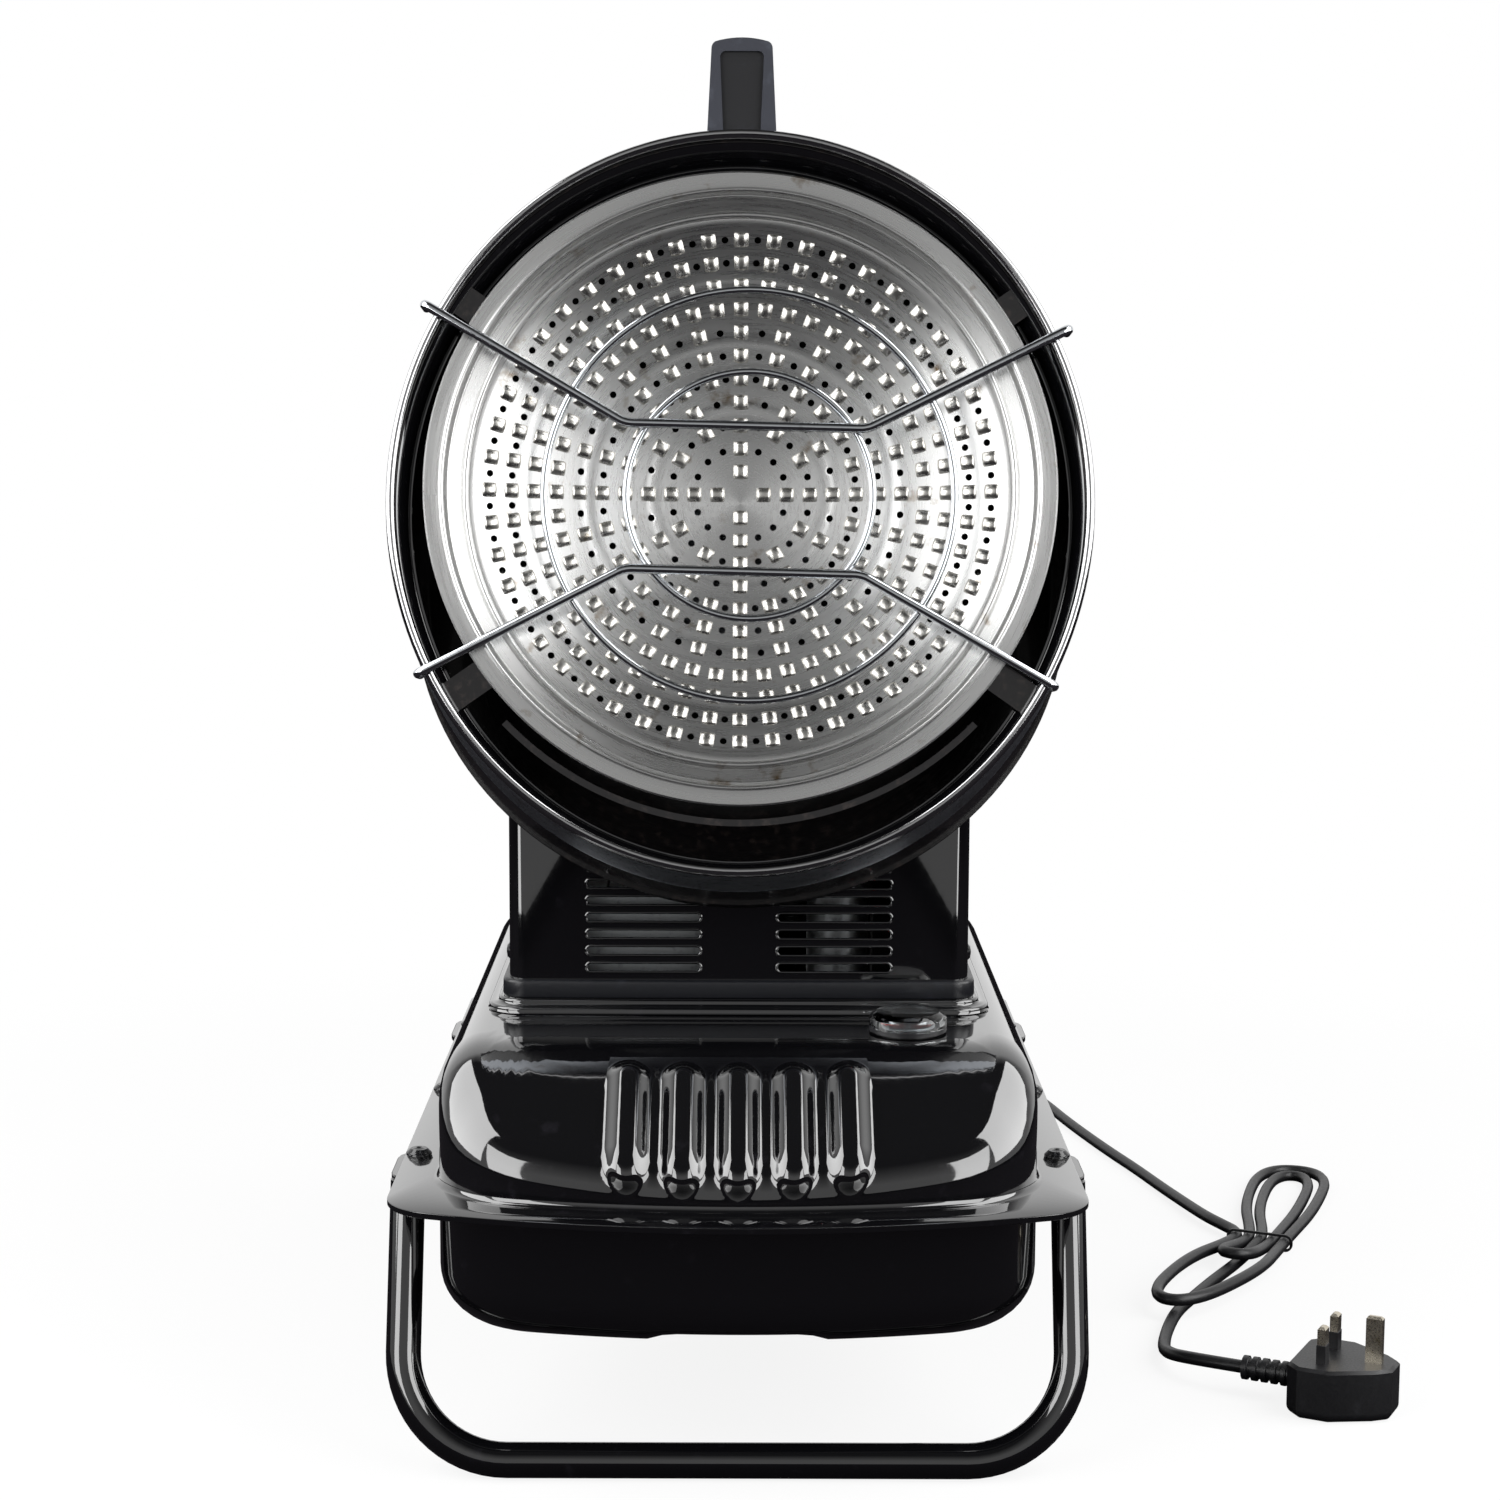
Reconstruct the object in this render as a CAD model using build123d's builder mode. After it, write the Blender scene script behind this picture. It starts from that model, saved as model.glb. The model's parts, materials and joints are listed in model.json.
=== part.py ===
from build123d import *
import math
import os

os.makedirs("parts", exist_ok=True)

# Sizes that several pieces share. All lengths are in millimetres.
sheet = 1.5
thin_sheet = 1.2
overrun = 5.0
seat_gap = 0.1
turned_sides = 24
screw_sides = 12
grip_sides = 4
moving_gap = 0.3
running_gap = 0.08

# Fuel tank: two pressed shells joined at a seam flange.
seam_height = 130.0
pan_bottom = 67.0
deck_height = 192.0
tank_half_width = 136.0
tank_half_length = 228.0
tank_corner = 50.0
tank_bow = 22.0
flange_half_width = 156.0
flange_half_length = 250.0
flange_corner = 28.0
flange_bow = 29.0
pan_edge_radius = 25.0
shoulder_radius = 20.0
slope_foot_height = 146.0
slope_run = 62.0
rib_count = 5
rib_pitch = 24.6
rib_width = 19.0
rib_rise = 2.5
rib_overhang = 4.0
rib_top_margin = 4.0

# Screws along the seam. The first and last row also hold the legs.
seam_screw_x = 149.3
leg_screw_y = 134.0
middle_screw_y = -12.0
screw_radius = 2.5
screw_hole_radius = 2.8
screw_head_radius = 6.0
screw_head_height = 3.2
nut_radius = 5.0
nut_height = 4.0

# Legs: one bent tube at each end of the tank.
leg_tube_radius = 8.0
leg_tube_sides = 18
leg_half_width = 160.0
leg_bend_radius = 48.0
leg_lean = 20.0
leg_bar_y = 199.0
leg_tab_width = 21.0
leg_tab_thickness = 4.0
leg_tab_length = 46.0

# Machine housing on the tank, its tray and its rear panel.
housing_half_width = 110.0
housing_front_y = -95.0
housing_rear_y = 155.0
housing_top_height = 442.0
housing_rear_height = 385.0
housing_corner = 8.0
tray_step_height = 3.0
tray_step_out = 4.5
tray_lip_height = 8.0
tray_lip_wall = 2.5
louvre_rows = 12
louvre_pitch = 8.1
louvre_length = 55.0
louvre_height = 4.6
louvre_chamfer = 1.4
louvre_first_height = 213.0
louvre_centre_x = 45.5
housing_screw_height = 217.0
housing_screw_radius = 4.0
housing_screw_rise = 2.0
housing_screw_y = -75.0
housing_screw_pitch = 105.0

# Drum: a tilted cylinder, cut in front by a steeper plane.
drum_tilt = 26.5
rim_tilt = 8.0
drum_radius = 156.0
drum_rear_y = -60.6
drum_rear_height = 390.8
rim_centre_y = -155.0
rim_centre_height = 440.9
drum_reach = 260.0
liner_gap = 5.0
liner_setback = 14.0
bead_width = 3.6
bead_out = 2.9
bead_depth = 4.5
band_depth = 24.0
band_thickness = 1.5
cover_overhang = 1.2
chamber_radius = 112.0
chamber_setback = 24.0

# Emitter plate: a stepped rim round a flat disc of dimples and holes.
emitter_sheet = 1.2
emitter_rim_gap = 11.0
emitter_edge_width = 7.0
emitter_slope_width = 4.0
emitter_bead_gap = 3.0
emitter_bead_half_width = 3.5
emitter_disc_margin = 2.0
emitter_edge_setback = 5.0
emitter_disc_setback = 15.0
emitter_bead_rise = 3.0
dimple_size = 6.8
dimple_rise = 2.5
emitter_hole_radius = 1.6
support_band_gap = 0.3
support_band_thickness = 3.0
support_band_depth = 11.0
support_band_half_angle = 46.0
bracket_width = 14.0
bracket_overlap = 5.5
bracket_half_angle = 35.0

# Wire guard: two rings on two wires that hook over the drum's rim.
guard_wire_radius = 2.2
guard_ring_wire_radius = 1.75
guard_wire_sides = 6
guard_large_ring_share = 0.59
guard_small_ring_share = 0.3545
guard_shift = 4.0
guard_weld = 0.7
guard_hook_drop = 11.0
guard_hook_bend = 3.0
guard_wire_bend = 14.0
guard_wire_shares = (
    ((-0.907, 0.542), (-0.332, 0.2045), (0.3628, 0.1897), (0.939, 0.4776)),
    ((-0.9218, -0.516), (-0.332, -0.2128), (0.3487, -0.2295), (0.9006, -0.5462)),
)

# Carry handle on top of the drum.
handle_width = 27.4
handle_foot_width = 33.5
handle_crown = 2.0
handle_front_y = -116.0
handle_rear_y = -6.0
handle_rise = 52.2
handle_post = 17.0
handle_grip = 17.0
handle_edge_radius = 3.0
handle_rear_radius = 9.0
recess_top_width = 20.0
recess_foot_width = 16.0
panel_corner = 2.5
panel_top_margin = 6.0
panel_depth = 3.0
panel_thickness = 1.0
handle_screw_head_radius = 4.0
handle_screw_head_height = 2.0

# Burner and blower, in line behind the drum's rear cover.
burner_tube_radius = 38.0
burner_tube_front = 30.0
burner_tube_rear = 45.0
nozzle_radius = 9.0
nozzle_tip_radius = 5.0
nozzle_front = 22.0
nozzle_rear = 22.0
inlet_width = 20.0
inlet_depth = 10.0
inlet_setback = 14.0
inlet_reach = 48.0
diffuser_setback = 16.0
diffuser_slots = 8
diffuser_slot_length = 16.0
diffuser_slot_width = 2.4
diffuser_slot_radius = 23.0
electrode_radius = 2.6
electrode_spacing = 24.0
electrode_height = 15.0
electrode_length = 38.0
shroud_radius = 58.0
shroud_length = 46.0
shroud_inlet_radius = 34.0
fan_radius = 53.0
fan_hub_radius = 10.0
fan_plate = 1.6
fan_blades = 12
fan_blade_inner = 30.0
fan_blade_width = 20.0
fan_blade_angle = 34.0
fan_start = 8.0
shaft_radius = 4.0
motor_radius = 36.0
motor_length = 52.0
motor_start = 104.0
motor_boss_radius = 11.0
pump_radius = 30.0
pump_length = 20.0
bracket_arm_width = 12.0
bracket_rim = 2.0
air_line_x = -38.0
air_line_y = -34.0
photocell_radius = 5.0
photocell_length = 18.0
photocell_x = 36.0
photocell_drop = 33.0

# Small machines on the tray.
transformer_width = 70.0
transformer_depth = 44.0
transformer_height = 52.0
transformer_x = -45.0
transformer_y = -62.0
transformer_rib_count = 6
transformer_rib = 2.0
filter_radius = 15.0
filter_height = 46.0
filter_cap_height = 6.0
filter_cap_out = 2.0
filter_x = 48.0
filter_y = -60.0
switch_box = 24.0
switch_box_x = 80.0
switch_box_y = 10.0
board_width = 90.0
board_height = 64.0
board_thickness = 1.6
board_gap = 12.0
board_x = -40.0
board_base = 300.0
board_part = 12.0
board_part_height = 8.0
line_radius = 2.0
line_sides = 6
line_bend = 8.0
pickup_radius = 5.0
pickup_depth = 112.0

# Rear panel with its controls.
rear_panel_inset = 2.0
grille_x = -40.0
grille_height = 246.0
grille_width = 104.0
grille_tall = 72.0
grille_slots = 10
grille_slot_pitch = 9.6
grille_slot_width = 4.6
grille_margin = 8.0
grille_thickness = 2.5
display_width = 52.0
display_tall = 22.0
display_x = -40.0
display_height = 340.0
display_rise = 3.0
knob_x = 60.0
knob_height = 286.0
knob_radius = 15.0
knob_length = 14.0
knob_skirt_radius = 18.0
knob_skirt = 3.0
knob_grooves = 12
knob_groove_radius = 1.6
knob_shaft_radius = 3.0
knob_gap = 0.6
thermostat_radius = 13.0
thermostat_length = 16.0
bezel_width = 20.0
bezel_tall = 30.0
bezel_rise = 2.0
bezel_depth = 16.0
rocker_x = 60.0
rocker_height = 336.0
rocker_radius = 9.0
rocker_width = 12.0
rocker_dip = 2.0
rocker_tilt = 8.0
rocker_pin_radius = 1.5
lamp_radius = 4.0
lamp_x = 88.0
lamp_length = 10.0
lamp_flange_radius = 5.5
lamp_flange = 1.5
gland_x = 78.0
gland_height = 222.0
gland_radius = 8.0
gland_nut_radius = 11.0
gland_nut = 6.0
gland_nose = 12.0

# Filler, gauge and drain on the tank.
filler_x = -60.0
filler_y = 189.0
neck_radius = 18.0
neck_wall = 2.5
neck_rise = 14.0
neck_depth = 8.0
strainer_wall = 1.0
strainer_depth = 50.0
strainer_flange = 1.0
cap_radius = 22.5
cap_wall = 2.5
cap_skirt_gap = 3.0
cap_grips = 16
cap_grip_radius = 1.8
gauge_x = 78.5
gauge_y = -138.0
gauge_neck_radius = 15.0
gauge_neck_rise = 1.0
gauge_flange_radius = 18.0
gauge_flange = 2.0
lens_radius = 18.0
lens_height = 7.0
lens_wall = 1.5
lens_bevel = 2.5
pointer_radius = 12.5
pointer_width = 5.0
pointer_thickness = 1.2
stem_radius = 1.2
guide_radius = 4.0
guide_bottom = 72.0
float_radius = 14.0
float_height = 20.0
float_stop_radius = 8.0
float_stop = 2.0
drain_x = -80.0
drain_y = 100.0
drain_head_radius = 9.0
drain_head = 5.0
drain_thread_radius = 6.0
drain_washer_radius = 11.0
drain_washer = 1.5
drain_well = 8.0
drain_well_radius = 13.0

# Mains cord, its tied loops and its plug.
cord_radius = 3.25
cord_sides = 8
cord_arc_share = 0.45
cord_samples = 800
cord_floor = 3.25
loop_gap = 0.5
waist = (298.0, 144.0)
waist_lift = 5.6
waist_half_length = 10.0
far_axis_angle = 72.3
near_axis_angle = 60.2
far_loop_lengths = (161.0, 148.0)
far_loop_half_widths = (21.0, 12.0)
near_loop_length = 141.0
near_loop_left = -19.0
near_loop_end_left = -13.0
near_loop_end_right = 12.0
near_loop_right = 24.0
near_loop_lift = 11.0
small_loop_length = 48.0
small_loop_half_width = 9.6
loops_entry = 24.0
loops_exit = -64.0
tie_wire_radius = 0.7
tie_gap = 0.3
plug_x = 285.4
plug_y = -106.5
plug_turn = -26.8
plug_height = 26.0
plug_pin_spacing = 22.2
plug_back = 15.0
plug_front = 33.0
plug_shoulder = 25.0
plug_nose = 12.0
plug_edge_radius = 5.0
live_pin_length = 17.7
live_pin_width = 6.35
live_pin_thickness = 4.0
live_pin_half_spacing = 11.1
earth_pin_length = 22.7
earth_pin_width = 4.0
earth_pin_thickness = 8.0
pin_root = 4.0
relief_length = 27.0
relief_radius = 6.0
relief_core_radius = 4.6
relief_ribs = 6
relief_rib_length = 2.6
relief_height = 13.0
relief_lead_run = 26.0
loops_lead_run = 20.0


def save(piece, name):
    """Label a finished piece and write it to its own file."""
    piece.part.label = name
    export_step(piece.part, f"parts/{name}.step")


def bowed_plan(half_width, half_length, corner, bow):
    """Return a plan outline with straight sides, bowed ends and round corners."""
    with BuildSketch() as plan:
        with BuildLine():
            front = ThreePointArc(
                (-half_width, bow - half_length), (0, -half_length), (half_width, bow - half_length)
            )
            back = ThreePointArc(
                (half_width, half_length - bow), (0, half_length), (-half_width, half_length - bow)
            )
            Line(front @ 1, back @ 0)
            Line(back @ 1, front @ 0)
        make_face()
        fillet(plan.vertices(), corner)
    return plan.sketch


def tilted_plane(y, z, tilt):
    """Return a plane across the X axis line at (y, z), whose normal looks forward and up by tilt."""
    angle = math.radians(tilt)
    return Plane(origin=(0, y, z), x_dir=(1, 0, 0), z_dir=(0, -math.cos(angle), math.sin(angle)))


rear_plane = tilted_plane(drum_rear_y, drum_rear_height, drum_tilt)
rim_plane = tilted_plane(rim_centre_y, rim_centre_height, rim_tilt)
rim_slant = math.radians(drum_tilt - rim_tilt)
tan_drum = math.tan(math.radians(drum_tilt))
cos_drum = math.cos(math.radians(drum_tilt))
sin_drum = math.sin(math.radians(drum_tilt))
liner_radius = drum_radius - liner_gap
emitter_outer_radius = drum_radius - emitter_rim_gap
emitter_step_outer = emitter_outer_radius - emitter_edge_width
emitter_step_inner = emitter_step_outer - emitter_slope_width
emitter_bead_outer = emitter_step_inner - emitter_bead_gap
emitter_bead_top = emitter_bead_outer - emitter_bead_half_width
emitter_bead_inner = emitter_bead_top - emitter_bead_half_width
emitter_disc_radius = emitter_bead_inner - emitter_disc_margin
support_band_inner = emitter_outer_radius + support_band_gap
bracket_inner_radius = emitter_outer_radius - bracket_overlap
screw_rows = (-leg_screw_y, middle_screw_y, leg_screw_y)
screw_places = [(side * seam_screw_x, y) for side in (-1, 1) for y in screw_rows]
leg_screw_places = [(side * seam_screw_x, y) for side in (-1, 1) for y in (-leg_screw_y, leg_screw_y)]

# Tank plan outlines, outside and inside.
tank_plan = bowed_plan(tank_half_width, tank_half_length, tank_corner, tank_bow)
tank_inside_plan = bowed_plan(
    tank_half_width - sheet, tank_half_length - sheet, tank_corner - sheet, tank_bow
)
flange_plan = bowed_plan(flange_half_width, flange_half_length, flange_corner, flange_bow)

# Lower pan: a pressed tray with a rolled bottom edge and a well for the drain plug.
with BuildPart() as pan_inside:
    with BuildSketch(Plane.XY.offset(pan_bottom + sheet)):
        add(tank_inside_plan)
    extrude(amount=seam_height - pan_bottom)
    fillet(pan_inside.faces().sort_by(Axis.Z)[0].edges(), pan_edge_radius - sheet)

with BuildPart() as tank_lower_pan:
    with BuildSketch(Plane.XY.offset(pan_bottom)):
        add(tank_plan)
    extrude(amount=seam_height - pan_bottom)
    fillet(tank_lower_pan.faces().sort_by(Axis.Z)[0].edges(), pan_edge_radius)
    add(pan_inside.part, mode=Mode.SUBTRACT)
    with BuildSketch(Plane.XY.offset(seam_height - sheet)):
        add(flange_plan)
        add(tank_inside_plan, mode=Mode.SUBTRACT)
        with Locations(*screw_places):
            Circle(screw_hole_radius, mode=Mode.SUBTRACT)
    extrude(amount=sheet)
    with BuildSketch(Plane.XY.offset(pan_bottom)):
        with Locations((drain_x, drain_y)):
            Circle(drain_well_radius + sheet)
    extrude(amount=drain_well + sheet)
    with BuildSketch(Plane.XY.offset(pan_bottom)):
        with Locations((drain_x, drain_y)):
            Circle(drain_well_radius)
    extrude(amount=drain_well, mode=Mode.SUBTRACT)
    with Locations((drain_x, drain_y, pan_bottom + drain_well)):
        Cylinder(drain_thread_radius + seat_gap, 2 * overrun, mode=Mode.SUBTRACT)
save(tank_lower_pan, "tank_lower_pan")

# Upper shell: a deck that slopes down to the front, with pressed ribs.
slope_rise = deck_height - slope_foot_height
slope_angle = math.atan2(slope_rise, slope_run)
slope_length = math.hypot(slope_rise, slope_run)
slope_plane = Plane(
    origin=(0, -tank_half_length, slope_foot_height),
    x_dir=(1, 0, 0),
    z_dir=(0, -math.sin(slope_angle), math.cos(slope_angle)),
)
with BuildPart() as shell_inside:
    with BuildSketch(Plane.XY.offset(seam_height - overrun)):
        add(tank_inside_plan)
    extrude(amount=deck_height - sheet - seam_height + overrun)
    fillet(shell_inside.faces().sort_by(Axis.Z)[-1].edges(), shoulder_radius - sheet)
    with BuildSketch(slope_plane.offset(-sheet)):
        Rectangle(3 * tank_half_width, 3 * slope_length)
    extrude(amount=deck_height, mode=Mode.SUBTRACT)

with BuildPart() as tank_upper_shell:
    with BuildSketch(Plane.XY.offset(seam_height)):
        add(tank_plan)
    extrude(amount=deck_height - seam_height)
    fillet(tank_upper_shell.faces().sort_by(Axis.Z)[-1].edges(), shoulder_radius)
    with BuildSketch(slope_plane):
        Rectangle(3 * tank_half_width, 3 * slope_length)
    extrude(amount=deck_height, mode=Mode.SUBTRACT)
    add(shell_inside.part, mode=Mode.SUBTRACT)
    with BuildSketch(Plane.XY.offset(seam_height)):
        add(flange_plan)
        add(tank_inside_plan, mode=Mode.SUBTRACT)
        with Locations(*screw_places):
            Circle(screw_hole_radius, mode=Mode.SUBTRACT)
    extrude(amount=sheet)
    rib_length = slope_length - rib_top_margin + rib_overhang
    with BuildSketch(slope_plane.offset(-sheet)):
        with Locations((0, rib_length / 2 - rib_overhang)):
            with GridLocations(rib_pitch, 0, rib_count, 1):
                SlotOverall(rib_length, rib_width, rotation=90)
    extrude(amount=sheet + rib_rise)
    with Locations((filler_x, filler_y, deck_height)):
        Cylinder(neck_radius + seat_gap, 2 * overrun, mode=Mode.SUBTRACT)
    with Locations((gauge_x, gauge_y, deck_height)):
        Cylinder(guide_radius + seat_gap, 2 * overrun, mode=Mode.SUBTRACT)
    with Locations((filter_x, filter_y, deck_height)):
        Cylinder(pickup_radius + seat_gap, 2 * overrun, mode=Mode.SUBTRACT)
save(tank_upper_shell, "tank_upper_shell")

# Dome-head screws through the seam, with nuts below.
seam_top = seam_height + sheet
seam_under = seam_height - sheet
with BuildPart() as seam_screws:
    with BuildSketch(Plane.XY.offset(seam_top)):
        with Locations(*screw_places):
            RegularPolygon(screw_head_radius, screw_sides)
    extrude(amount=screw_head_height)
    chamfer(seam_screws.edges().group_by(Axis.Z)[-1], 0.6 * screw_head_height)
    with BuildSketch(Plane.XY.offset(seam_under - leg_tab_thickness - nut_height)):
        with Locations(*screw_places):
            RegularPolygon(screw_radius, screw_sides)
    extrude(amount=seam_top - seam_under + leg_tab_thickness + nut_height)
    with BuildSketch(Plane.XY.offset(seam_under - leg_tab_thickness - nut_height)):
        with Locations(*leg_screw_places):
            RegularPolygon(nut_radius, 6)
            RegularPolygon(screw_radius + seat_gap, screw_sides, mode=Mode.SUBTRACT)
    extrude(amount=nut_height)
    with BuildSketch(Plane.XY.offset(seam_under - nut_height)):
        with Locations(*((side * seam_screw_x, middle_screw_y) for side in (-1, 1))):
            RegularPolygon(nut_radius, 6)
            RegularPolygon(screw_radius + seat_gap, screw_sides, mode=Mode.SUBTRACT)
    extrude(amount=nut_height)
save(seam_screws, "seam_screws")

# Legs: a bent tube that leans in, with flattened ends under the flange.
lean = math.radians(leg_lean)
tab_top = seam_under
leg_rise = (tab_top - leg_tab_thickness / 2 - leg_tube_radius) / math.cos(lean)
leg_side_x = leg_half_width - leg_tube_radius
leg_top_y = leg_bar_y - (tab_top - leg_tube_radius) * math.tan(lean)


def make_leg(end, name):
    """Build the leg at one end of the tank, end being -1 for the front and 1 for the rear."""
    leg_plane = Plane(
        origin=(0, end * leg_bar_y, leg_tube_radius),
        x_dir=(1, 0, 0),
        z_dir=(0, -math.cos(lean), -end * math.sin(lean)),
    )
    with BuildPart() as leg:
        with BuildLine(leg_plane):
            FilletPolyline(
                (-leg_side_x, leg_rise),
                (-leg_side_x, 0),
                (leg_side_x, 0),
                (leg_side_x, leg_rise),
                radius=leg_bend_radius,
            )
        with BuildSketch(
            Plane(
                origin=leg_plane.from_local_coords((-leg_side_x, leg_rise, 0)),
                x_dir=(1, 0, 0),
                z_dir=leg_plane.y_dir,
            )
        ):
            RegularPolygon(leg_tube_radius, leg_tube_sides, major_radius=False, rotation=leg_lean / 2)
        sweep()
        with BuildSketch(Plane.XY.offset(tab_top)):
            Rectangle(4 * leg_half_width, 4 * flange_half_length)
        extrude(amount=4 * leg_tube_radius, mode=Mode.SUBTRACT)
        with BuildSketch(Plane.XY.offset(tab_top - leg_tab_thickness)):
            tab_x = leg_half_width - leg_tab_width / 2
            tab_y = end * (leg_top_y - leg_tab_length / 2 + leg_tube_radius)
            with Locations((-tab_x, tab_y), (tab_x, tab_y)):
                SlotOverall(leg_tab_length, leg_tab_width, rotation=90)
            with Locations(*((side * seam_screw_x, end * leg_screw_y) for side in (-1, 1))):
                Circle(screw_hole_radius, mode=Mode.SUBTRACT)
        extrude(amount=leg_tab_thickness)
    save(leg, name)


make_leg(-1, "front_leg")
make_leg(1, "rear_leg")

# Tray: two small steps on the deck and a turned-up lip round the housing.
tray_base = deck_height
housing_base = tray_base + 2 * tray_step_height
housing_length = housing_rear_y - housing_front_y
housing_mid_y = (housing_rear_y + housing_front_y) / 2


def tray_plan(grow):
    """Return the housing's plan grown on each side, with round front corners."""
    with BuildSketch() as plan:
        with Locations((0, housing_mid_y)):
            Rectangle(2 * (housing_half_width + grow), housing_length + 2 * grow)
        fillet(plan.vertices().group_by(Axis.Y)[0], housing_corner + grow)
    return plan.sketch


housing_plan = tray_plan(0)
lip_plan = tray_plan(tray_lip_wall)
step_plans = [tray_plan(tray_step_out * steps) for steps in (2, 1)]
with BuildPart() as housing_tray:
    for step, step_plan in enumerate(step_plans):
        with BuildSketch(Plane.XY.offset(tray_base + step * tray_step_height)):
            add(step_plan)
        extrude(amount=tray_step_height)
    with BuildSketch(Plane.XY.offset(tray_base)):
        add(housing_plan)
    extrude(amount=2 * tray_step_height - sheet, mode=Mode.SUBTRACT)
    with BuildSketch(Plane.XY.offset(housing_base)):
        add(lip_plan)
        add(housing_plan, mode=Mode.SUBTRACT)
    extrude(amount=tray_lip_height)
    with Locations((filter_x, filter_y, housing_base)):
        Cylinder(pickup_radius + seat_gap, 4 * overrun, mode=Mode.SUBTRACT)
save(housing_tray, "housing_tray")

# Machine housing: a louvred sheet box whose upper front lies along the drum's back.
cover_back_plane = rear_plane.offset(-sheet)
cover_back_y = drum_rear_y + sheet * cos_drum
cover_back_z = drum_rear_height - sheet * sin_drum


def housing_solid(inset, rear_run):
    """Return the housing's solid outline, inset on each side and run on behind the rear edge."""
    half_width = housing_half_width - inset
    with BuildPart() as block:
        with BuildSketch(Plane.XY.offset(housing_base)):
            with Locations((0, housing_mid_y + rear_run / 2)):
                Rectangle(2 * half_width, housing_length - 2 * inset + rear_run)
        extrude(amount=housing_top_height)
        front_edges = block.edges().filter_by(Axis.Z).group_by(Axis.Y)[0]
        fillet(front_edges, housing_corner - inset)
        with BuildSketch(cover_back_plane.offset(-inset)):
            Rectangle(4 * housing_half_width, 4 * drum_radius)
        extrude(amount=4 * drum_radius, mode=Mode.SUBTRACT)
        top_slope = math.atan2(
            housing_top_height - housing_rear_height,
            housing_rear_y - cover_back_y - (housing_top_height - cover_back_z) * tan_drum,
        )
        with BuildSketch(
            Plane(
                origin=(0, housing_rear_y, housing_rear_height - inset),
                x_dir=(1, 0, 0),
                z_dir=(0, math.sin(top_slope), math.cos(top_slope)),
            )
        ):
            Rectangle(4 * housing_half_width, 4 * housing_length)
        extrude(amount=housing_top_height, mode=Mode.SUBTRACT)
    return block.part


housing_outside = housing_solid(0, 0)
housing_inside = housing_solid(thin_sheet, 2 * overrun)
with BuildPart() as machine_housing:
    add(housing_outside)
    add(housing_inside, mode=Mode.SUBTRACT)
    with BuildSketch(Plane.XZ.offset(-housing_front_y + overrun)) as louvres:
        with Locations((0, louvre_first_height + louvre_pitch * (louvre_rows - 1) / 2)):
            with GridLocations(2 * louvre_centre_x, louvre_pitch, 2, louvre_rows):
                Rectangle(louvre_length, louvre_height)
        chamfer(louvres.vertices(), louvre_chamfer)
    extrude(amount=-2 * overrun, mode=Mode.SUBTRACT)
    with BuildSketch(rear_plane):
        Circle(burner_tube_radius + seat_gap)
    extrude(amount=-4 * overrun, mode=Mode.SUBTRACT)
save(machine_housing, "machine_housing")

# Drum casing, cut off in front just behind the ring's bead.
with BuildPart() as drum_shell:
    with BuildSketch(rear_plane):
        Circle(drum_radius)
        Circle(drum_radius - thin_sheet, mode=Mode.SUBTRACT)
    extrude(amount=drum_reach)
    with BuildSketch(rim_plane.offset(-bead_depth)):
        Rectangle(4 * drum_radius, 4 * drum_radius)
    extrude(amount=2 * drum_reach, mode=Mode.SUBTRACT)
save(drum_shell, "drum_shell")

with BuildPart() as drum_rear_cover:
    with BuildSketch(cover_back_plane):
        Circle(drum_radius + cover_overhang)
        Circle(burner_tube_radius + seat_gap, mode=Mode.SUBTRACT)
    extrude(amount=sheet)
save(drum_rear_cover, "drum_rear_cover")

with BuildPart() as drum_liner:
    with BuildSketch(rear_plane):
        Circle(liner_radius)
        Circle(liner_radius - thin_sheet, mode=Mode.SUBTRACT)
    extrude(amount=drum_reach)
    with BuildSketch(rim_plane.offset(-liner_setback)):
        Rectangle(4 * drum_radius, 4 * drum_radius)
    extrude(amount=2 * drum_reach, mode=Mode.SUBTRACT)
save(drum_liner, "drum_liner")

# Front ring: a bead over the drum's cut edge, a groove and a satin band.
rim_half_width = drum_radius + bead_out
rim_half_height = drum_radius / math.cos(rim_slant) + bead_out
with BuildPart() as front_ring:
    with BuildSketch(rear_plane):
        Circle(drum_radius + band_thickness)
        Circle(drum_radius, mode=Mode.SUBTRACT)
    extrude(amount=drum_reach)
    with BuildSketch(rim_plane.offset(-bead_depth / 2)):
        Rectangle(4 * drum_radius, 4 * drum_radius)
    extrude(amount=2 * drum_reach, mode=Mode.SUBTRACT)
    with BuildSketch(rim_plane.offset(-bead_depth - band_depth)):
        Rectangle(4 * drum_radius, 4 * drum_radius)
    extrude(amount=-2 * drum_reach, mode=Mode.SUBTRACT)
    with BuildSketch(rim_plane.offset(-bead_depth)):
        Ellipse(rim_half_width, rim_half_height)
        Ellipse(rim_half_width - bead_width, rim_half_height - bead_width, mode=Mode.SUBTRACT)
    extrude(amount=bead_depth)
save(front_ring, "front_ring")

# Combustion chamber: an open can that ends just behind the emitter.
with BuildPart() as combustion_chamber:
    with BuildSketch(rear_plane):
        RegularPolygon(chamber_radius, turned_sides)
        RegularPolygon(chamber_radius - sheet, turned_sides, mode=Mode.SUBTRACT)
    extrude(amount=drum_reach)
    with BuildSketch(rim_plane.offset(-chamber_setback)):
        Rectangle(4 * drum_radius, 4 * drum_radius)
    extrude(amount=2 * drum_reach, mode=Mode.SUBTRACT)
save(combustion_chamber, "combustion_chamber")

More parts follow.
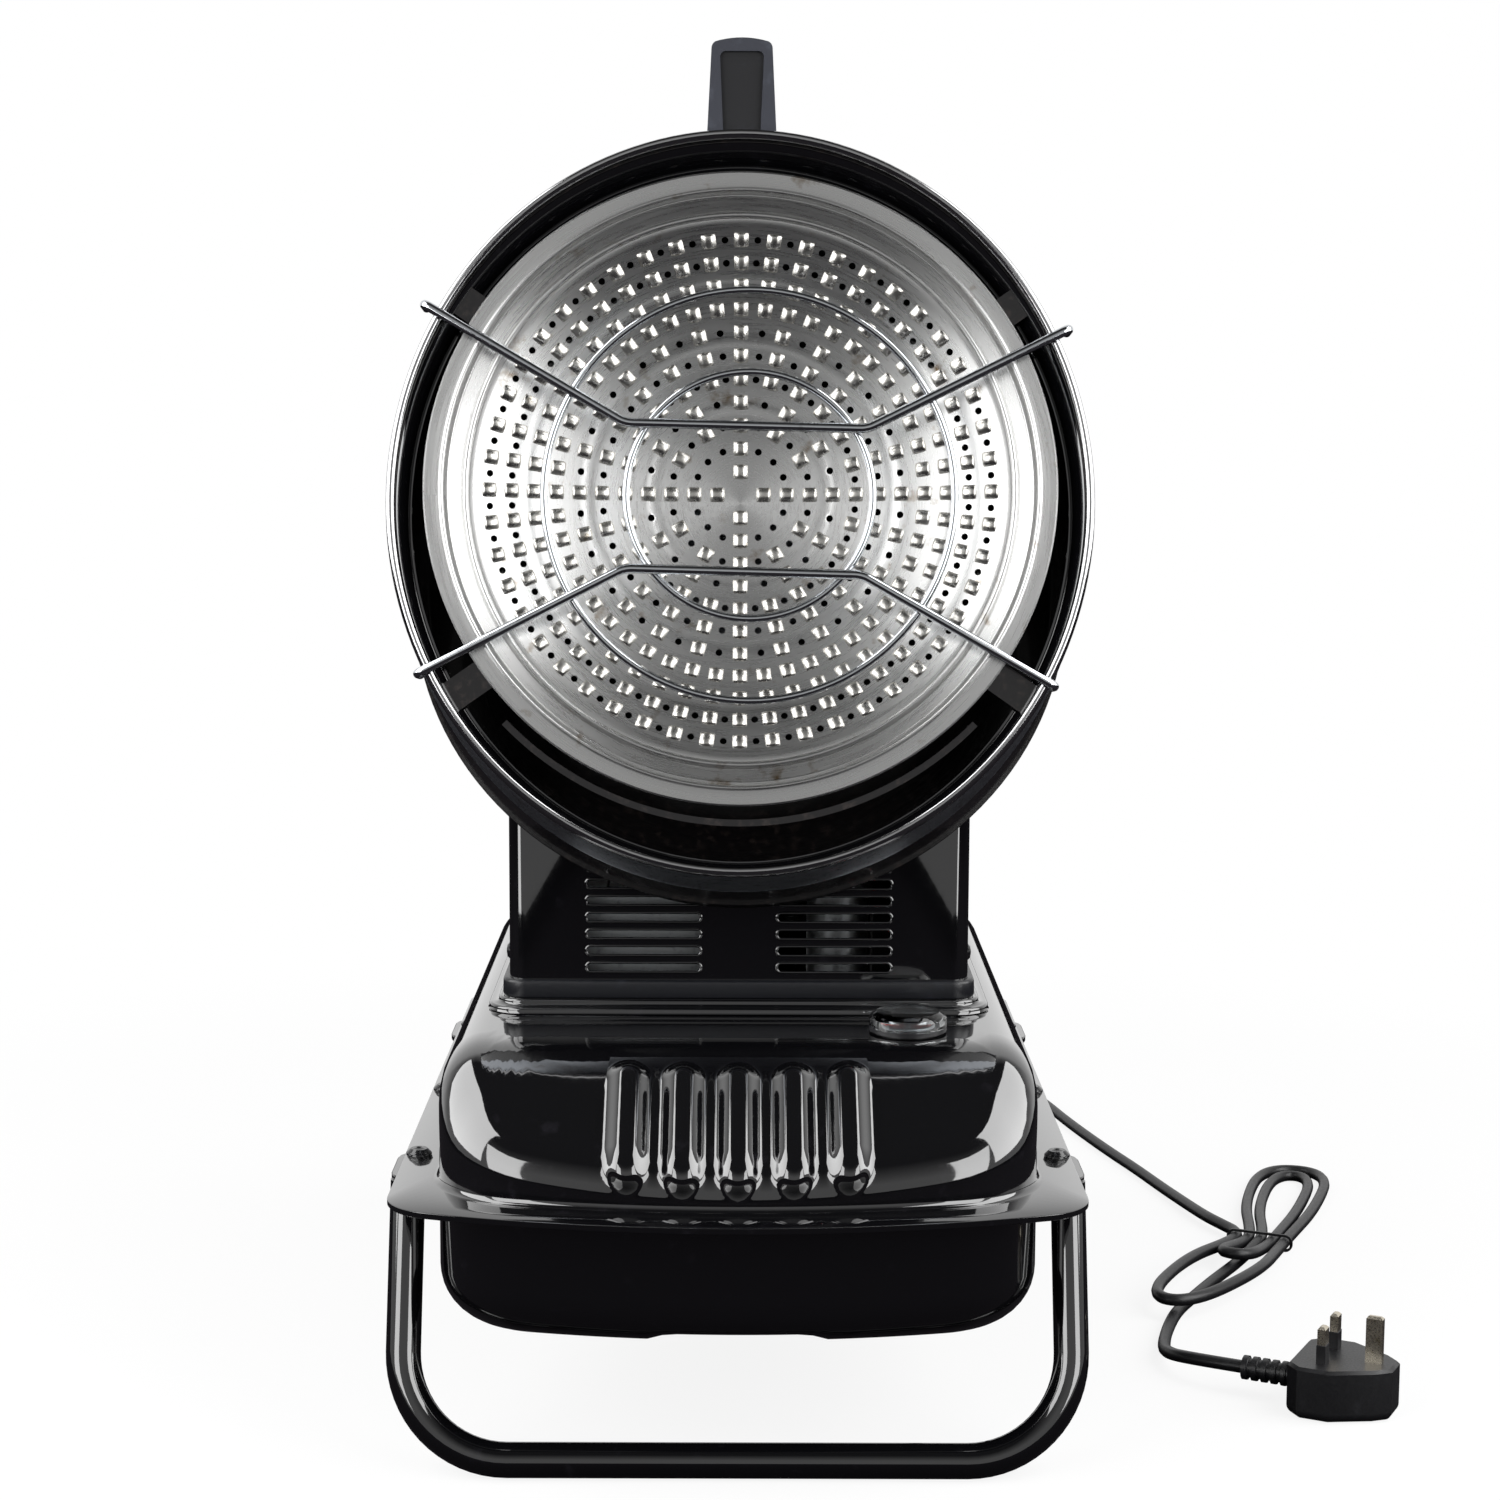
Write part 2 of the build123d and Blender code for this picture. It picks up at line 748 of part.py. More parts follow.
# Emitter plate: a turned rim, a holed disc and roof-shaped dimples that point at the centre.
disc_plane = rim_plane.offset(-emitter_disc_setback)
rim_section = Plane(origin=rim_plane.origin, x_dir=(1, 0, 0), z_dir=-rim_plane.y_dir)
dimple_row_total = 11
dimple_pitch = emitter_disc_radius / (dimple_row_total + 0.5)
dimple_rows = (
    (1, 4, ()),
    (2, 4, (22.5, 45.0, 67.5)),
    (3, 12, (15.0,)),
    (4, 12, (15.0,)),
    (5, 24, (7.5,)),
    (6, 24, (7.5,)),
    (7, 24, (7.5,)),
    (8, 48, ()),
    (9, 48, ()),
    (10, 48, (3.75,)),
    (11, 48, (3.75,)),
)
with BuildPart() as dimple:
    with BuildSketch(Plane.YZ):
        with BuildLine():
            Polyline(
                (-dimple_size / 2, 0), (dimple_size / 2, 0), (0, dimple_rise), (-dimple_size / 2, 0)
            )
        make_face()
    extrude(amount=dimple_size / 2, both=True)

with BuildPart() as emitter_plate:
    with BuildSketch(disc_plane.offset(-emitter_sheet)):
        Circle(emitter_disc_radius)
        for row, count, hole_angles in dimple_rows:
            for angle in hole_angles:
                with PolarLocations(row * dimple_pitch, count, 90 + angle):
                    Rectangle(2 * emitter_hole_radius, 2 * emitter_hole_radius, mode=Mode.SUBTRACT)
    extrude(amount=emitter_sheet)
    with BuildSketch(rim_section):
        with BuildLine():
            front = Polyline(
                (emitter_disc_radius, -emitter_disc_setback),
                (emitter_bead_inner, -emitter_disc_setback),
                (emitter_bead_top, emitter_bead_rise - emitter_disc_setback),
                (emitter_bead_outer, -emitter_disc_setback),
                (emitter_step_inner, -emitter_disc_setback),
                (emitter_step_outer, -emitter_edge_setback),
                (emitter_outer_radius, -emitter_edge_setback),
            )
            back = Polyline(
                (emitter_disc_radius, -emitter_disc_setback - emitter_sheet),
                (emitter_bead_inner, -emitter_disc_setback - emitter_sheet),
                (emitter_bead_top, emitter_bead_rise - emitter_disc_setback - emitter_sheet),
                (emitter_bead_outer, -emitter_disc_setback - emitter_sheet),
                (emitter_step_inner + emitter_sheet, -emitter_disc_setback - emitter_sheet),
                (emitter_step_outer + emitter_sheet, -emitter_edge_setback - emitter_sheet),
                (emitter_outer_radius, -emitter_edge_setback - emitter_sheet),
            )
            Line(front @ 0, back @ 0)
            Line(front @ 1, back @ 1)
        make_face()
    revolve(axis=Axis(rim_plane.origin, rim_plane.z_dir))
    for row, count, hole_angles in dimple_rows:
        places = [disc_plane.location * place for place in PolarLocations(row * dimple_pitch, count, 90)]
        add([place * dimple.part for place in places])
save(emitter_plate, "emitter_plate")

# Light band under the emitter, with blunt end tabs.
with BuildPart() as emitter_support_band:
    with BuildSketch(rim_plane.offset(-emitter_edge_setback - support_band_depth)):
        with BuildLine():
            band_start = 270 - support_band_half_angle
            band_sweep = 2 * support_band_half_angle
            inner = CenterArc((0, 0), support_band_inner, band_start, band_sweep)
            outer = CenterArc((0, 0), support_band_inner + support_band_thickness, band_start, band_sweep)
            Line(inner @ 0, outer @ 0)
            Line(inner @ 1, outer @ 1)
        make_face()
    extrude(amount=support_band_depth)
save(emitter_support_band, "emitter_support_band")

# Brackets from the emitter's edge to the drum's inside wall.
bracket_angles = [turn + side * bracket_half_angle for turn in (0, 180) for side in (-1, 1)]
bracket_reach = drum_radius * 2 - bracket_inner_radius
with BuildPart() as emitter_brackets:
    with BuildSketch(rim_plane.offset(-emitter_edge_setback - emitter_sheet - sheet)):
        for angle in bracket_angles:
            with PolarLocations(bracket_inner_radius + bracket_reach / 2, 1, angle):
                Rectangle(bracket_reach, bracket_width)
    extrude(amount=sheet)
    with BuildSketch(rear_plane):
        Circle(drum_radius - thin_sheet)
    extrude(amount=2 * drum_reach, mode=Mode.INTERSECT)
save(emitter_brackets, "emitter_brackets")

# Wire guard: hooked wires across the mouth with two rings welded behind them.
guard_height = guard_wire_radius + seat_gap
ring_height = guard_height - guard_wire_radius - guard_ring_wire_radius + guard_weld
with BuildPart() as wire_guard:
    for place_shares in guard_wire_shares:
        start, first, second, end = [(x * drum_radius, y * drum_radius) for x, y in place_shares]
        with BuildLine(rim_plane):
            FilletPolyline(
                (*start, guard_height - guard_hook_drop),
                (*start, guard_height),
                (*first, guard_height),
                (*second, guard_height),
                (*end, guard_height),
                (*end, guard_height - guard_hook_drop),
                radius=(guard_hook_bend, guard_wire_bend, guard_wire_bend, guard_hook_bend),
            )
        with BuildSketch(
            Plane(
                origin=rim_plane.from_local_coords((*start, guard_height - guard_hook_drop)),
                x_dir=(1, 0, 0),
                z_dir=rim_plane.z_dir,
            )
        ):
            RegularPolygon(guard_wire_radius, guard_wire_sides)
        sweep()
    for ring_radius in (guard_large_ring_share * drum_radius, guard_small_ring_share * drum_radius):
        with BuildSketch(rim_section):
            with Locations((guard_shift + ring_radius, ring_height)):
                RegularPolygon(guard_ring_wire_radius, guard_wire_sides, rotation=180 / guard_wire_sides)
        guard_axis = Axis(rim_plane.from_local_coords((guard_shift, 0, 0)), rim_plane.z_dir)
        revolve(axis=guard_axis)
save(wire_guard, "wire_guard")

# Handle: a moulded loop whose grip runs parallel to the top of the drum.
drum_top_y = drum_rear_y + drum_radius * sin_drum
drum_top_z = drum_rear_height + drum_radius * cos_drum


def drum_top_at(y):
    """Return the height of the drum's top line at a place along Y."""
    return drum_top_z + (drum_top_y - y) * tan_drum


with BuildPart() as band_room:
    with BuildSketch(rear_plane):
        Circle(drum_radius + band_thickness + seat_gap)
    extrude(amount=drum_reach)
    with BuildSketch(rim_plane.offset(-bead_depth - band_depth - seat_gap)):
        Rectangle(4 * drum_radius, 4 * drum_radius)
    extrude(amount=-2 * drum_reach, mode=Mode.SUBTRACT)

handle_top = drum_top_at(handle_front_y) + handle_rise
handle_axis_top = drum_radius + handle_rise * cos_drum
recess_base = drum_top_at(handle_front_y)
recess_places = (
    (-recess_foot_width / 2, recess_base),
    (recess_foot_width / 2, recess_base),
    (recess_top_width / 2, handle_top - panel_top_margin),
    (-recess_top_width / 2, handle_top - panel_top_margin),
)
with BuildPart() as handle:
    with BuildSketch(Plane.YZ.offset(-handle_foot_width)) as side:
        with BuildLine():
            Polyline(
                (handle_front_y, drum_top_at(handle_front_y) - 2 * overrun),
                (handle_front_y, handle_top),
                (handle_rear_y, handle_top - (handle_rear_y - handle_front_y) * tan_drum),
                (handle_rear_y, drum_top_at(handle_rear_y) - 2 * overrun),
                close=True,
            )
        make_face()
        fillet(side.vertices().group_by(Axis.X)[-1].sort_by(Axis.Y)[-1:], handle_rear_radius)
        with BuildLine():
            Polyline(
                (handle_front_y + handle_post, drum_top_at(handle_front_y + handle_post) - 4 * overrun),
                (
                    handle_front_y + handle_post,
                    handle_top - handle_post * tan_drum - handle_grip / cos_drum,
                ),
                (
                    handle_rear_y - handle_post,
                    handle_top
                    - (handle_rear_y - handle_post - handle_front_y) * tan_drum
                    - handle_grip / cos_drum,
                ),
                (handle_rear_y - handle_post, drum_top_at(handle_rear_y - handle_post) - 4 * overrun),
                close=True,
            )
        make_face(mode=Mode.SUBTRACT)
    extrude(amount=2 * handle_foot_width)
    with BuildSketch(rear_plane) as section:
        with BuildLine():
            crown = ThreePointArc(
                (-handle_width / 2, handle_axis_top - handle_crown),
                (0, handle_axis_top),
                (handle_width / 2, handle_axis_top - handle_crown),
            )
            Polyline(
                crown @ 1,
                (handle_foot_width / 2, drum_radius - 2 * overrun),
                (-handle_foot_width / 2, drum_radius - 2 * overrun),
                crown @ 0,
            )
        make_face()
        fillet(section.vertices().group_by(Axis.Y)[-1], handle_edge_radius)
    extrude(amount=2 * drum_reach, both=True, mode=Mode.INTERSECT)
    with BuildSketch(rear_plane):
        Circle(drum_radius + seat_gap)
    extrude(amount=2 * drum_reach, both=True, mode=Mode.SUBTRACT)
    add(band_room.part, mode=Mode.SUBTRACT)
    with BuildSketch(Plane.XZ.offset(-handle_front_y)) as recess:
        with BuildLine():
            Polyline(*recess_places, close=True)
        make_face()
        fillet(recess.vertices().group_by(Axis.Y)[-1], panel_corner)
    extrude(amount=-panel_depth, mode=Mode.SUBTRACT)
save(handle, "handle")

with BuildPart() as handle_front_panel:
    with BuildSketch(Plane.XZ.offset(-handle_front_y - panel_depth)):
        add(recess.sketch)
        offset(amount=-seat_gap)
    extrude(amount=panel_thickness)
    with BuildSketch(rear_plane):
        Circle(drum_radius + 2 * seat_gap)
    extrude(amount=2 * drum_reach, both=True, mode=Mode.SUBTRACT)
    add(band_room.part, mode=Mode.SUBTRACT)
save(handle_front_panel, "handle_front_panel")

# Small screws: heads on the housing's sides and, inside the drum, under the handle's posts.
housing_screw_places = [housing_screw_y + row * housing_screw_pitch for row in range(3)]
with BuildPart() as casing_screws:
    for side in (-1, 1):
        with BuildSketch(Plane.YZ.offset(side * housing_half_width)):
            with Locations(*((y, housing_screw_height) for y in housing_screw_places)):
                RegularPolygon(housing_screw_radius, screw_sides)
        extrude(amount=side * housing_screw_rise)
        outer_faces = casing_screws.faces().group_by(Axis.X)[-1 if side > 0 else 0]
        chamfer(outer_faces.edges(), housing_screw_rise / 2)
    for y in (handle_front_y + handle_post / 2, handle_rear_y - handle_post / 2):
        top_line = Plane(
            origin=(0, y, drum_top_at(y)), x_dir=(1, 0, 0), z_dir=(0, sin_drum, cos_drum)
        )
        with BuildSketch(top_line.offset(-thin_sheet - handle_screw_head_height - seat_gap)):
            RegularPolygon(handle_screw_head_radius, screw_sides)
        extrude(amount=handle_screw_head_height)
save(casing_screws, "casing_screws")

# Burner: a tube through the rear cover, with the nozzle, diffuser and electrodes inside.
inlet_plane = rear_plane.offset(-inlet_setback - inlet_depth / 2)
with BuildPart() as burner_tube:
    with BuildSketch(rear_plane.offset(-burner_tube_rear)):
        RegularPolygon(burner_tube_radius, turned_sides)
        RegularPolygon(burner_tube_radius - sheet, turned_sides, mode=Mode.SUBTRACT)
    extrude(amount=burner_tube_rear + burner_tube_front)
    with BuildSketch(inlet_plane.offset(-seat_gap)):
        with Locations((0, -burner_tube_radius)):
            Rectangle(inlet_width + 2 * seat_gap, 2 * overrun)
    extrude(amount=inlet_depth + 2 * seat_gap, mode=Mode.SUBTRACT)
save(burner_tube, "burner_tube")

with BuildPart() as burner_head:
    with BuildSketch(rear_plane.offset(-nozzle_rear)):
        RegularPolygon(nozzle_radius, turned_sides)
    extrude(amount=nozzle_rear + diffuser_setback)
    with BuildSketch(rear_plane.offset(diffuser_setback)):
        RegularPolygon(nozzle_tip_radius, turned_sides)
    extrude(amount=nozzle_front - diffuser_setback)
    with BuildSketch(inlet_plane):
        with Locations((0, -inlet_reach / 2)):
            Rectangle(inlet_width, inlet_reach)
    extrude(amount=inlet_depth)
save(burner_head, "burner_head")

electrode_places = [(side * electrode_spacing / 2, electrode_height) for side in (-1, 1)]
with BuildPart() as flame_diffuser:
    with BuildSketch(rear_plane.offset(diffuser_setback)):
        RegularPolygon(burner_tube_radius - sheet - seat_gap, turned_sides)
        RegularPolygon(nozzle_tip_radius + seat_gap, turned_sides, mode=Mode.SUBTRACT)
        with PolarLocations(diffuser_slot_radius, diffuser_slots):
            Rectangle(diffuser_slot_length, diffuser_slot_width, mode=Mode.SUBTRACT)
        with Locations(*electrode_places):
            RegularPolygon(electrode_radius + seat_gap, turned_sides, mode=Mode.SUBTRACT)
    extrude(amount=thin_sheet)
save(flame_diffuser, "flame_diffuser")

with BuildPart() as ignition_electrodes:
    with BuildSketch(rear_plane.offset(nozzle_front - electrode_length)):
        with Locations(*electrode_places):
            RegularPolygon(electrode_radius, turned_sides)
    extrude(amount=electrode_length)
    clamp_base = nozzle_radius + seat_gap
    clamp_height = electrode_height + electrode_radius - clamp_base
    with BuildSketch(rear_plane):
        with Locations((0, clamp_base + clamp_height / 2)):
            Rectangle(electrode_spacing + 4 * electrode_radius, clamp_height)
    extrude(amount=2 * electrode_radius)
save(ignition_electrodes, "ignition_electrodes")

# Blower: a drum-shaped shroud on the burner tube, with the fan on the motor's shaft.
shroud_rear = burner_tube_rear + shroud_length
with BuildPart() as fan_shroud:
    with BuildSketch(rear_plane.offset(-shroud_rear)):
        RegularPolygon(shroud_radius, turned_sides)
    extrude(amount=shroud_length)
    with BuildSketch(rear_plane.offset(sheet - shroud_rear)):
        RegularPolygon(shroud_radius - sheet, turned_sides)
    extrude(amount=shroud_length - 2 * sheet, mode=Mode.SUBTRACT)
    with BuildSketch(rear_plane.offset(-burner_tube_rear - 2 * overrun)):
        RegularPolygon(burner_tube_radius - sheet, turned_sides)
    extrude(amount=4 * overrun, mode=Mode.SUBTRACT)
    with BuildSketch(rear_plane.offset(-shroud_rear - overrun)):
        RegularPolygon(shroud_inlet_radius, turned_sides)
    extrude(amount=2 * overrun, mode=Mode.SUBTRACT)
save(fan_shroud, "fan_shroud")

fan_front = burner_tube_rear + sheet + fan_start
with BuildPart() as fan_wheel:
    with BuildSketch(rear_plane.offset(-fan_front - fan_plate)):
        RegularPolygon(fan_radius, turned_sides)
    extrude(amount=fan_plate)
    with BuildSketch(rear_plane.offset(-fan_front - fan_plate - fan_blade_width)):
        RegularPolygon(fan_hub_radius, turned_sides)
        with PolarLocations((fan_radius + fan_blade_inner) / 2, fan_blades):
            Rectangle(fan_radius - fan_blade_inner, fan_plate, rotation=fan_blade_angle)
    extrude(amount=fan_blade_width)
    with BuildSketch(rear_plane.offset(-fan_front - 2 * fan_blade_width)):
        Circle(shaft_radius + seat_gap)
    extrude(amount=4 * fan_blade_width, mode=Mode.SUBTRACT)
save(fan_wheel, "fan_wheel")

shaft_in_motor = 2 * motor_boss_radius
with BuildPart() as motor_shaft:
    with BuildSketch(rear_plane.offset(-motor_start - shaft_in_motor + moving_gap)):
        Circle(shaft_radius)
    extrude(amount=motor_start + shaft_in_motor - moving_gap - fan_front + moving_gap)
save(motor_shaft, "motor_shaft")

with BuildPart() as fan_motor:
    with BuildSketch(rear_plane.offset(-motor_start - motor_length)):
        RegularPolygon(motor_radius, turned_sides)
    extrude(amount=motor_length)
    with BuildSketch(rear_plane.offset(-motor_start)):
        RegularPolygon(motor_boss_radius, turned_sides)
    extrude(amount=motor_boss_radius / 2)
    with BuildSketch(rear_plane.offset(-motor_start - shaft_in_motor)):
        Circle(shaft_radius + running_gap)
    extrude(amount=2 * shaft_in_motor, mode=Mode.SUBTRACT)
save(fan_motor, "fan_motor")

post_radius = bracket_arm_width / 3
post_circle = shroud_inlet_radius + bracket_arm_width
with BuildPart() as motor_bracket:
    with BuildSketch(rear_plane.offset(-motor_start - post_radius)):
        RegularPolygon(post_circle + post_radius + bracket_rim, turned_sides)
        RegularPolygon(motor_radius + seat_gap, turned_sides, mode=Mode.SUBTRACT)
    extrude(amount=post_radius)
    with BuildSketch(rear_plane.offset(-motor_start)):
        with PolarLocations(post_circle, 3, 90):
            RegularPolygon(post_radius, turned_sides)
    extrude(amount=motor_start - shroud_rear)
save(motor_bracket, "motor_bracket")

pump_front = motor_start + motor_length
port_radius = pump_radius / 3
with BuildPart() as air_pump:
    with BuildSketch(rear_plane.offset(-pump_front - pump_length)):
        RegularPolygon(pump_radius, turned_sides)
    extrude(amount=pump_length)
    with BuildSketch(rear_plane.offset(-pump_front - pump_length - port_radius / 2)):
        RegularPolygon(port_radius, turned_sides)
    extrude(amount=port_radius / 2)
save(air_pump, "air_pump")

with BuildPart() as photocell:
    with BuildSketch(rear_plane.offset(-burner_tube_rear)):
        with Locations((photocell_x, -photocell_drop)):
            RegularPolygon(photocell_radius, turned_sides)
    extrude(amount=photocell_length)
save(photocell, "photocell")

# Machines on the tray.
with BuildPart() as ignition_transformer:
    with BuildSketch(Plane.XY.offset(housing_base)):
        with Locations((transformer_x, transformer_y)):
            Rectangle(transformer_width, transformer_depth)
    extrude(amount=transformer_height)
    with BuildSketch(Plane.XY.offset(housing_base + transformer_height - 2 * transformer_rib)):
        with Locations((transformer_x, transformer_y)):
            with GridLocations(transformer_width / transformer_rib_count, 0, transformer_rib_count, 1):
                Rectangle(transformer_rib, transformer_depth + overrun)
    extrude(amount=transformer_height, mode=Mode.SUBTRACT)
save(ignition_transformer, "ignition_transformer")

with BuildPart() as fuel_filter:
    with BuildSketch(Plane.XY.offset(housing_base)):
        with Locations((filter_x, filter_y)):
            RegularPolygon(filter_radius, turned_sides)
    extrude(amount=filter_height)
    with BuildSketch(Plane.XY.offset(housing_base + filter_height)):
        with Locations((filter_x, filter_y)):
            RegularPolygon(filter_radius + filter_cap_out, turned_sides)
    extrude(amount=filter_cap_height)
save(fuel_filter, "fuel_filter")

with BuildPart() as fuel_pickup:
    with BuildSketch(Plane.XY.offset(deck_height - pickup_depth)):
        with Locations((filter_x, filter_y)):
            RegularPolygon(pickup_radius, turned_sides)
    extrude(amount=housing_base - deck_height + pickup_depth)
save(fuel_pickup, "fuel_pickup")

with BuildPart() as tip_over_switch:
    with BuildSketch(Plane.XY.offset(housing_base)):
        with Locations((switch_box_x, switch_box_y)):
            Rectangle(switch_box, switch_box)
    extrude(amount=switch_box)
    chamfer(tip_over_switch.faces().sort_by(Axis.Z)[-1].edges(), sheet)
save(tip_over_switch, "tip_over_switch")

# Fuel and air lines, bent tubes that end square on the burner head's inlet block.
inlet_mouth = inlet_plane.offset(inlet_depth / 2)


def inlet_point(x, drop):
    """Return a place below the inlet block, drop being its distance from the block's face."""
    return inlet_mouth.from_local_coords((x, -inlet_reach - drop, 0))


def make_line(name, points, start_plane):
    """Sweep one small tube through the points."""
    with BuildPart() as line:
        with BuildLine():
            FilletPolyline(*points, radius=line_bend)
        with BuildSketch(start_plane):
            RegularPolygon(line_radius, line_sides)
        sweep()
    save(line, name)


line_offset = inlet_width / 4
filter_top = housing_base + filter_height + filter_cap_height
make_line(
    "fuel_line",
    (
        (filter_x, filter_y, filter_top),
        (filter_x, filter_y, filter_top + 3 * line_bend),
        inlet_point(line_offset, 3 * line_bend),
        inlet_point(line_offset, 0),
    ),
    Plane(origin=(filter_x, filter_y, filter_top), z_dir=(0, 0, 1)),
)
port_plane = rear_plane.offset(-pump_front - pump_length - port_radius / 2)
line_floor = housing_base + transformer_height + 2 * line_bend
make_line(
    "air_line",
    (
        port_plane.origin,
        port_plane.from_local_coords((0, 0, -2 * line_bend)),
        (air_line_x, port_plane.origin.Y, line_floor + 2 * line_bend),
        (air_line_x, air_line_y, line_floor),
        inlet_point(-line_offset, 3 * line_bend),
        inlet_point(-line_offset, 0),
    ),
    Plane(origin=port_plane.origin, x_dir=(1, 0, 0), z_dir=-port_plane.z_dir),
)

# Rear panel with openings for the intake, the controls and the cord's gland.
panel_face = housing_rear_y - rear_panel_inset
panel_back = panel_face - sheet
panel_block = housing_solid(thin_sheet + seat_gap, 2 * overrun)
with BuildPart() as rear_panel:
    add(panel_block)
    with BuildSketch(Plane.XZ.offset(-panel_back)):
        Rectangle(4 * housing_half_width, 4 * housing_top_height)
    extrude(amount=4 * housing_length, mode=Mode.SUBTRACT)
    with BuildSketch(Plane.XZ.offset(-panel_face)):
        Rectangle(4 * housing_half_width, 4 * housing_top_height)
    extrude(amount=-4 * housing_length, mode=Mode.SUBTRACT)
    with BuildSketch(Plane.XZ.offset(-panel_back + overrun)):
        with Locations((grille_x, grille_height)):
            Rectangle(grille_width - 2 * grille_margin, grille_tall - 2 * grille_margin)
        with Locations((display_x, display_height)):
            Rectangle(display_width - 4 * display_rise, display_tall - 2 * display_rise)
        with Locations((rocker_x, rocker_height)):
            Rectangle(bezel_width + 2 * seat_gap, bezel_tall + 2 * seat_gap)
        with Locations((knob_x, knob_height)):
            Circle(knob_shaft_radius + moving_gap)
        with Locations((lamp_x, rocker_height)):
            Circle(lamp_radius + seat_gap)
        with Locations((gland_x, gland_height)):
            Circle(gland_radius + seat_gap)
    extrude(amount=-3 * overrun, mode=Mode.SUBTRACT)
save(rear_panel, "rear_panel")

with BuildPart() as air_intake_grille:
    with BuildSketch(Plane.XZ.offset(-panel_face)):
        with Locations((grille_x, grille_height)):
            RectangleRounded(grille_width, grille_tall, grille_margin / 2)
            with GridLocations(grille_slot_pitch, 0, grille_slots, 1):
                Rectangle(grille_slot_width, grille_tall - 2 * grille_margin, mode=Mode.SUBTRACT)
    extrude(amount=-grille_thickness)
save(air_intake_grille, "air_intake_grille")

with BuildPart() as display_window:
    with BuildSketch(Plane.XZ.offset(-panel_face)):
        with Locations((display_x, display_height)):
            RectangleRounded(display_width, display_tall, display_rise)
    extrude(amount=-display_rise)
    with BuildSketch(Plane.XZ.offset(-panel_face)):
        with Locations((display_x, display_height)):
            Rectangle(
                display_width - 4 * display_rise - 2 * seat_gap,
                display_tall - 2 * display_rise - 2 * seat_gap,
            )
    extrude(amount=2 * display_rise)
save(display_window, "display_window")

with BuildPart() as control_board:
    with BuildSketch(Plane.XZ.offset(-panel_back + board_gap)):
        with Locations((board_x, board_base + board_height / 2)):
            Rectangle(board_width, board_height)
    extrude(amount=board_thickness)
    with BuildSketch(Plane.XZ.offset(-panel_back)):
        with Locations((board_x, board_base + board_height / 2)):
            with GridLocations(board_width - board_part, board_height - board_part, 2, 2):
                RegularPolygon(2 * board_thickness, turned_sides)
    extrude(amount=board_gap)
    with BuildSketch(Plane.XZ.offset(-panel_back + board_gap + board_thickness)):
        with Locations((board_x, board_base + board_height / 2)):
            with GridLocations(2 * board_part, 2 * board_part, 3, 2):
                Rectangle(board_part, board_part)
    extrude(amount=board_part_height)
save(control_board, "control_board")

with BuildPart() as thermostat:
    with BuildSketch(Plane.XZ.offset(-panel_back)):
        with Locations((knob_x, knob_height)):
            RegularPolygon(thermostat_radius, turned_sides)
    extrude(amount=thermostat_length)
    with BuildSketch(Plane.XZ.offset(-panel_back - overrun)):
        with Locations((knob_x, knob_height)):
            Circle(knob_shaft_radius + running_gap)
    extrude(amount=thermostat_length + overrun - sheet, mode=Mode.SUBTRACT)
save(thermostat, "thermostat")

knob_base = panel_face + knob_gap
with BuildPart() as thermostat_knob:
    with BuildSketch(Plane.XZ.offset(-knob_base)):
        with Locations((knob_x, knob_height)):
            RegularPolygon(knob_skirt_radius, turned_sides)
    extrude(amount=-knob_skirt)
    with BuildSketch(Plane.XZ.offset(-knob_base - knob_skirt)):
        with Locations((knob_x, knob_height)):
            RegularPolygon(knob_radius, turned_sides)
            with PolarLocations(knob_radius, knob_grooves):
                RegularPolygon(knob_groove_radius, grip_sides, mode=Mode.SUBTRACT)
    extrude(amount=-knob_length)
    with BuildSketch(Plane.XZ.offset(-knob_base)):
        with Locations((knob_x, knob_height)):
            Circle(knob_shaft_radius)
    extrude(amount=sheet + knob_gap + thermostat_length - 2 * sheet)
save(thermostat_knob, "thermostat_knob")

# Rocker switch: a bezel with a cavity, and a rocker that tips on two small pins.
pivot_y = panel_face - rocker_dip
with BuildPart() as switch_bezel:
    with BuildSketch(Plane.XZ.offset(-panel_face)):
        with Locations((rocker_x, rocker_height)):
            Rectangle(bezel_width + 2 * bezel_rise, bezel_tall + 2 * bezel_rise)
    extrude(amount=-bezel_rise)
    with BuildSketch(Plane.XZ.offset(-panel_face)):
        with Locations((rocker_x, rocker_height)):
            Rectangle(bezel_width, bezel_tall)
    extrude(amount=bezel_depth)
    with BuildSketch(Plane.XZ.offset(-panel_face - overrun)):
        with Locations((rocker_x, rocker_height)):
            Rectangle(rocker_width + 2 * moving_gap, 2 * (rocker_radius + moving_gap))
    extrude(amount=overrun + rocker_dip + rocker_radius + 2 * moving_gap, mode=Mode.SUBTRACT)
    with BuildSketch(Plane.YZ.offset(rocker_x - rocker_width / 2 - rocker_dip)):
        with Locations((pivot_y, rocker_height)):
            Circle(rocker_pin_radius + running_gap)
    extrude(amount=rocker_width + 2 * rocker_dip, mode=Mode.SUBTRACT)
save(switch_bezel, "switch_bezel")

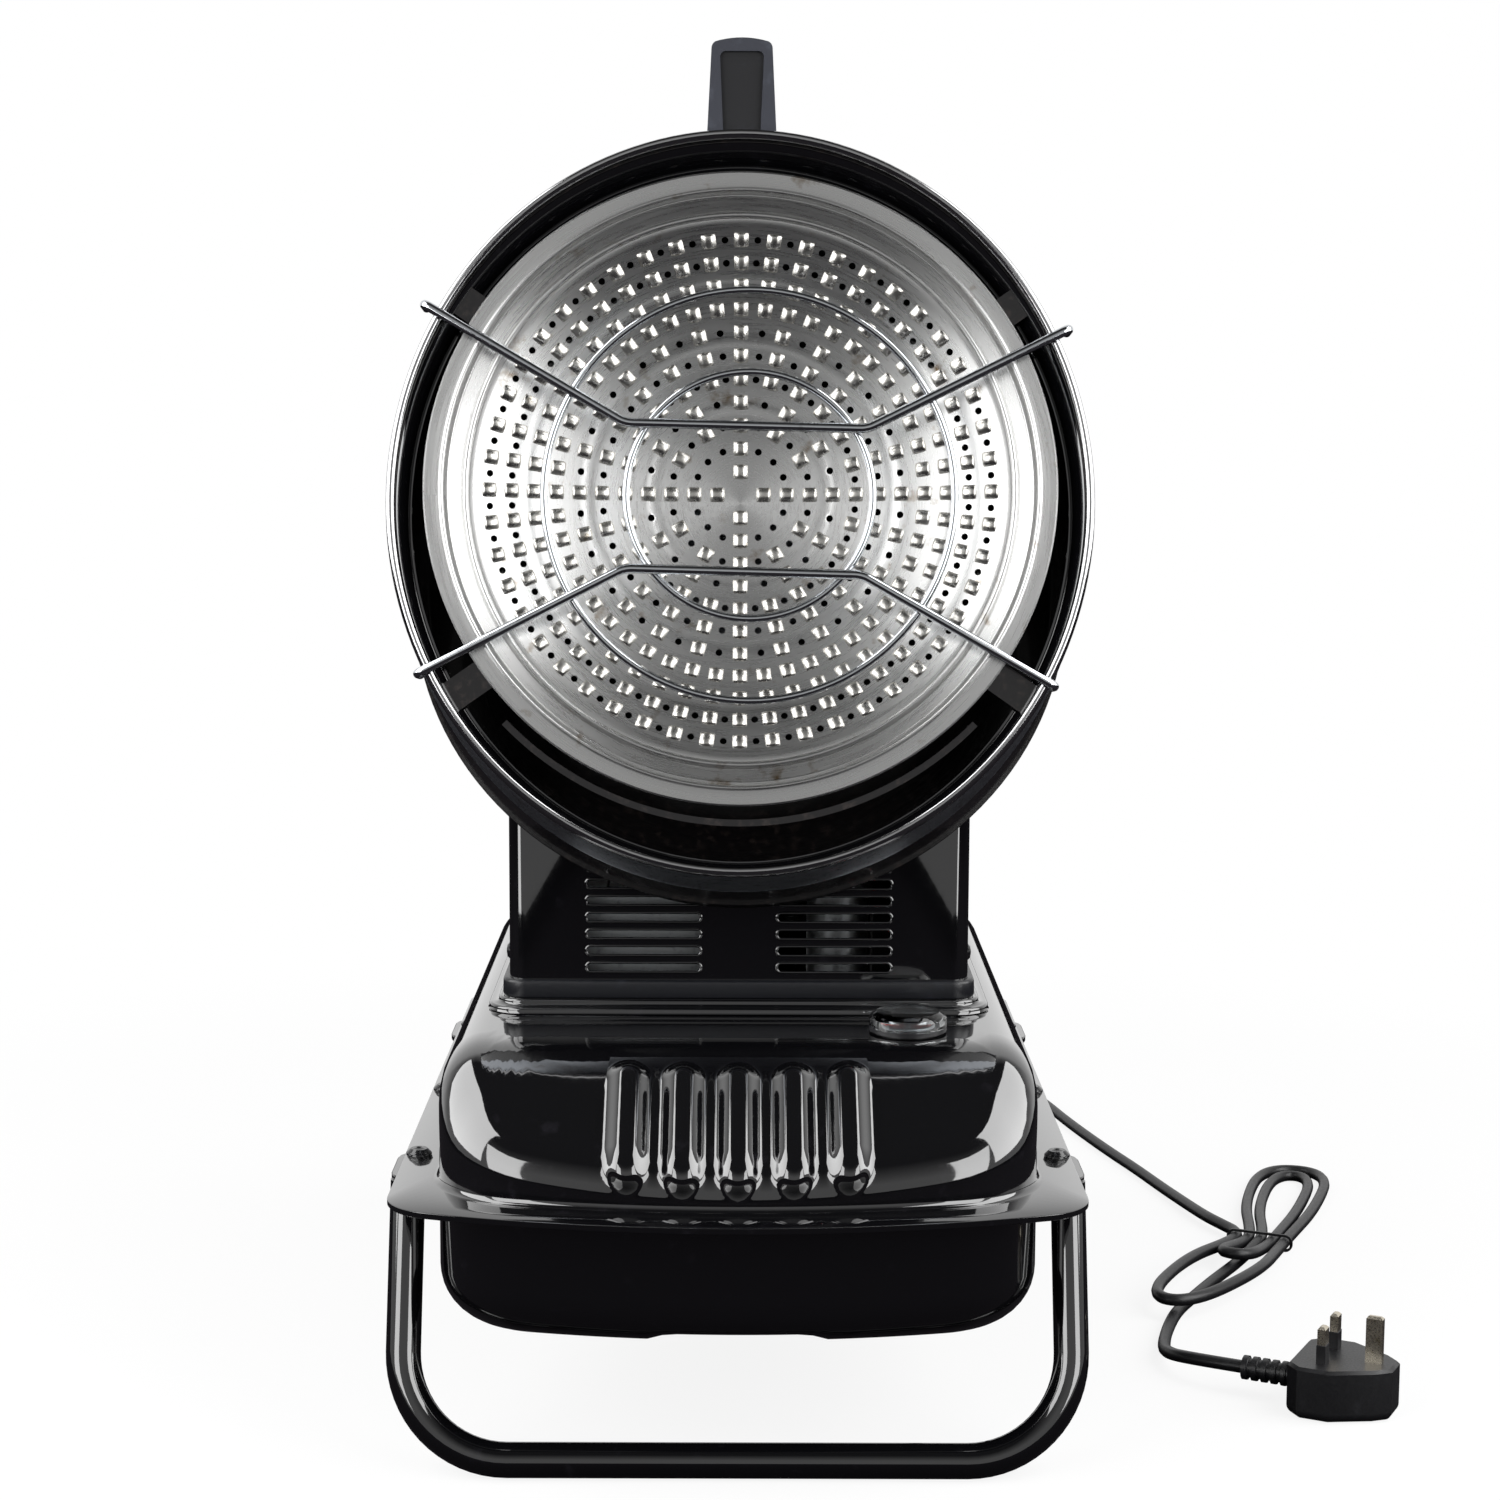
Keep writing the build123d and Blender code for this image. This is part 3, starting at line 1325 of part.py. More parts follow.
with BuildPart() as power_rocker:
    with BuildSketch(Plane.YZ.offset(rocker_x - rocker_width / 2)):
        with Locations((pivot_y, rocker_height)):
            Circle(rocker_radius)
        with BuildLine():
            Polyline(
                (pivot_y - rocker_radius, rocker_height - rocker_radius),
                (pivot_y + rocker_radius - rocker_dip, rocker_height - rocker_radius),
                (pivot_y + rocker_dip, rocker_height),
                (pivot_y + rocker_radius - rocker_dip, rocker_height + rocker_radius),
                (pivot_y - rocker_radius, rocker_height + rocker_radius),
                close=True,
            )
        make_face(mode=Mode.INTERSECT)
    extrude(amount=rocker_width)
    with BuildSketch(Plane.YZ.offset(rocker_x - rocker_width / 2 - rocker_dip + moving_gap)):
        with Locations((pivot_y, rocker_height)):
            Circle(rocker_pin_radius)
    extrude(amount=rocker_width + 2 * (rocker_dip - moving_gap))
rocker_axis = Axis((rocker_x, pivot_y, rocker_height), (1, 0, 0))
power_rocker.part = power_rocker.part.rotate(rocker_axis, -rocker_tilt)
save(power_rocker, "power_rocker")

with BuildPart() as indicator_lamp:
    with BuildSketch(Plane.XZ.offset(-panel_face)):
        with Locations((lamp_x, rocker_height)):
            RegularPolygon(lamp_flange_radius, turned_sides)
    extrude(amount=-lamp_flange)
    with BuildSketch(Plane.XZ.offset(-panel_face - lamp_flange)):
        with Locations((lamp_x, rocker_height)):
            RegularPolygon(lamp_radius, turned_sides)
    extrude(amount=-lamp_flange)
    with BuildSketch(Plane.XZ.offset(-panel_face)):
        with Locations((lamp_x, rocker_height)):
            RegularPolygon(lamp_radius, turned_sides)
    extrude(amount=lamp_length)
save(indicator_lamp, "indicator_lamp")

with BuildPart() as cable_gland:
    with BuildSketch(Plane.XZ.offset(-panel_face)):
        with Locations((gland_x, gland_height)):
            RegularPolygon(gland_nut_radius, 6)
    extrude(amount=-gland_nut)
    with BuildSketch(Plane.XZ.offset(-panel_back + gland_nut)):
        with Locations((gland_x, gland_height)):
            RegularPolygon(gland_radius, turned_sides)
    extrude(amount=-2 * gland_nut - sheet - gland_nose)
    with BuildSketch(Plane.XZ.offset(-panel_back)):
        with Locations((gland_x, gland_height)):
            RegularPolygon(gland_nut_radius, 6)
    extrude(amount=gland_nut / 2)
save(cable_gland, "cable_gland")

# Filler: a neck in the deck, a strainer that hangs in it and a cap that turns on it.
neck_top = deck_height + neck_rise
with BuildPart() as filler_neck:
    with BuildSketch(Plane.XY.offset(deck_height - neck_depth)):
        with Locations((filler_x, filler_y)):
            RegularPolygon(neck_radius, turned_sides)
            RegularPolygon(neck_radius - neck_wall, turned_sides, mode=Mode.SUBTRACT)
    extrude(amount=neck_rise + neck_depth)
save(filler_neck, "filler_neck")

strainer_radius = neck_radius - neck_wall - seat_gap
with BuildPart() as filler_strainer:
    with BuildSketch(Plane.XY.offset(neck_top - strainer_depth)):
        with Locations((filler_x, filler_y)):
            RegularPolygon(strainer_radius, turned_sides)
    extrude(amount=strainer_depth)
    with BuildSketch(Plane.XY.offset(neck_top)):
        with Locations((filler_x, filler_y)):
            RegularPolygon(neck_radius, turned_sides)
    extrude(amount=strainer_flange)
    with BuildSketch(Plane.XY.offset(neck_top - strainer_depth + strainer_wall)):
        with Locations((filler_x, filler_y)):
            RegularPolygon(strainer_radius - strainer_wall, turned_sides)
    extrude(amount=2 * strainer_depth, mode=Mode.SUBTRACT)
save(filler_strainer, "filler_strainer")

cap_base = deck_height + cap_skirt_gap
cap_inside_top = neck_top + strainer_flange + moving_gap
with BuildPart() as filler_cap:
    with BuildSketch(Plane.XY.offset(cap_base)):
        with Locations((filler_x, filler_y)):
            RegularPolygon(cap_radius, turned_sides)
            with PolarLocations(cap_radius, cap_grips):
                RegularPolygon(cap_grip_radius, grip_sides, mode=Mode.SUBTRACT)
    extrude(amount=cap_inside_top + cap_wall - cap_base)
    with BuildSketch(Plane.XY.offset(cap_base)):
        with Locations((filler_x, filler_y)):
            RegularPolygon(neck_radius + moving_gap, turned_sides)
    extrude(amount=cap_inside_top - cap_base, mode=Mode.SUBTRACT)
save(filler_cap, "filler_cap")

# Fuel gauge: a float on a guide tube turns the pointer under a clear bevelled lens.
gauge_top = deck_height + gauge_neck_rise + gauge_flange
with BuildPart() as fuel_gauge_body:
    with BuildSketch(Plane.XY.offset(deck_height)):
        with Locations((gauge_x, gauge_y)):
            RegularPolygon(gauge_neck_radius, turned_sides)
    extrude(amount=gauge_neck_rise)
    with BuildSketch(Plane.XY.offset(deck_height + gauge_neck_rise)):
        with Locations((gauge_x, gauge_y)):
            RegularPolygon(gauge_flange_radius, turned_sides)
    extrude(amount=gauge_flange)
    with BuildSketch(Plane.XY.offset(guide_bottom)):
        with Locations((gauge_x, gauge_y)):
            Circle(guide_radius)
    extrude(amount=deck_height - guide_bottom)
    with BuildSketch(Plane.XY.offset(guide_bottom)):
        with Locations((gauge_x, gauge_y)):
            RegularPolygon(float_stop_radius, turned_sides)
    extrude(amount=float_stop)
    with BuildSketch(Plane.XY.offset(guide_bottom + 2 * float_stop)):
        with Locations((gauge_x, gauge_y)):
            Circle(stem_radius + running_gap)
    extrude(amount=2 * deck_height, mode=Mode.SUBTRACT)
save(fuel_gauge_body, "fuel_gauge_body")

with BuildPart() as gauge_lens:
    with BuildSketch(Plane.XY.offset(gauge_top)):
        with Locations((gauge_x, gauge_y)):
            RegularPolygon(lens_radius, turned_sides)
    extrude(amount=lens_height)
    chamfer(gauge_lens.faces().sort_by(Axis.Z)[-1].edges(), lens_bevel)
    with BuildSketch(Plane.XY.offset(gauge_top)):
        with Locations((gauge_x, gauge_y)):
            RegularPolygon(lens_radius - 2 * lens_wall, turned_sides)
    extrude(amount=lens_height - 2 * lens_wall, mode=Mode.SUBTRACT)
save(gauge_lens, "gauge_lens")

with BuildPart() as gauge_pointer:
    with BuildSketch(Plane.XY.offset(gauge_top + moving_gap)):
        with Locations((gauge_x, gauge_y)):
            SlotOverall(2 * pointer_radius, pointer_width)
    extrude(amount=pointer_thickness)
    with BuildSketch(Plane.XY.offset(guide_bottom + 2 * float_stop + moving_gap)):
        with Locations((gauge_x, gauge_y)):
            Circle(stem_radius)
    extrude(amount=gauge_top - guide_bottom - 2 * float_stop)
save(gauge_pointer, "gauge_pointer")

float_base = guide_bottom + float_stop + seat_gap
with BuildPart() as gauge_float:
    with BuildSketch(Plane.XY.offset(float_base)):
        with Locations((gauge_x, gauge_y)):
            RegularPolygon(float_radius, turned_sides)
            Circle(guide_radius + running_gap, mode=Mode.SUBTRACT)
    extrude(amount=float_height)
save(gauge_float, "gauge_float")

drain_seat = pan_bottom + drain_well
with BuildPart() as drain_plug:
    with BuildSketch(Plane.XY.offset(drain_seat - drain_washer)):
        with Locations((drain_x, drain_y)):
            RegularPolygon(drain_washer_radius, turned_sides)
    extrude(amount=drain_washer)
    with BuildSketch(Plane.XY.offset(drain_seat - drain_washer - drain_head)):
        with Locations((drain_x, drain_y)):
            RegularPolygon(drain_head_radius, 6)
    extrude(amount=drain_head)
    with BuildSketch(Plane.XY.offset(drain_seat)):
        with Locations((drain_x, drain_y)):
            RegularPolygon(drain_thread_radius, turned_sides)
    extrude(amount=sheet + drain_head)
save(drain_plug, "drain_plug")

# Plug: a rounded moulding on its back, with its pins up and a ribbed strain relief.
plug_plane = Plane(Location((plug_x, plug_y, 0), (0, 0, plug_turn)))
plug_outline = (
    (-plug_back, plug_shoulder - plug_edge_radius - sheet),
    (-plug_back + plug_edge_radius + sheet, plug_shoulder),
    (plug_nose - plug_edge_radius, plug_shoulder),
    (plug_front - plug_edge_radius - sheet, plug_nose + sheet),
    (plug_front, plug_nose - plug_edge_radius),
)
relief_plane = Plane(
    origin=plug_plane.from_local_coords((-plug_back, 0, relief_height)),
    x_dir=(0, 0, 1),
    z_dir=-plug_plane.x_dir,
)
with BuildPart() as plug_body:
    with BuildSketch(plug_plane):
        with BuildLine():
            Polyline(*plug_outline, *((x, -y) for x, y in reversed(plug_outline)), close=True)
        make_face()
    extrude(amount=plug_height)
    fillet(plug_body.faces().sort_by(Axis.Z)[0].edges(), plug_edge_radius)
    chamfer(plug_body.faces().sort_by(Axis.Z)[-1].edges(), sheet)
    with BuildSketch(relief_plane):
        RegularPolygon(relief_core_radius, screw_sides)
    extrude(amount=relief_length)
    rib_step = (relief_length - relief_rib_length) / (relief_ribs - 1)
    for rib in range(relief_ribs):
        with BuildSketch(relief_plane.offset(rib * rib_step)):
            RegularPolygon(relief_radius, screw_sides)
        extrude(amount=relief_rib_length)
    with BuildSketch(plug_plane.offset(plug_height - pin_root)):
        with Locations((0, live_pin_half_spacing), (0, -live_pin_half_spacing)):
            Rectangle(live_pin_thickness, live_pin_width)
        with Locations((plug_pin_spacing, 0)):
            Rectangle(earth_pin_thickness, earth_pin_width)
    extrude(amount=2 * pin_root, mode=Mode.SUBTRACT)
save(plug_body, "plug_body")

with BuildPart() as plug_pins:
    with BuildSketch(plug_plane.offset(plug_height - pin_root)):
        with Locations((0, live_pin_half_spacing), (0, -live_pin_half_spacing)):
            Rectangle(live_pin_thickness, live_pin_width)
    extrude(amount=pin_root + live_pin_length)
    with BuildSketch(plug_plane.offset(plug_height - pin_root)):
        with Locations((plug_pin_spacing, 0)):
            Rectangle(earth_pin_thickness, earth_pin_width)
    extrude(amount=pin_root + earth_pin_length)
    chamfer(plug_pins.faces().filter_by(Axis.Z).sort_by(Axis.Z)[-3:].edges(), thin_sheet)
save(plug_pins, "plug_pins")


# Cord route. Each arc is as large as its two runs allow.
def cord_tube(name, points):
    """Sweep the cord's tube through the points, print its radii and return its path."""
    corners = [Vector(*point) for point in points]
    radii = []
    for before, corner, after in zip(corners, corners[1:], corners[2:]):
        half_turn = math.radians((corner - before).get_angle(after - corner) / 2)
        shorter = min((corner - before).length, (after - corner).length)
        radii.append(cord_arc_share * shorter / math.tan(half_turn))
    with BuildPart() as tube:
        with BuildLine() as route:
            FilletPolyline(*corners, radius=radii)
        with BuildSketch(Plane(origin=corners[0], z_dir=corners[1] - corners[0])):
            RegularPolygon(cord_radius, cord_sides)
        sweep()
    path = route.wire()
    print(name, "length", round(path.length, 1), "least radius", round(min(radii), 1))
    print(name, "radii", [round(radius) for radius in radii])
    section = cord_sides / 2 * cord_radius**2 * math.sin(2 * math.pi / cord_sides)
    print(name, "volume over section times length", tube.part.volume / (path.length * section))
    save(tube, name)
    return path


def loop_point(along, across, height):
    """Return a place on the tied loops, from its distance along and across the hank."""
    angle = math.radians(far_axis_angle if along >= 0 else near_axis_angle)
    return (
        waist[0] + along * math.cos(angle) + across * math.sin(angle),
        waist[1] + along * math.sin(angle) - across * math.cos(angle),
        height,
    )


strand = 2 * cord_radius + loop_gap
half = waist_half_length
far_long, far_short = far_loop_lengths
far_wide, far_narrow = far_loop_half_widths
entry = (loops_entry, -2 * strand - loops_entry / 2)
loop_places = (
    (*entry, waist_lift),
    (half, -2 * strand, waist_lift),
    (-half, -2 * strand, waist_lift),
    (-near_loop_length / 2, near_loop_left, near_loop_lift),
    (-near_loop_length, near_loop_end_left, near_loop_lift),
    (-near_loop_length, near_loop_end_right, near_loop_lift),
    (-near_loop_length / 2, near_loop_right, near_loop_lift),
    (-half, 2 * strand, waist_lift),
    (half, 2 * strand, waist_lift),
    (far_long / 2, far_wide, cord_floor),
    (far_long, far_wide, cord_floor),
    (far_long, -far_wide, cord_floor),
    (far_long / 2, -far_wide, cord_floor),
    (half, -strand, waist_lift),
    (-half, -strand, waist_lift),
    (-small_loop_length, -small_loop_half_width, near_loop_lift),
    (-small_loop_length, small_loop_half_width, near_loop_lift),
    (-half, strand, waist_lift),
    (half, strand, waist_lift),
    (far_short / 2, far_narrow, cord_floor),
    (far_short, far_narrow, cord_floor),
    (far_short, -far_narrow, cord_floor),
    (far_short / 2, -far_narrow, cord_floor),
    (half, 0, waist_lift),
    (-half, 0, waist_lift),
    (-half - loops_entry, 0, cord_floor),
    (loops_exit, 0, cord_floor),
)
loops_path = cord_tube("cord_loops", [loop_point(*place) for place in loop_places])

# Least gap of the loops to themselves, measured on points along the path.
samples = [loops_path @ (i / cord_samples) for i in range(cord_samples + 1)]
sample_step = loops_path.length / cord_samples
skip = math.ceil(4 * cord_radius / sample_step)
least = min(
    (samples[i] - samples[j]).length for i in range(len(samples)) for j in range(i + skip, len(samples))
)
print("least gap between loops", round(least - 2 * cord_radius, 2))

# The run leaves the gland, drops behind the tank, turns on the floor and comes forward to the loops.
gland_end = panel_face + gland_nut + gland_nose
run_end = loop_point(*entry, waist_lift)
run_lead = loop_point(2 * loops_entry - half, -2 * strand - loops_entry, waist_lift)
cord_run_points = (
    (gland_x, gland_end, gland_height),
    (78.0, 198.0, 222.0),
    (80.0, 228.0, 212.0),
    (84.0, 254.0, 190.0),
    (90.0, 274.0, 158.0),
    (96.0, 288.0, 120.0),
    (102.0, 300.0, 82.0),
    (108.0, 316.0, 46.0),
    (113.0, 342.0, 18.0),
    (116.0, 376.0, 5.0),
    (117.0, 412.0, cord_floor),
    (118.0, 450.0, cord_floor),
    (124.0, 488.0, cord_floor),
    (144.0, 516.0, cord_floor),
    (174.0, 518.0, cord_floor),
    (197.0, 496.0, cord_floor),
    (208.0, 460.0, cord_floor),
    (216.0, 420.0, cord_floor),
    (226.0, 378.0, cord_floor),
    (237.0, 336.0, cord_floor),
    (248.0, 298.0, cord_floor),
    (257.0, 262.0, cord_floor),
    (265.0, 228.0, 4.2),
    run_lead,
    run_end,
)
cord_tube("cord_run", cord_run_points)

# The tail runs from the loops to the plug's strain relief.
relief_end = plug_plane.from_local_coords((-plug_back - relief_length, 0, relief_height))
relief_lead = plug_plane.from_local_coords((-plug_back - relief_length - relief_lead_run, 0, relief_height))
cord_tail_points = (
    loop_point(loops_exit, 0, cord_floor),
    loop_point(loops_exit - loops_lead_run, 0, cord_floor),
    (244.0, 48.0, cord_floor),
    (232.0, 25.0, cord_floor),
    (224.0, 0.0, cord_floor),
    (218.0, -25.0, 3.8),
    (215.0, -50.0, 7.0),
    tuple(relief_lead),
    tuple(relief_end),
)
cord_tube("cord_tail", cord_tail_points)

# Wire tie round the waist of the loops.
tie_half_width = 2 * strand + cord_radius + tie_gap + tie_wire_radius
tie_half_height = cord_radius + tie_gap + tie_wire_radius
tie_angle = math.radians((far_axis_angle + near_axis_angle) / 2)
tie_centre = (Vector(*loop_point(half, 0, waist_lift)) + Vector(*loop_point(-half, 0, waist_lift))) / 2
tie_plane = Plane(
    origin=tie_centre,
    x_dir=(math.sin(tie_angle), -math.cos(tie_angle), 0),
    z_dir=(-math.cos(tie_angle), -math.sin(tie_angle), 0),
)
with BuildPart() as cord_tie:
    with BuildSketch(tie_plane.offset(-tie_wire_radius)):
        RectangleRounded(
            2 * (tie_half_width + tie_wire_radius), 2 * (tie_half_height + tie_wire_radius), tie_half_height
        )
        RectangleRounded(
            2 * (tie_half_width - tie_wire_radius),
            2 * (tie_half_height - tie_wire_radius),
            tie_half_height - 2 * tie_wire_radius,
            mode=Mode.SUBTRACT,
        )
    extrude(amount=2 * tie_wire_radius)
save(cord_tie, "cord_tie")
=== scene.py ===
"""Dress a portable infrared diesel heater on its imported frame, with its camera, cord, floor and lights."""

from __future__ import annotations

import json
import logging
import math
from dataclasses import dataclass
from enum import Enum
from typing import Sequence

import bmesh
import bpy
from mathutils import Euler, Matrix, Vector

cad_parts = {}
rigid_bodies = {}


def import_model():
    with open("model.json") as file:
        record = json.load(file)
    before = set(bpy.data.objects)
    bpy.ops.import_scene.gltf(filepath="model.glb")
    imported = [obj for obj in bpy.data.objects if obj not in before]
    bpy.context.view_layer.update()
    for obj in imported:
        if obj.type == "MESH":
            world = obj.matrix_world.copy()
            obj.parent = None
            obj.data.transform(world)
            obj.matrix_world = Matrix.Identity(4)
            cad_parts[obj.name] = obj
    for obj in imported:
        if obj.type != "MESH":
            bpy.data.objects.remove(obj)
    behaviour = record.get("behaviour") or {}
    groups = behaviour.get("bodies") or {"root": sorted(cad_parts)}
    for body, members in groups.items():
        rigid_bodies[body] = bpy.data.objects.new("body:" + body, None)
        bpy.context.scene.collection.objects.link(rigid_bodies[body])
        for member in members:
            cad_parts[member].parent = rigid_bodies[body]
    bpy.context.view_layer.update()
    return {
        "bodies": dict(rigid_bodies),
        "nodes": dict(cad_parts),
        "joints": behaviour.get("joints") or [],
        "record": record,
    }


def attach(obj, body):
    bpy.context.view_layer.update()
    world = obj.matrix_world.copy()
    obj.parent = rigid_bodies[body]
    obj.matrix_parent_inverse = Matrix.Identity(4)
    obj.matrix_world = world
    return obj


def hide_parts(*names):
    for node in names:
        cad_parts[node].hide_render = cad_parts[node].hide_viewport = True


log = logging.getLogger("heater")

MM = 0.001
BASE = "base"
Row = list[Vector]


# Helpers for meshes


def add_object(name: str, data: bpy.types.ID) -> bpy.types.Object:
    """Add an object that holds some data to the scene and return it."""
    piece = bpy.data.objects.new(name, data)
    bpy.context.scene.collection.objects.link(piece)
    return piece


def millimetres(x: float, y: float, z: float) -> Vector:
    """Return a place given in millimetres as a vector in metres."""
    return Vector((x * MM, y * MM, z * MM))


class Shape:
    """Collects faces, with places in metres, and turns them into one mesh object."""

    def __init__(self) -> None:
        """Start with no faces."""
        self.faces = bmesh.new()

    def loft(self, rows: Sequence[Row], along: bool = False, around: bool = True, caps: bool = False) -> None:
        """Join rows of places by faces.

        Args:
            rows: rows with the same number of places each.
            along: join the last row to the first.
            around: join the last place of each row to its first.
            caps: close the first and the last row with a flat face.
        """
        made = [[self.faces.verts.new(place) for place in row] for row in rows]
        count = len(rows[0])
        for i in range(len(made) if along else len(made) - 1):
            near, far = made[i], made[(i + 1) % len(made)]
            for j in range(count if around else count - 1):
                k = (j + 1) % count
                self.faces.faces.new((near[j], near[k], far[k], far[j]))
        if caps:
            self.faces.faces.new(made[0])
            self.faces.faces.new(list(reversed(made[-1])))

    def finish(self, name: str, sharp_degrees: float = 35.0) -> bpy.types.Object:
        """Merge doubles, turn the faces outwards and return the object.

        Args:
            name: the piece's name.
            sharp_degrees: edges that turn more than this stay sharp.

        Returns:
            The new object, linked to the scene.
        """
        bmesh.ops.remove_doubles(self.faces, verts=self.faces.verts, dist=1e-6)
        bmesh.ops.dissolve_degenerate(self.faces, edges=self.faces.edges, dist=1e-7)
        bmesh.ops.recalc_face_normals(self.faces, faces=self.faces.faces)
        mesh = bpy.data.meshes.new(name)
        self.faces.to_mesh(mesh)
        self.faces.free()
        mesh.shade_smooth()
        mesh.set_sharp_from_angle(angle=math.radians(sharp_degrees))
        return add_object(name, mesh)


def lofted(
    rows: Sequence[Row],
    name: str,
    sharp_degrees: float = 35.0,
    along: bool = False,
    around: bool = True,
    caps: bool = False,
) -> bpy.types.Object:
    """Return one new piece made of a single loft.

    Args:
        rows: rows with the same number of places each.
        name: the piece's name.
        sharp_degrees: edges that turn more than this stay sharp.
        along: join the last row to the first.
        around: join the last place of each row to its first.
        caps: close the first and the last row with a flat face.

    Returns:
        The new object, linked to the scene.
    """
    shape = Shape()
    shape.loft(rows, along, around, caps)
    return shape.finish(name, sharp_degrees)


def rounded_path(corners: Sequence[Vector], radii: Sequence[float], steps: int = 8) -> Row:
    """Return a rigid path through corners, with an arc at each inner corner.

    Args:
        corners: the path's corners.
        radii: the arc's radius at each inner corner.
        steps: the number of runs in each arc.

    Returns:
        The path's places.
    """
    path = [corners[0]]
    for before, corner, after, radius in zip(corners, corners[1:], corners[2:], radii):
        come = (corner - before).normalized()
        leave = (after - corner).normalized()
        turn = come.angle(leave)
        start = corner - come * radius * math.tan(turn / 2)
        inward = (leave - come * come.dot(leave)).normalized()
        for step in range(steps + 1):
            angle = turn * step / steps
            path.append(
                start + inward * radius * (1 - math.cos(angle)) + come * radius * math.sin(angle)
            )
    path.append(corners[-1])
    return path


def tube_rows(path: Row, radius: float, sides: int = 16, closed: bool = False) -> list[Row]:
    """Return the rows of a round tube along a path.

    Args:
        path: the places that the tube's middle follows.
        radius: the tube's radius.
        sides: the number of places round the tube.
        closed: the path is a ring.

    Returns:
        One row of places for each place of the path.
    """
    rows = []
    count = len(path)
    side = None
    for i, place in enumerate(path):
        before = path[i - 1] if i or closed else place
        after = path[(i + 1) % count] if i + 1 < count or closed else place
        way = (after - before).normalized()
        if side is None:
            side = way.orthogonal()
        side = (side - way * side.dot(way)).normalized()
        other = way.cross(side)
        rows.append(
            [
                place + side * radius * math.cos(turn) + other * radius * math.sin(turn)
                for turn in (2 * math.pi * j / sides for j in range(sides))
            ]
        )
    return rows


def turned_rows(profile: Sequence[tuple[float, float]], frame: Matrix, sides: int) -> list[Row]:
    """Return the rows of a profile turned about the Z axis of a frame.

    Args:
        profile: places as (distance from the axis, height along it), in millimetres.
        frame: the place and turn of the axis, in metres.
        sides: the number of places round the axis.

    Returns:
        One row of places for each place of the profile.
    """
    rows = []
    for radius, height in profile:
        row = []
        for j in range(sides):
            turn = 2 * math.pi * j / sides
            place = millimetres(radius * math.cos(turn), radius * math.sin(turn), height)
            row.append(frame @ place)
        rows.append(row)
    return rows


def arc(
    centre: tuple[float, float], radius: float, start: float, end: float, steps: int = 6
) -> list[tuple[float, float]]:
    """Return places on an arc of a profile, with angles in degrees from the first axis."""
    turns = [math.radians(start + (end - start) * i / steps) for i in range(steps + 1)]
    return [(centre[0] + radius * math.cos(t), centre[1] + radius * math.sin(t)) for t in turns]


def apply_modifiers(piece: bpy.types.Object) -> bpy.types.Object:
    """Turn a piece with live modifiers into a plain mesh and return it."""
    graph = bpy.context.evaluated_depsgraph_get()
    mesh = bpy.data.meshes.new_from_object(piece.evaluated_get(graph))
    piece.modifiers.clear()
    piece.data = mesh
    return piece


def cut(piece: bpy.types.Object, cutter: bpy.types.Object) -> bpy.types.Object:
    """Take the cutter's closed shape away from a piece, remove the cutter and return the piece."""
    tool = piece.modifiers.new("cut", "BOOLEAN")
    tool.operation = "DIFFERENCE"
    tool.solver = "MANIFOLD"
    tool.object = cutter
    apply_modifiers(piece)
    bpy.data.objects.remove(cutter)
    return piece


# Helpers for node trees


def add_node(
    tree: bpy.types.NodeTree, kind: str, inputs: dict | None = None, **settings: object
) -> bpy.types.Node:
    """Add a node with its settings, values and links.

    Args:
        tree: the tree that gets the node.
        kind: the node's type.
        inputs: a value, or a socket to link, for each input by name or number.
        settings: the node's own properties.

    Returns:
        The new node.
    """
    node = tree.nodes.new(kind)
    for name, value in settings.items():
        setattr(node, name, value)
    for key, value in (inputs or {}).items():
        if isinstance(value, bpy.types.NodeSocket):
            tree.links.new(value, node.inputs[key])
        else:
            node.inputs[key].default_value = value
    return node


def build_copies_tree() -> bpy.types.NodeTree:
    """Build the tree that sets a copy of one piece on each place of a mesh."""
    tree = bpy.data.node_groups.new("copies_on_places", "GeometryNodeTree")
    tree.interface.new_socket("Places", in_out="INPUT", socket_type="NodeSocketGeometry")
    tree.interface.new_socket("Piece", in_out="INPUT", socket_type="NodeSocketObject")
    tree.interface.new_socket("Size", in_out="INPUT", socket_type="NodeSocketFloat")
    tree.interface.new_socket("Finish", in_out="INPUT", socket_type="NodeSocketMaterial")
    tree.interface.new_socket("Copies", in_out="OUTPUT", socket_type="NodeSocketGeometry")
    given = add_node(tree, "NodeGroupInput").outputs
    piece = add_node(tree, "GeometryNodeObjectInfo", {"Object": given["Piece"]})
    turn = add_node(
        tree, "GeometryNodeInputNamedAttribute", {"Name": "turn"}, data_type="FLOAT_VECTOR"
    )
    rotation = add_node(tree, "FunctionNodeEulerToRotation", {0: turn.outputs["Attribute"]})
    copies = add_node(
        tree,
        "GeometryNodeInstanceOnPoints",
        {
            "Points": given["Places"],
            "Instance": piece.outputs["Geometry"],
            "Rotation": rotation.outputs[0],
            "Scale": given["Size"],
        },
    )
    real = add_node(tree, "GeometryNodeRealizeInstances", {0: copies.outputs[0]})
    dressed = add_node(
        tree, "GeometryNodeSetMaterial", {"Geometry": real.outputs[0], "Material": given["Finish"]}
    )
    add_node(tree, "NodeGroupOutput", {"Copies": dressed.outputs[0]})
    return tree


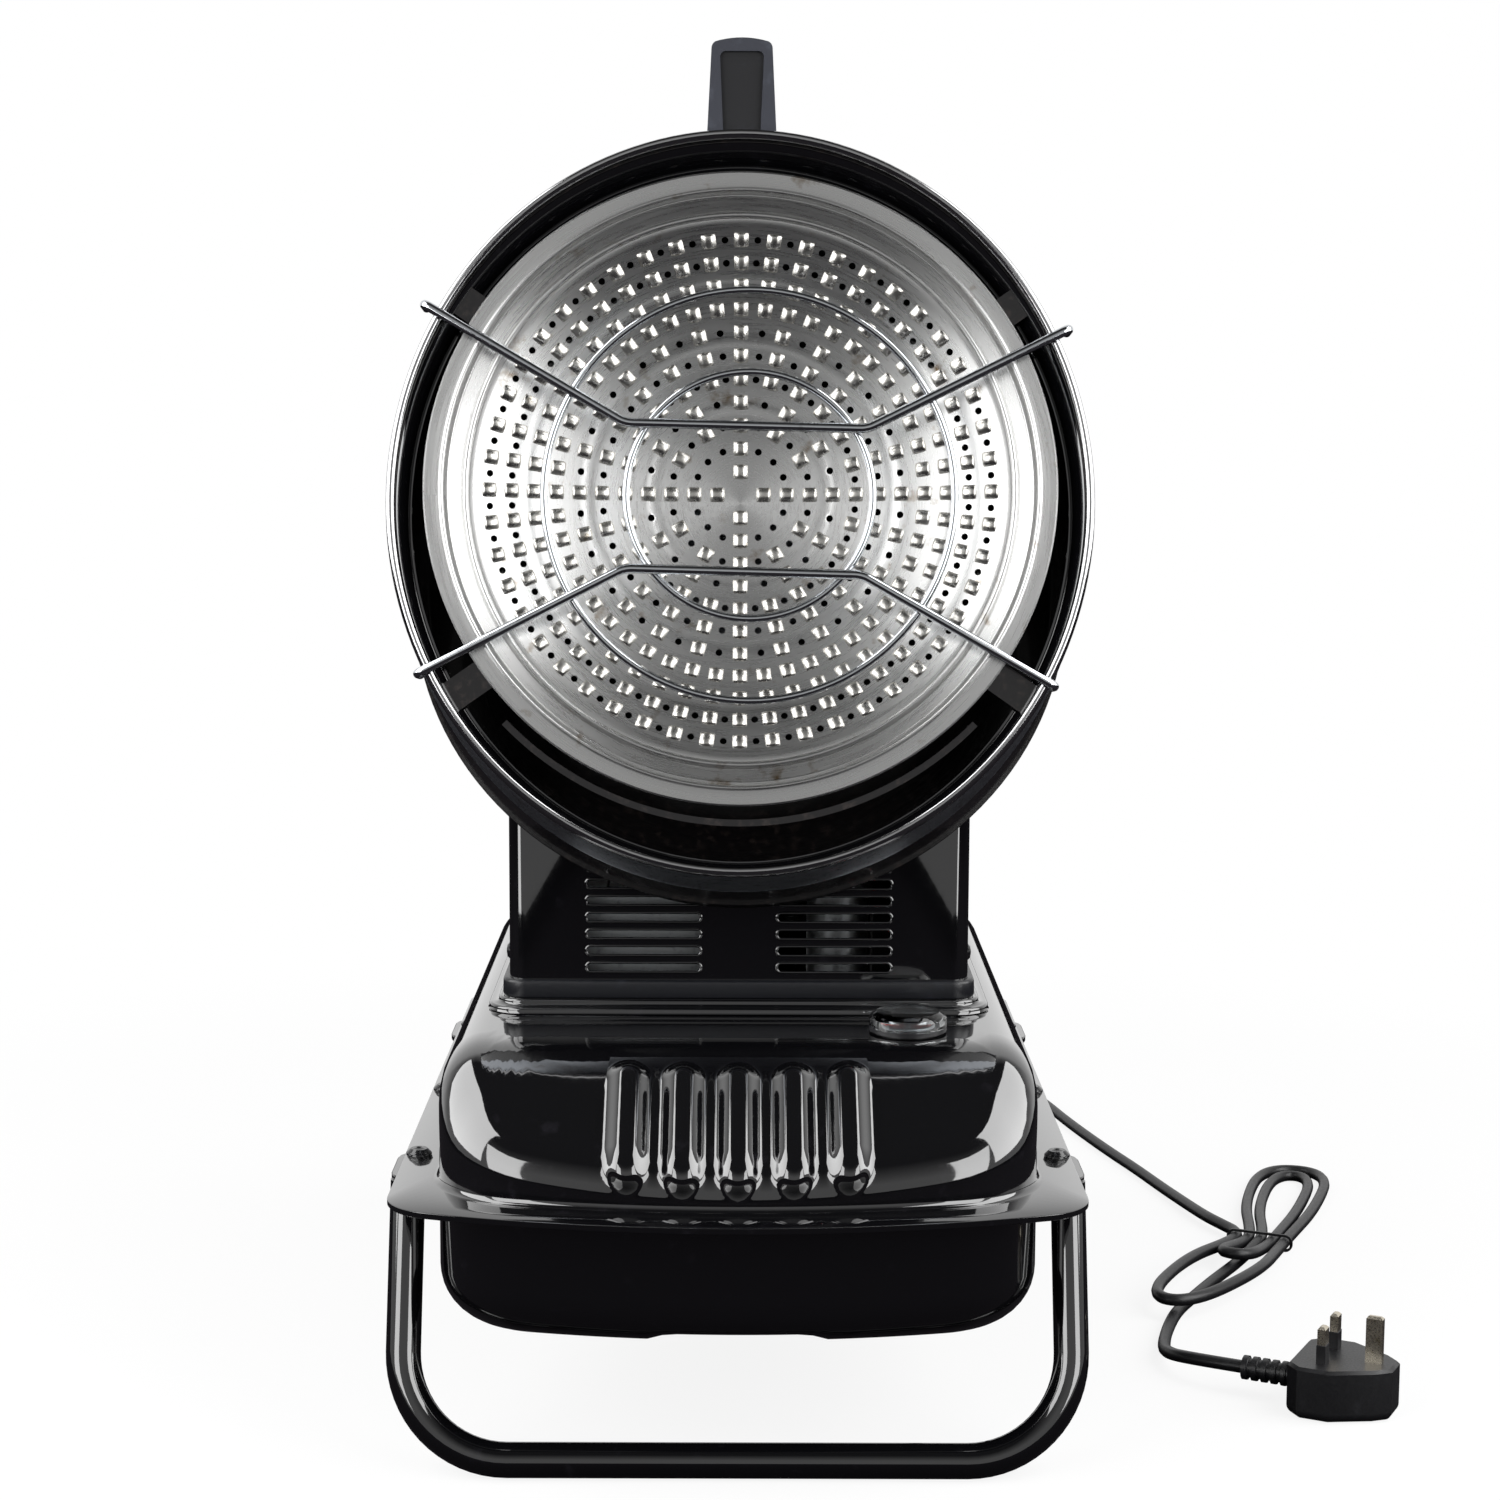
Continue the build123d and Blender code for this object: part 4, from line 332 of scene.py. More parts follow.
def build_rib_tree() -> bpy.types.NodeTree:
    """Build the tree that raises long round ribs out of a surface, side by side."""
    tree = bpy.data.node_groups.new("ribs_out_of_surface", "GeometryNodeTree")
    tree.interface.new_socket("Surface", in_out="INPUT", socket_type="NodeSocketGeometry")
    for title in ("Pitch", "Half Count", "Half Width", "Core", "Rise", "Foot", "Top"):
        tree.interface.new_socket(title, in_out="INPUT", socket_type="NodeSocketFloat")
    tree.interface.new_socket("Finish", in_out="INPUT", socket_type="NodeSocketMaterial")
    tree.interface.new_socket("Ribs", in_out="OUTPUT", socket_type="NodeSocketGeometry")
    given = add_node(tree, "NodeGroupInput").outputs

    def math_node(operation: str, *values: object) -> bpy.types.NodeSocket:
        """Return the result of one step of reckoning."""
        inputs = dict(enumerate(values))
        return add_node(tree, "ShaderNodeMath", inputs, operation=operation).outputs[0]

    across = add_node(tree, "GeometryNodeInputNamedAttribute", {"Name": "across"}, data_type="FLOAT")
    along = add_node(tree, "GeometryNodeInputNamedAttribute", {"Name": "along"}, data_type="FLOAT")
    nearest = math_node("ROUND", math_node("DIVIDE", across.outputs[0], given["Pitch"]))
    least = math_node("MULTIPLY", given["Half Count"], -1.0)
    kept = math_node("MAXIMUM", math_node("MINIMUM", nearest, given["Half Count"]), least)
    beside = math_node("SUBTRACT", across.outputs[0], math_node("MULTIPLY", kept, given["Pitch"]))
    low = math_node("ADD", given["Foot"], given["Half Width"])
    high = math_node("SUBTRACT", given["Top"], given["Half Width"])
    held = math_node("MAXIMUM", math_node("MINIMUM", along.outputs[0], high), low)
    beyond = math_node("SUBTRACT", along.outputs[0], held)
    square = math_node("ADD", math_node("POWER", beside, 2.0), math_node("POWER", beyond, 2.0))
    far = math_node("SQRT", square)
    share = add_node(
        tree,
        "ShaderNodeMapRange",
        {"Value": far, "From Min": given["Half Width"], "From Max": given["Core"]},
        interpolation_type="SMOOTHSTEP",
    )
    lift = math_node("MULTIPLY", share.outputs[0], given["Rise"])
    normal = add_node(tree, "GeometryNodeInputNormal")
    offset = add_node(
        tree, "ShaderNodeVectorMath", {0: normal.outputs[0], "Scale": lift}, operation="SCALE"
    )
    moved = add_node(
        tree, "GeometryNodeSetPosition", {"Geometry": given["Surface"], "Offset": offset.outputs[0]}
    )
    real = add_node(tree, "GeometryNodeRealizeInstances", {0: moved.outputs[0]})
    dressed = add_node(
        tree, "GeometryNodeSetMaterial", {"Geometry": real.outputs[0], "Material": given["Finish"]}
    )
    add_node(tree, "NodeGroupOutput", {"Ribs": dressed.outputs[0]})
    return tree


def build_soft_shading_tree() -> bpy.types.NodeTree:
    """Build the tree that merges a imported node's loose faces and shades them by angle."""
    tree = bpy.data.node_groups.new("merge_and_shade", "GeometryNodeTree")
    tree.interface.new_socket("Mesh", in_out="INPUT", socket_type="NodeSocketGeometry")
    tree.interface.new_socket("Angle", in_out="INPUT", socket_type="NodeSocketFloat")
    tree.interface.new_socket("Mesh", in_out="OUTPUT", socket_type="NodeSocketGeometry")
    given = add_node(tree, "NodeGroupInput").outputs
    merged = add_node(
        tree, "GeometryNodeMergeByDistance", {"Geometry": given["Mesh"], "Distance": 0.01 * MM}
    )
    smooth = add_node(tree, "GeometryNodeSetShadeSmooth", {"Geometry": merged.outputs[0]}, domain="FACE")
    angle = add_node(tree, "GeometryNodeInputMeshEdgeAngle")
    sharp = add_node(
        tree,
        "FunctionNodeCompare",
        {0: angle.outputs["Unsigned Angle"], 1: given["Angle"]},
        data_type="FLOAT",
        operation="GREATER_THAN",
    )
    creased = add_node(
        tree,
        "GeometryNodeSetShadeSmooth",
        {"Geometry": smooth.outputs[0], "Selection": sharp.outputs[0], "Shade Smooth": False},
        domain="EDGE",
    )
    add_node(tree, "NodeGroupOutput", {"Mesh": creased.outputs[0]})
    return tree


# Finishes


def linear(code: str) -> tuple[float, float, float, float]:
    """Turn an sRGB hex colour such as #8090a0 into linear red, green, blue and alpha."""
    parts = [int(code[i : i + 2], 16) / 255 for i in (1, 3, 5)]
    parts = [p / 12.92 if p <= 0.04045 else ((p + 0.055) / 1.055) ** 2.4 for p in parts]
    return (parts[0], parts[1], parts[2], 1.0)


class Grain(Enum):
    """How a finish's surface was made, which decides the form of its pattern."""

    SPRAYED = "sprayed"
    SPUN = "spun"
    DRAWN = "drawn"
    MOULDED = "moulded"
    CAST = "cast"
    CLEAR = "clear"


@dataclass(frozen=True)
class Finish:
    """One material, named for what it is and how its surface was made.

    Attributes:
        name: the material's name.
        colour: the main sRGB colour.
        second: the colour of its stains, specks or worn places.
        stain_share: how much of the surface the second colour reaches, from 0 to 1.
        stain_mm: the size of those places.
        roughness: the least and the greatest roughness.
        metallic: 1 for bare metal.
        grain: how the surface was made.
        grain_mm: the pattern's spacing.
        relief_mm: the pattern's depth.
        coat: the weight of a clear coat.
        specular: the specular level.
        anisotropy: how far the grain stretches highlights.
        transmission: 1 for clear plastic.
        ior: the index of refraction.
        axis_place: a place on the axis of spun grain, in millimetres.
        axis_tilt: how far that axis leans back, in degrees.
    """

    name: str
    colour: str
    second: str
    stain_share: float
    stain_mm: float
    roughness: tuple[float, float]
    metallic: float = 0.0
    grain: Grain = Grain.MOULDED
    grain_mm: float = 0.6
    relief_mm: float = 0.02
    coat: float = 0.0
    specular: float = 0.5
    anisotropy: float = 0.0
    transmission: float = 0.0
    ior: float = 1.5
    axis_place: tuple[float, float, float] = (0.0, 0.0, 0.0)
    axis_tilt: float = 0.0

    def pattern_place(self, tree: bpy.types.NodeTree) -> bpy.types.NodeSocket:
        """Return the coordinates that the grain follows, in metres."""
        place = add_node(tree, "ShaderNodeTexCoord").outputs["Object"]
        if self.grain is Grain.SPUN:
            turned = add_node(
                tree,
                "ShaderNodeMapping",
                {
                    "Vector": place,
                    "Location": tuple(c * MM for c in self.axis_place),
                    "Rotation": (math.radians(90 - self.axis_tilt), 0.0, 0.0),
                },
                vector_type="TEXTURE",
            )
            parts = add_node(tree, "ShaderNodeSeparateXYZ", {0: turned.outputs[0]})
            flat = add_node(tree, "ShaderNodeCombineXYZ", {0: parts.outputs[0], 1: parts.outputs[1]})
            radius = add_node(tree, "ShaderNodeVectorMath", {0: flat.outputs[0]}, operation="LENGTH")
            turn = add_node(
                tree, "ShaderNodeMath", {0: parts.outputs[1], 1: parts.outputs[0]}, operation="ARCTAN2"
            )
            short = add_node(
                tree, "ShaderNodeMath", {0: turn.outputs[0], 1: 0.004}, operation="MULTIPLY"
            )
            ring = add_node(
                tree,
                "ShaderNodeCombineXYZ",
                {0: radius.outputs["Value"], 1: short.outputs[0], 2: parts.outputs[2]},
            )
            return ring.outputs[0]
        if self.grain is Grain.DRAWN:
            drawn = add_node(
                tree, "ShaderNodeMapping", {"Vector": place, "Scale": (0.06, 1.0, 1.0)}
            )
            return drawn.outputs[0]
        return place

    def tangent(self, tree: bpy.types.NodeTree) -> bpy.types.NodeSocket:
        """Return the way outwards from the axis, in which spun grain spreads the light."""
        place = add_node(tree, "ShaderNodeTexCoord").outputs["Object"]
        out = add_node(
            tree,
            "ShaderNodeVectorMath",
            {0: place, 1: tuple(c * MM for c in self.axis_place)},
            operation="SUBTRACT",
        )
        unit = add_node(tree, "ShaderNodeVectorMath", {0: out.outputs[0]}, operation="NORMALIZE")
        return unit.outputs[0]

    def material(self) -> bpy.types.Material:
        """Return this finish's material, and build it when it is first asked for."""
        known = bpy.data.materials.get(self.name)
        if known:
            return known
        made = bpy.data.materials.new(self.name)
        made.use_nodes = True
        tree = made.node_tree
        tree.nodes.clear()
        whole = add_node(tree, "ShaderNodeTexCoord").outputs["Object"]
        grain_place = self.pattern_place(tree)
        stains = add_node(
            tree,
            "ShaderNodeTexNoise",
            {"Vector": whole, "Scale": 1 / (self.stain_mm * MM), "Detail": 4.0, "Roughness": 0.6},
        )
        reach = add_node(
            tree,
            "ShaderNodeMapRange",
            {
                "Value": stains.outputs[0],
                "From Min": 0.72 - 0.4 * self.stain_share,
                "From Max": 0.84 - 0.3 * self.stain_share,
            },
        )
        colour = add_node(
            tree,
            "ShaderNodeMix",
            {0: reach.outputs[0], 6: linear(self.colour), 7: linear(self.second)},
            data_type="RGBA",
        )
        grain = add_node(
            tree,
            "ShaderNodeTexNoise",
            {"Vector": grain_place, "Scale": 1 / (self.grain_mm * MM), "Detail": 2.0},
        )
        rough = add_node(
            tree,
            "ShaderNodeMapRange",
            {
                "Value": grain.outputs[0],
                "From Min": 0.3,
                "From Max": 0.7,
                "To Min": self.roughness[0],
                "To Max": self.roughness[1],
            },
        )
        bump = add_node(
            tree,
            "ShaderNodeBump",
            {"Height": grain.outputs[0], "Distance": self.relief_mm * MM, "Strength": 1.0},
        )
        surface = add_node(
            tree,
            "ShaderNodeBsdfPrincipled",
            {
                "Base Color": colour.outputs[2],
                "Metallic": self.metallic,
                "Roughness": rough.outputs[0],
                "IOR": self.ior,
                "Normal": bump.outputs[0],
                "Coat Weight": self.coat,
                "Coat Roughness": 0.03,
                "Coat IOR": 1.6,
                "Specular IOR Level": self.specular,
                "Anisotropic": self.anisotropy,
                "Transmission Weight": self.transmission,
            },
        )
        if self.anisotropy:
            tree.links.new(self.tangent(tree), surface.inputs["Tangent"])
        add_node(tree, "ShaderNodeOutputMaterial", {"Surface": surface.outputs[0]})
        return made


RIM_PLACE = (0.0, -155.0, 440.9)
RIM_TILT = 8.0

# Stove enamel on pressed sheet: deep black, wet gloss, a faint orange peel and a little dust.
BLACK_ENAMEL = Finish(
    name="stove_enamel_gloss_black", colour="#09090b", second="#17161a", stain_share=0.25,
    stain_mm=14.0, roughness=(0.05, 0.08), grain=Grain.SPRAYED, grain_mm=5.0, relief_mm=0.01, coat=1.0,
    ior=1.7,
)
# The same enamel baked on the drum, where heat and dust have made it browner and duller.
DRUM_ENAMEL = Finish(
    name="stove_enamel_dusty_drum", colour="#0d0b0c", second="#2a2422", stain_share=0.45, stain_mm=4.0,
    roughness=(0.16, 0.26), grain=Grain.SPRAYED, grain_mm=1.6, relief_mm=0.01, coat=0.3,
)
# Satin enamel on the housing's folded lip.
SATIN_ENAMEL = Finish(
    name="stove_enamel_satin_blue_black", colour="#15161a", second="#22242b", stain_share=0.3,
    stain_mm=20.0, roughness=(0.28, 0.36), grain=Grain.SPRAYED, grain_mm=1.2, relief_mm=0.01,
)
# Rolled heat-resisting steel, spun in its press: long soft streaks round the middle, brown heat stains.
EMITTER_STEEL = Finish(
    name="stainless_rolled_emitter", colour="#cccccb", second="#85745f", stain_share=0.22,
    stain_mm=14.0, roughness=(0.25, 0.32), metallic=1.0, grain=Grain.SPUN, grain_mm=0.8,
    relief_mm=0.003, anisotropy=0.5, axis_place=RIM_PLACE, axis_tilt=RIM_TILT,
)
# The same sheet stretched by the dimple punch: smoother, with no grain left.
DIMPLE_STEEL = Finish(
    name="stainless_punched_dimple", colour="#c4c2bd", second="#9f9686", stain_share=0.25, stain_mm=9.0,
    roughness=(0.24, 0.3), metallic=1.0, grain=Grain.CAST, grain_mm=6.0, relief_mm=0.001,
)
# Polished stainless bead of the front ring, with fine lines from its roller.
RING_STEEL = Finish(
    name="stainless_polished_ring", colour="#b8b8b9", second="#7f7c79", stain_share=0.2, stain_mm=30.0,
    roughness=(0.1, 0.16), metallic=1.0, grain=Grain.SPUN, grain_mm=0.8, relief_mm=0.002,
    anisotropy=0.2, axis_place=RIM_PLACE, axis_tilt=RIM_TILT,
)
# Satin stainless strip of the ring's band, the burner's tube and the diffuser.
SATIN_STEEL = Finish(
    name="stainless_satin_strip", colour="#a9adb3", second="#7b7672", stain_share=0.3, stain_mm=22.0,
    roughness=(0.26, 0.38), metallic=1.0, grain=Grain.DRAWN, grain_mm=0.8, relief_mm=0.01,
)
# Chromed steel wire: mirror bright, with a faint ripple along the drawn wire.
CHROME_WIRE = Finish(
    name="chrome_plated_wire", colour="#d3d6da", second="#a6a8ab", stain_share=0.15, stain_mm=10.0,
    roughness=(0.06, 0.14), metallic=1.0, grain=Grain.CAST, grain_mm=2.5, relief_mm=0.01,
)
# Glass-filled nylon of the handle: matt blue-grey black with a fine spark-eroded grain.
HANDLE_NYLON = Finish(
    name="nylon_moulded_spark_grain", colour="#35373f", second="#43464f", stain_share=0.3, stain_mm=9.0,
    roughness=(0.42, 0.55), grain_mm=0.5, relief_mm=0.03, specular=0.4,
)
# Darker ABS in the handle's recess, on the gauge, switch and knob.
DARK_ABS = Finish(
    name="abs_moulded_black", colour="#17171a", second="#202126", stain_share=0.3, stain_mm=8.0,
    roughness=(0.35, 0.48), grain_mm=0.5, relief_mm=0.02,
)
# Soft PVC of the cord and its mouldings: black, slightly waxy, smooth.
CORD_PVC = Finish(
    name="pvc_extruded_black", colour="#161618", second="#232326", stain_share=0.3, stain_mm=12.0,
    roughness=(0.34, 0.46), grain=Grain.CAST, grain_mm=1.0, relief_mm=0.01,
)
# Clear acrylic: sharp bright rims on its bevels.
LENS_ACRYLIC = Finish(
    name="acrylic_clear_lens", colour="#f4f7f8", second="#e9eeef", stain_share=0.1, stain_mm=20.0,
    roughness=(0.01, 0.03), grain=Grain.CLEAR, grain_mm=5.0, relief_mm=0.001, transmission=1.0,
    ior=1.49,
)
# Red styrene of the gauge's pointer.
RED_STYRENE = Finish(
    name="styrene_red_pointer", colour="#b3221a", second="#8e1812", stain_share=0.2, stain_mm=5.0,
    roughness=(0.25, 0.35), grain_mm=0.4, relief_mm=0.005,
)
# Black-oxide steel of the screws: dark, oily gloss.
BLACK_OXIDE = Finish(
    name="steel_black_oxide_screw", colour="#101012", second="#2b2a2c", stain_share=0.35, stain_mm=2.0,
    roughness=(0.14, 0.26), grain=Grain.CAST, grain_mm=0.8, relief_mm=0.01, coat=0.3,
)
# Nickel on brass, as on plug pins: warm silver with fine rubbing marks.
NICKEL_BRASS = Finish(
    name="brass_nickel_plated", colour="#cfc6b4", second="#a89a7e", stain_share=0.3, stain_mm=4.0,
    roughness=(0.22, 0.36), metallic=1.0, grain=Grain.DRAWN, grain_mm=0.4, relief_mm=0.008,
)
# Bare machined brass of the nozzle block.
TURNED_BRASS = Finish(
    name="brass_turned", colour="#c2a05a", second="#94753a", stain_share=0.3, stain_mm=5.0,
    roughness=(0.22, 0.34), metallic=1.0, grain=Grain.DRAWN, grain_mm=0.4, relief_mm=0.008,
)
# Die-cast zinc and aluminium of the motor, pump and small machines.
CAST_ZINC = Finish(
    name="zinc_die_cast", colour="#a2a5a7", second="#7c7f82", stain_share=0.4, stain_mm=6.0,
    roughness=(0.36, 0.5), metallic=1.0, grain=Grain.CAST, grain_mm=0.9, relief_mm=0.03,
)
# Green solder resist on the control board.
SOLDER_RESIST = Finish(
    name="board_green_solder_resist", colour="#1f5a34", second="#2c7446", stain_share=0.5, stain_mm=3.0,
    roughness=(0.3, 0.42), grain=Grain.CAST, grain_mm=1.0, relief_mm=0.02,
)
# Cellular nitrile of the float and the woven mesh of the strainer.
PALE_FOAM = Finish(
    name="nitrile_foam_pale", colour="#cbc5b4", second="#b0a994", stain_share=0.4, stain_mm=4.0,
    roughness=(0.6, 0.75), grain=Grain.CAST, grain_mm=0.7, relief_mm=0.06,
)


# The object's own sub-assemblies


@dataclass(frozen=True)
class Dresser:
    """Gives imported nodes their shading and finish, and settles new pieces on their body."""

    copies: bpy.types.NodeTree
    shading: bpy.types.NodeTree
    nodes: dict[str, bpy.types.Object]

    def dress(self, finish: Finish, *names: str) -> None:
        """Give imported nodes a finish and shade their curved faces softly."""
        for name in names:
            node = self.nodes[name]
            node.data.materials.clear()
            node.data.materials.append(finish.material())
            soften = node.modifiers.new("merge_and_shade", "NODES")
            soften.node_group = self.shading
            angle = self.shading.interface.items_tree["Angle"].identifier
            soften[angle] = math.radians(32)
            log.info("dressed %s in %s", name, finish.name)

    def settle(
        self, piece: bpy.types.Object, finish: Finish, body: str = BASE
    ) -> bpy.types.Object:
        """Give a new piece its finish and let it ride on a body."""
        piece.data.materials.clear()
        piece.data.materials.append(finish.material())
        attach(piece, body)
        log.info("built %s in %s", piece.name, finish.name)
        return piece

    def repeat(
        self,
        name: str,
        unit: bpy.types.Object,
        places: Sequence[Vector],
        turns: Sequence[Euler],
        finish: Finish,
    ) -> bpy.types.Object:
        """Set a copy of a unit on each place, and return them as one plain mesh.

        Args:
            name: the new piece's name.
            unit: the shape that repeats, which is removed afterwards.
            places: where the copies go, in metres.
            turns: the turn of each copy.
            finish: the finish of all copies.

        Returns:
            The new piece, not yet on a body.
        """
        mesh = bpy.data.meshes.new(name)
        mesh.from_pydata([tuple(place) for place in places], [], [])
        turned = mesh.attributes.new("turn", "FLOAT_VECTOR", "POINT")
        for item, turn in zip(turned.data, turns):
            item.vector = tuple(turn)
        piece = add_object(name, mesh)
        maker = piece.modifiers.new("copies", "NODES")
        maker.node_group = self.copies
        inputs = {
            "Piece": unit,
            "Size": 1.0,
            "Finish": finish.material(),
        }
        for title, value in inputs.items():
            maker[self.copies.interface.items_tree[title].identifier] = value
        apply_modifiers(piece)
        bpy.data.objects.remove(unit)
        return piece


@dataclass(frozen=True)
class Camera:
    """The camera that took the photograph, as worked out from the object's known edges."""

    focal_mm: float = 69.6
    sensor_mm: float = 36.0
    distance: float = 1.455
    height: float = 0.4985
    pitch_degrees: float = 7.565
    yaw_degrees: float = -0.207
    roll_degrees: float = 0.23

    def build(self) -> None:
        """Add the camera and make it the scene's own."""
        data = bpy.data.cameras.new("camera")
        data.sensor_width = self.sensor_mm
        data.lens = self.focal_mm
        eye = add_object("camera", data)
        yaw = Matrix.Rotation(math.radians(self.yaw_degrees), 4, "Z")
        pitch = Matrix.Rotation(math.radians(90 - self.pitch_degrees), 4, "X")
        roll = Matrix.Rotation(math.radians(self.roll_degrees), 4, "Z")
        eye.matrix_world = Matrix.Translation((0.0, -self.distance, self.height)) @ yaw @ pitch @ roll
        bpy.context.scene.camera = eye


@dataclass(frozen=True)
class MainsCord:
    """The mains cord: a free run from the gland, tied loops, and a tail to the plug.

    Sizes are in millimetres.
    """

    radius: float = 3.25
    length: float = 2200.0
    floor: float = 3.25
    loop_gap: float = 0.5
    waist: tuple[float, float] = (298.0, 144.0)
    waist_lift: float = 5.6
    waist_half_length: float = 10.0
    far_axis_angle: float = 72.3
    near_axis_angle: float = 60.2
    far_loop_lengths: tuple[float, float] = (161.0, 148.0)
    far_loop_half_widths: tuple[float, float] = (21.0, 12.0)
    near_loop_length: float = 141.0
    near_loop_sides: tuple[float, float, float, float] = (-19.0, -13.0, 12.0, 24.0)
    near_loop_lift: float = 11.0
    small_loop_length: float = 48.0
    small_loop_half_width: float = 9.6
    loops_entry: float = 24.0
    loops_exit: float = -64.0
    loops_lead_run: float = 20.0
    gland: tuple[float, float, float] = (78.0, 171.0, 222.0)
    plug_place: tuple[float, float] = (285.4, -106.5)
    plug_turn: float = -26.8
    plug_back: float = 15.0
    plug_height: float = 26.0
    relief_length: float = 27.0
    relief_radius: float = 6.15
    relief_core_radius: float = 4.7
    relief_ribs: int = 6
    relief_rib_length: float = 2.9
    relief_height: float = 13.0
    relief_lead_run: float = 26.0
    pin_half_spacing: float = 11.1
    sleeve_length: float = 9.0
    sleeve_half_sizes: tuple[float, float] = (2.25, 3.42)

    def loop_point(self, along: float, across: float, height: float) -> tuple[float, float, float]:
        """Return a place on the tied loops, from its distance along and across the hank."""
        angle = math.radians(self.far_axis_angle if along >= 0 else self.near_axis_angle)
        return (
            self.waist[0] + along * math.cos(angle) + across * math.sin(angle),
            self.waist[1] + along * math.sin(angle) - across * math.cos(angle),
            height,
        )

    def run_points(self) -> list[tuple[float, float, float]]:
        """Return the free run's points, from the gland to the loops."""
        strand = 2 * self.radius + self.loop_gap
        lead = self.loop_point(
            2 * self.loops_entry - self.waist_half_length, -2 * strand - self.loops_entry, self.waist_lift
        )
        return [
            self.gland,
            (78.0, 198.0, 222.0),
            (80.0, 228.0, 212.0),
            (84.0, 254.0, 190.0),
            (90.0, 274.0, 158.0),
            (96.0, 288.0, 120.0),
            (102.0, 300.0, 82.0),
            (108.0, 316.0, 46.0),
            (113.0, 342.0, 18.0),
            (116.0, 376.0, 5.0),
            (117.0, 412.0, self.floor),
            (118.0, 450.0, self.floor),
            (124.0, 488.0, self.floor),
            (144.0, 516.0, self.floor),
            (174.0, 518.0, self.floor),
            (197.0, 496.0, self.floor),
            (208.0, 460.0, self.floor),
            (216.0, 420.0, self.floor),
            (226.0, 378.0, self.floor),
            (237.0, 336.0, self.floor),
            (248.0, 298.0, self.floor),
            (257.0, 262.0, self.floor),
            (265.0, 228.0, 4.2),
            lead,
        ]

    def loop_points(self) -> list[tuple[float, float, float]]:
        """Return the tied loops' points, from the entry to the exit of the waist."""
        strand = 2 * self.radius + self.loop_gap
        half = self.waist_half_length
        lift = self.waist_lift
        high = self.near_loop_lift
        far_long, far_short = self.far_loop_lengths
        far_wide, far_narrow = self.far_loop_half_widths
        left, end_left, end_right, right = self.near_loop_sides
        places = (
            (self.loops_entry, -2 * strand - self.loops_entry / 2, lift),
            (half, -2 * strand, lift),
            (-half, -2 * strand, lift),
            (-self.near_loop_length / 2, left, high),
            (-self.near_loop_length, end_left, high),
            (-self.near_loop_length, end_right, high),
            (-self.near_loop_length / 2, right, high),
            (-half, 2 * strand, lift),
            (half, 2 * strand, lift),
            (far_long / 2, far_wide, self.floor),
            (far_long, far_wide, self.floor),
            (far_long, -far_wide, self.floor),
            (far_long / 2, -far_wide, self.floor),
            (half, -strand, lift),
            (-half, -strand, lift),
            (-self.small_loop_length, -self.small_loop_half_width, high),
            (-self.small_loop_length, self.small_loop_half_width, high),
            (-half, strand, lift),
            (half, strand, lift),
            (far_short / 2, far_narrow, self.floor),
            (far_short, far_narrow, self.floor),
            (far_short, -far_narrow, self.floor),
            (far_short / 2, -far_narrow, self.floor),
            (half, 0, lift),
            (-half, 0, lift),
            (-half - self.loops_entry, 0, self.floor),
            (self.loops_exit, 0, self.floor),
        )
        return [self.loop_point(*place) for place in places]

    def plug_frame(self) -> Matrix:
        """Return the plug's own frame on the floor, in metres."""
        turn = Matrix.Rotation(math.radians(self.plug_turn), 4, "Z")
        return Matrix.Translation(millimetres(*self.plug_place, 0.0)) @ turn

    def tail_points(self) -> list[tuple[float, float, float]]:
        """Return the tail's points, from the loops to the plug's strain relief."""
        ends = []
        for back in (self.relief_lead_run, 0.0):
            local = millimetres(-self.plug_back - self.relief_length - back, 0.0, self.relief_height)
            ends.append(tuple(c / MM for c in self.plug_frame() @ local))
        return [
            self.loop_point(self.loops_exit - self.loops_lead_run, 0, self.floor),
            (244.0, 48.0, self.floor),
            (232.0, 25.0, self.floor),
            (224.0, 0.0, self.floor),
            (218.0, -25.0, 3.8),
            (215.0, -50.0, 7.0),
            *ends,
        ]

    def build_cord(self) -> bpy.types.Object:
        """Build the cord as one smooth curve on the route's points."""
        points = [*self.run_points(), *self.loop_points(), *self.tail_points()]
        curve = bpy.data.curves.new("mains_cord", "CURVE")
        curve.dimensions = "3D"
        curve.bevel_depth = self.radius * MM
        curve.bevel_resolution = 4
        curve.resolution_u = 10
        curve.use_fill_caps = True
        line = curve.splines.new("NURBS")
        line.points.add(len(points) - 1)
        for point, place in zip(line.points, points):
            point.co = (*millimetres(*place), 1.0)
        line.order_u = 3
        line.use_endpoint_u = True
        return add_object("mains_cord", curve)

    def build_plug_relief(self) -> bpy.types.Object:
        """Build the soft ribbed sleeve behind the plug."""
        middle = self.plug_frame() @ Matrix.Translation(millimetres(-self.plug_back, 0, self.relief_height))
        axis = middle @ Matrix.Rotation(math.radians(-90), 4, "Y")
        step = (self.relief_length - self.relief_rib_length) / (self.relief_ribs - 1)
        profile = [(0.0, -1.0), (self.relief_core_radius, -1.0)]
        for rib in range(self.relief_ribs):
            low = rib * step
            taper = 0.12 * rib
            edge = 0.6
            profile += [
                (self.relief_core_radius, low),
                (self.relief_radius - edge - taper, low),
                (self.relief_radius - taper, low + edge),
                (self.relief_radius - taper, low + self.relief_rib_length - edge),
                (self.relief_radius - edge - taper, low + self.relief_rib_length),
                (self.relief_core_radius, low + self.relief_rib_length),
            ]
        profile.append((0.0, self.relief_length))
        return lofted(turned_rows(profile, axis, 40), "plug_relief")

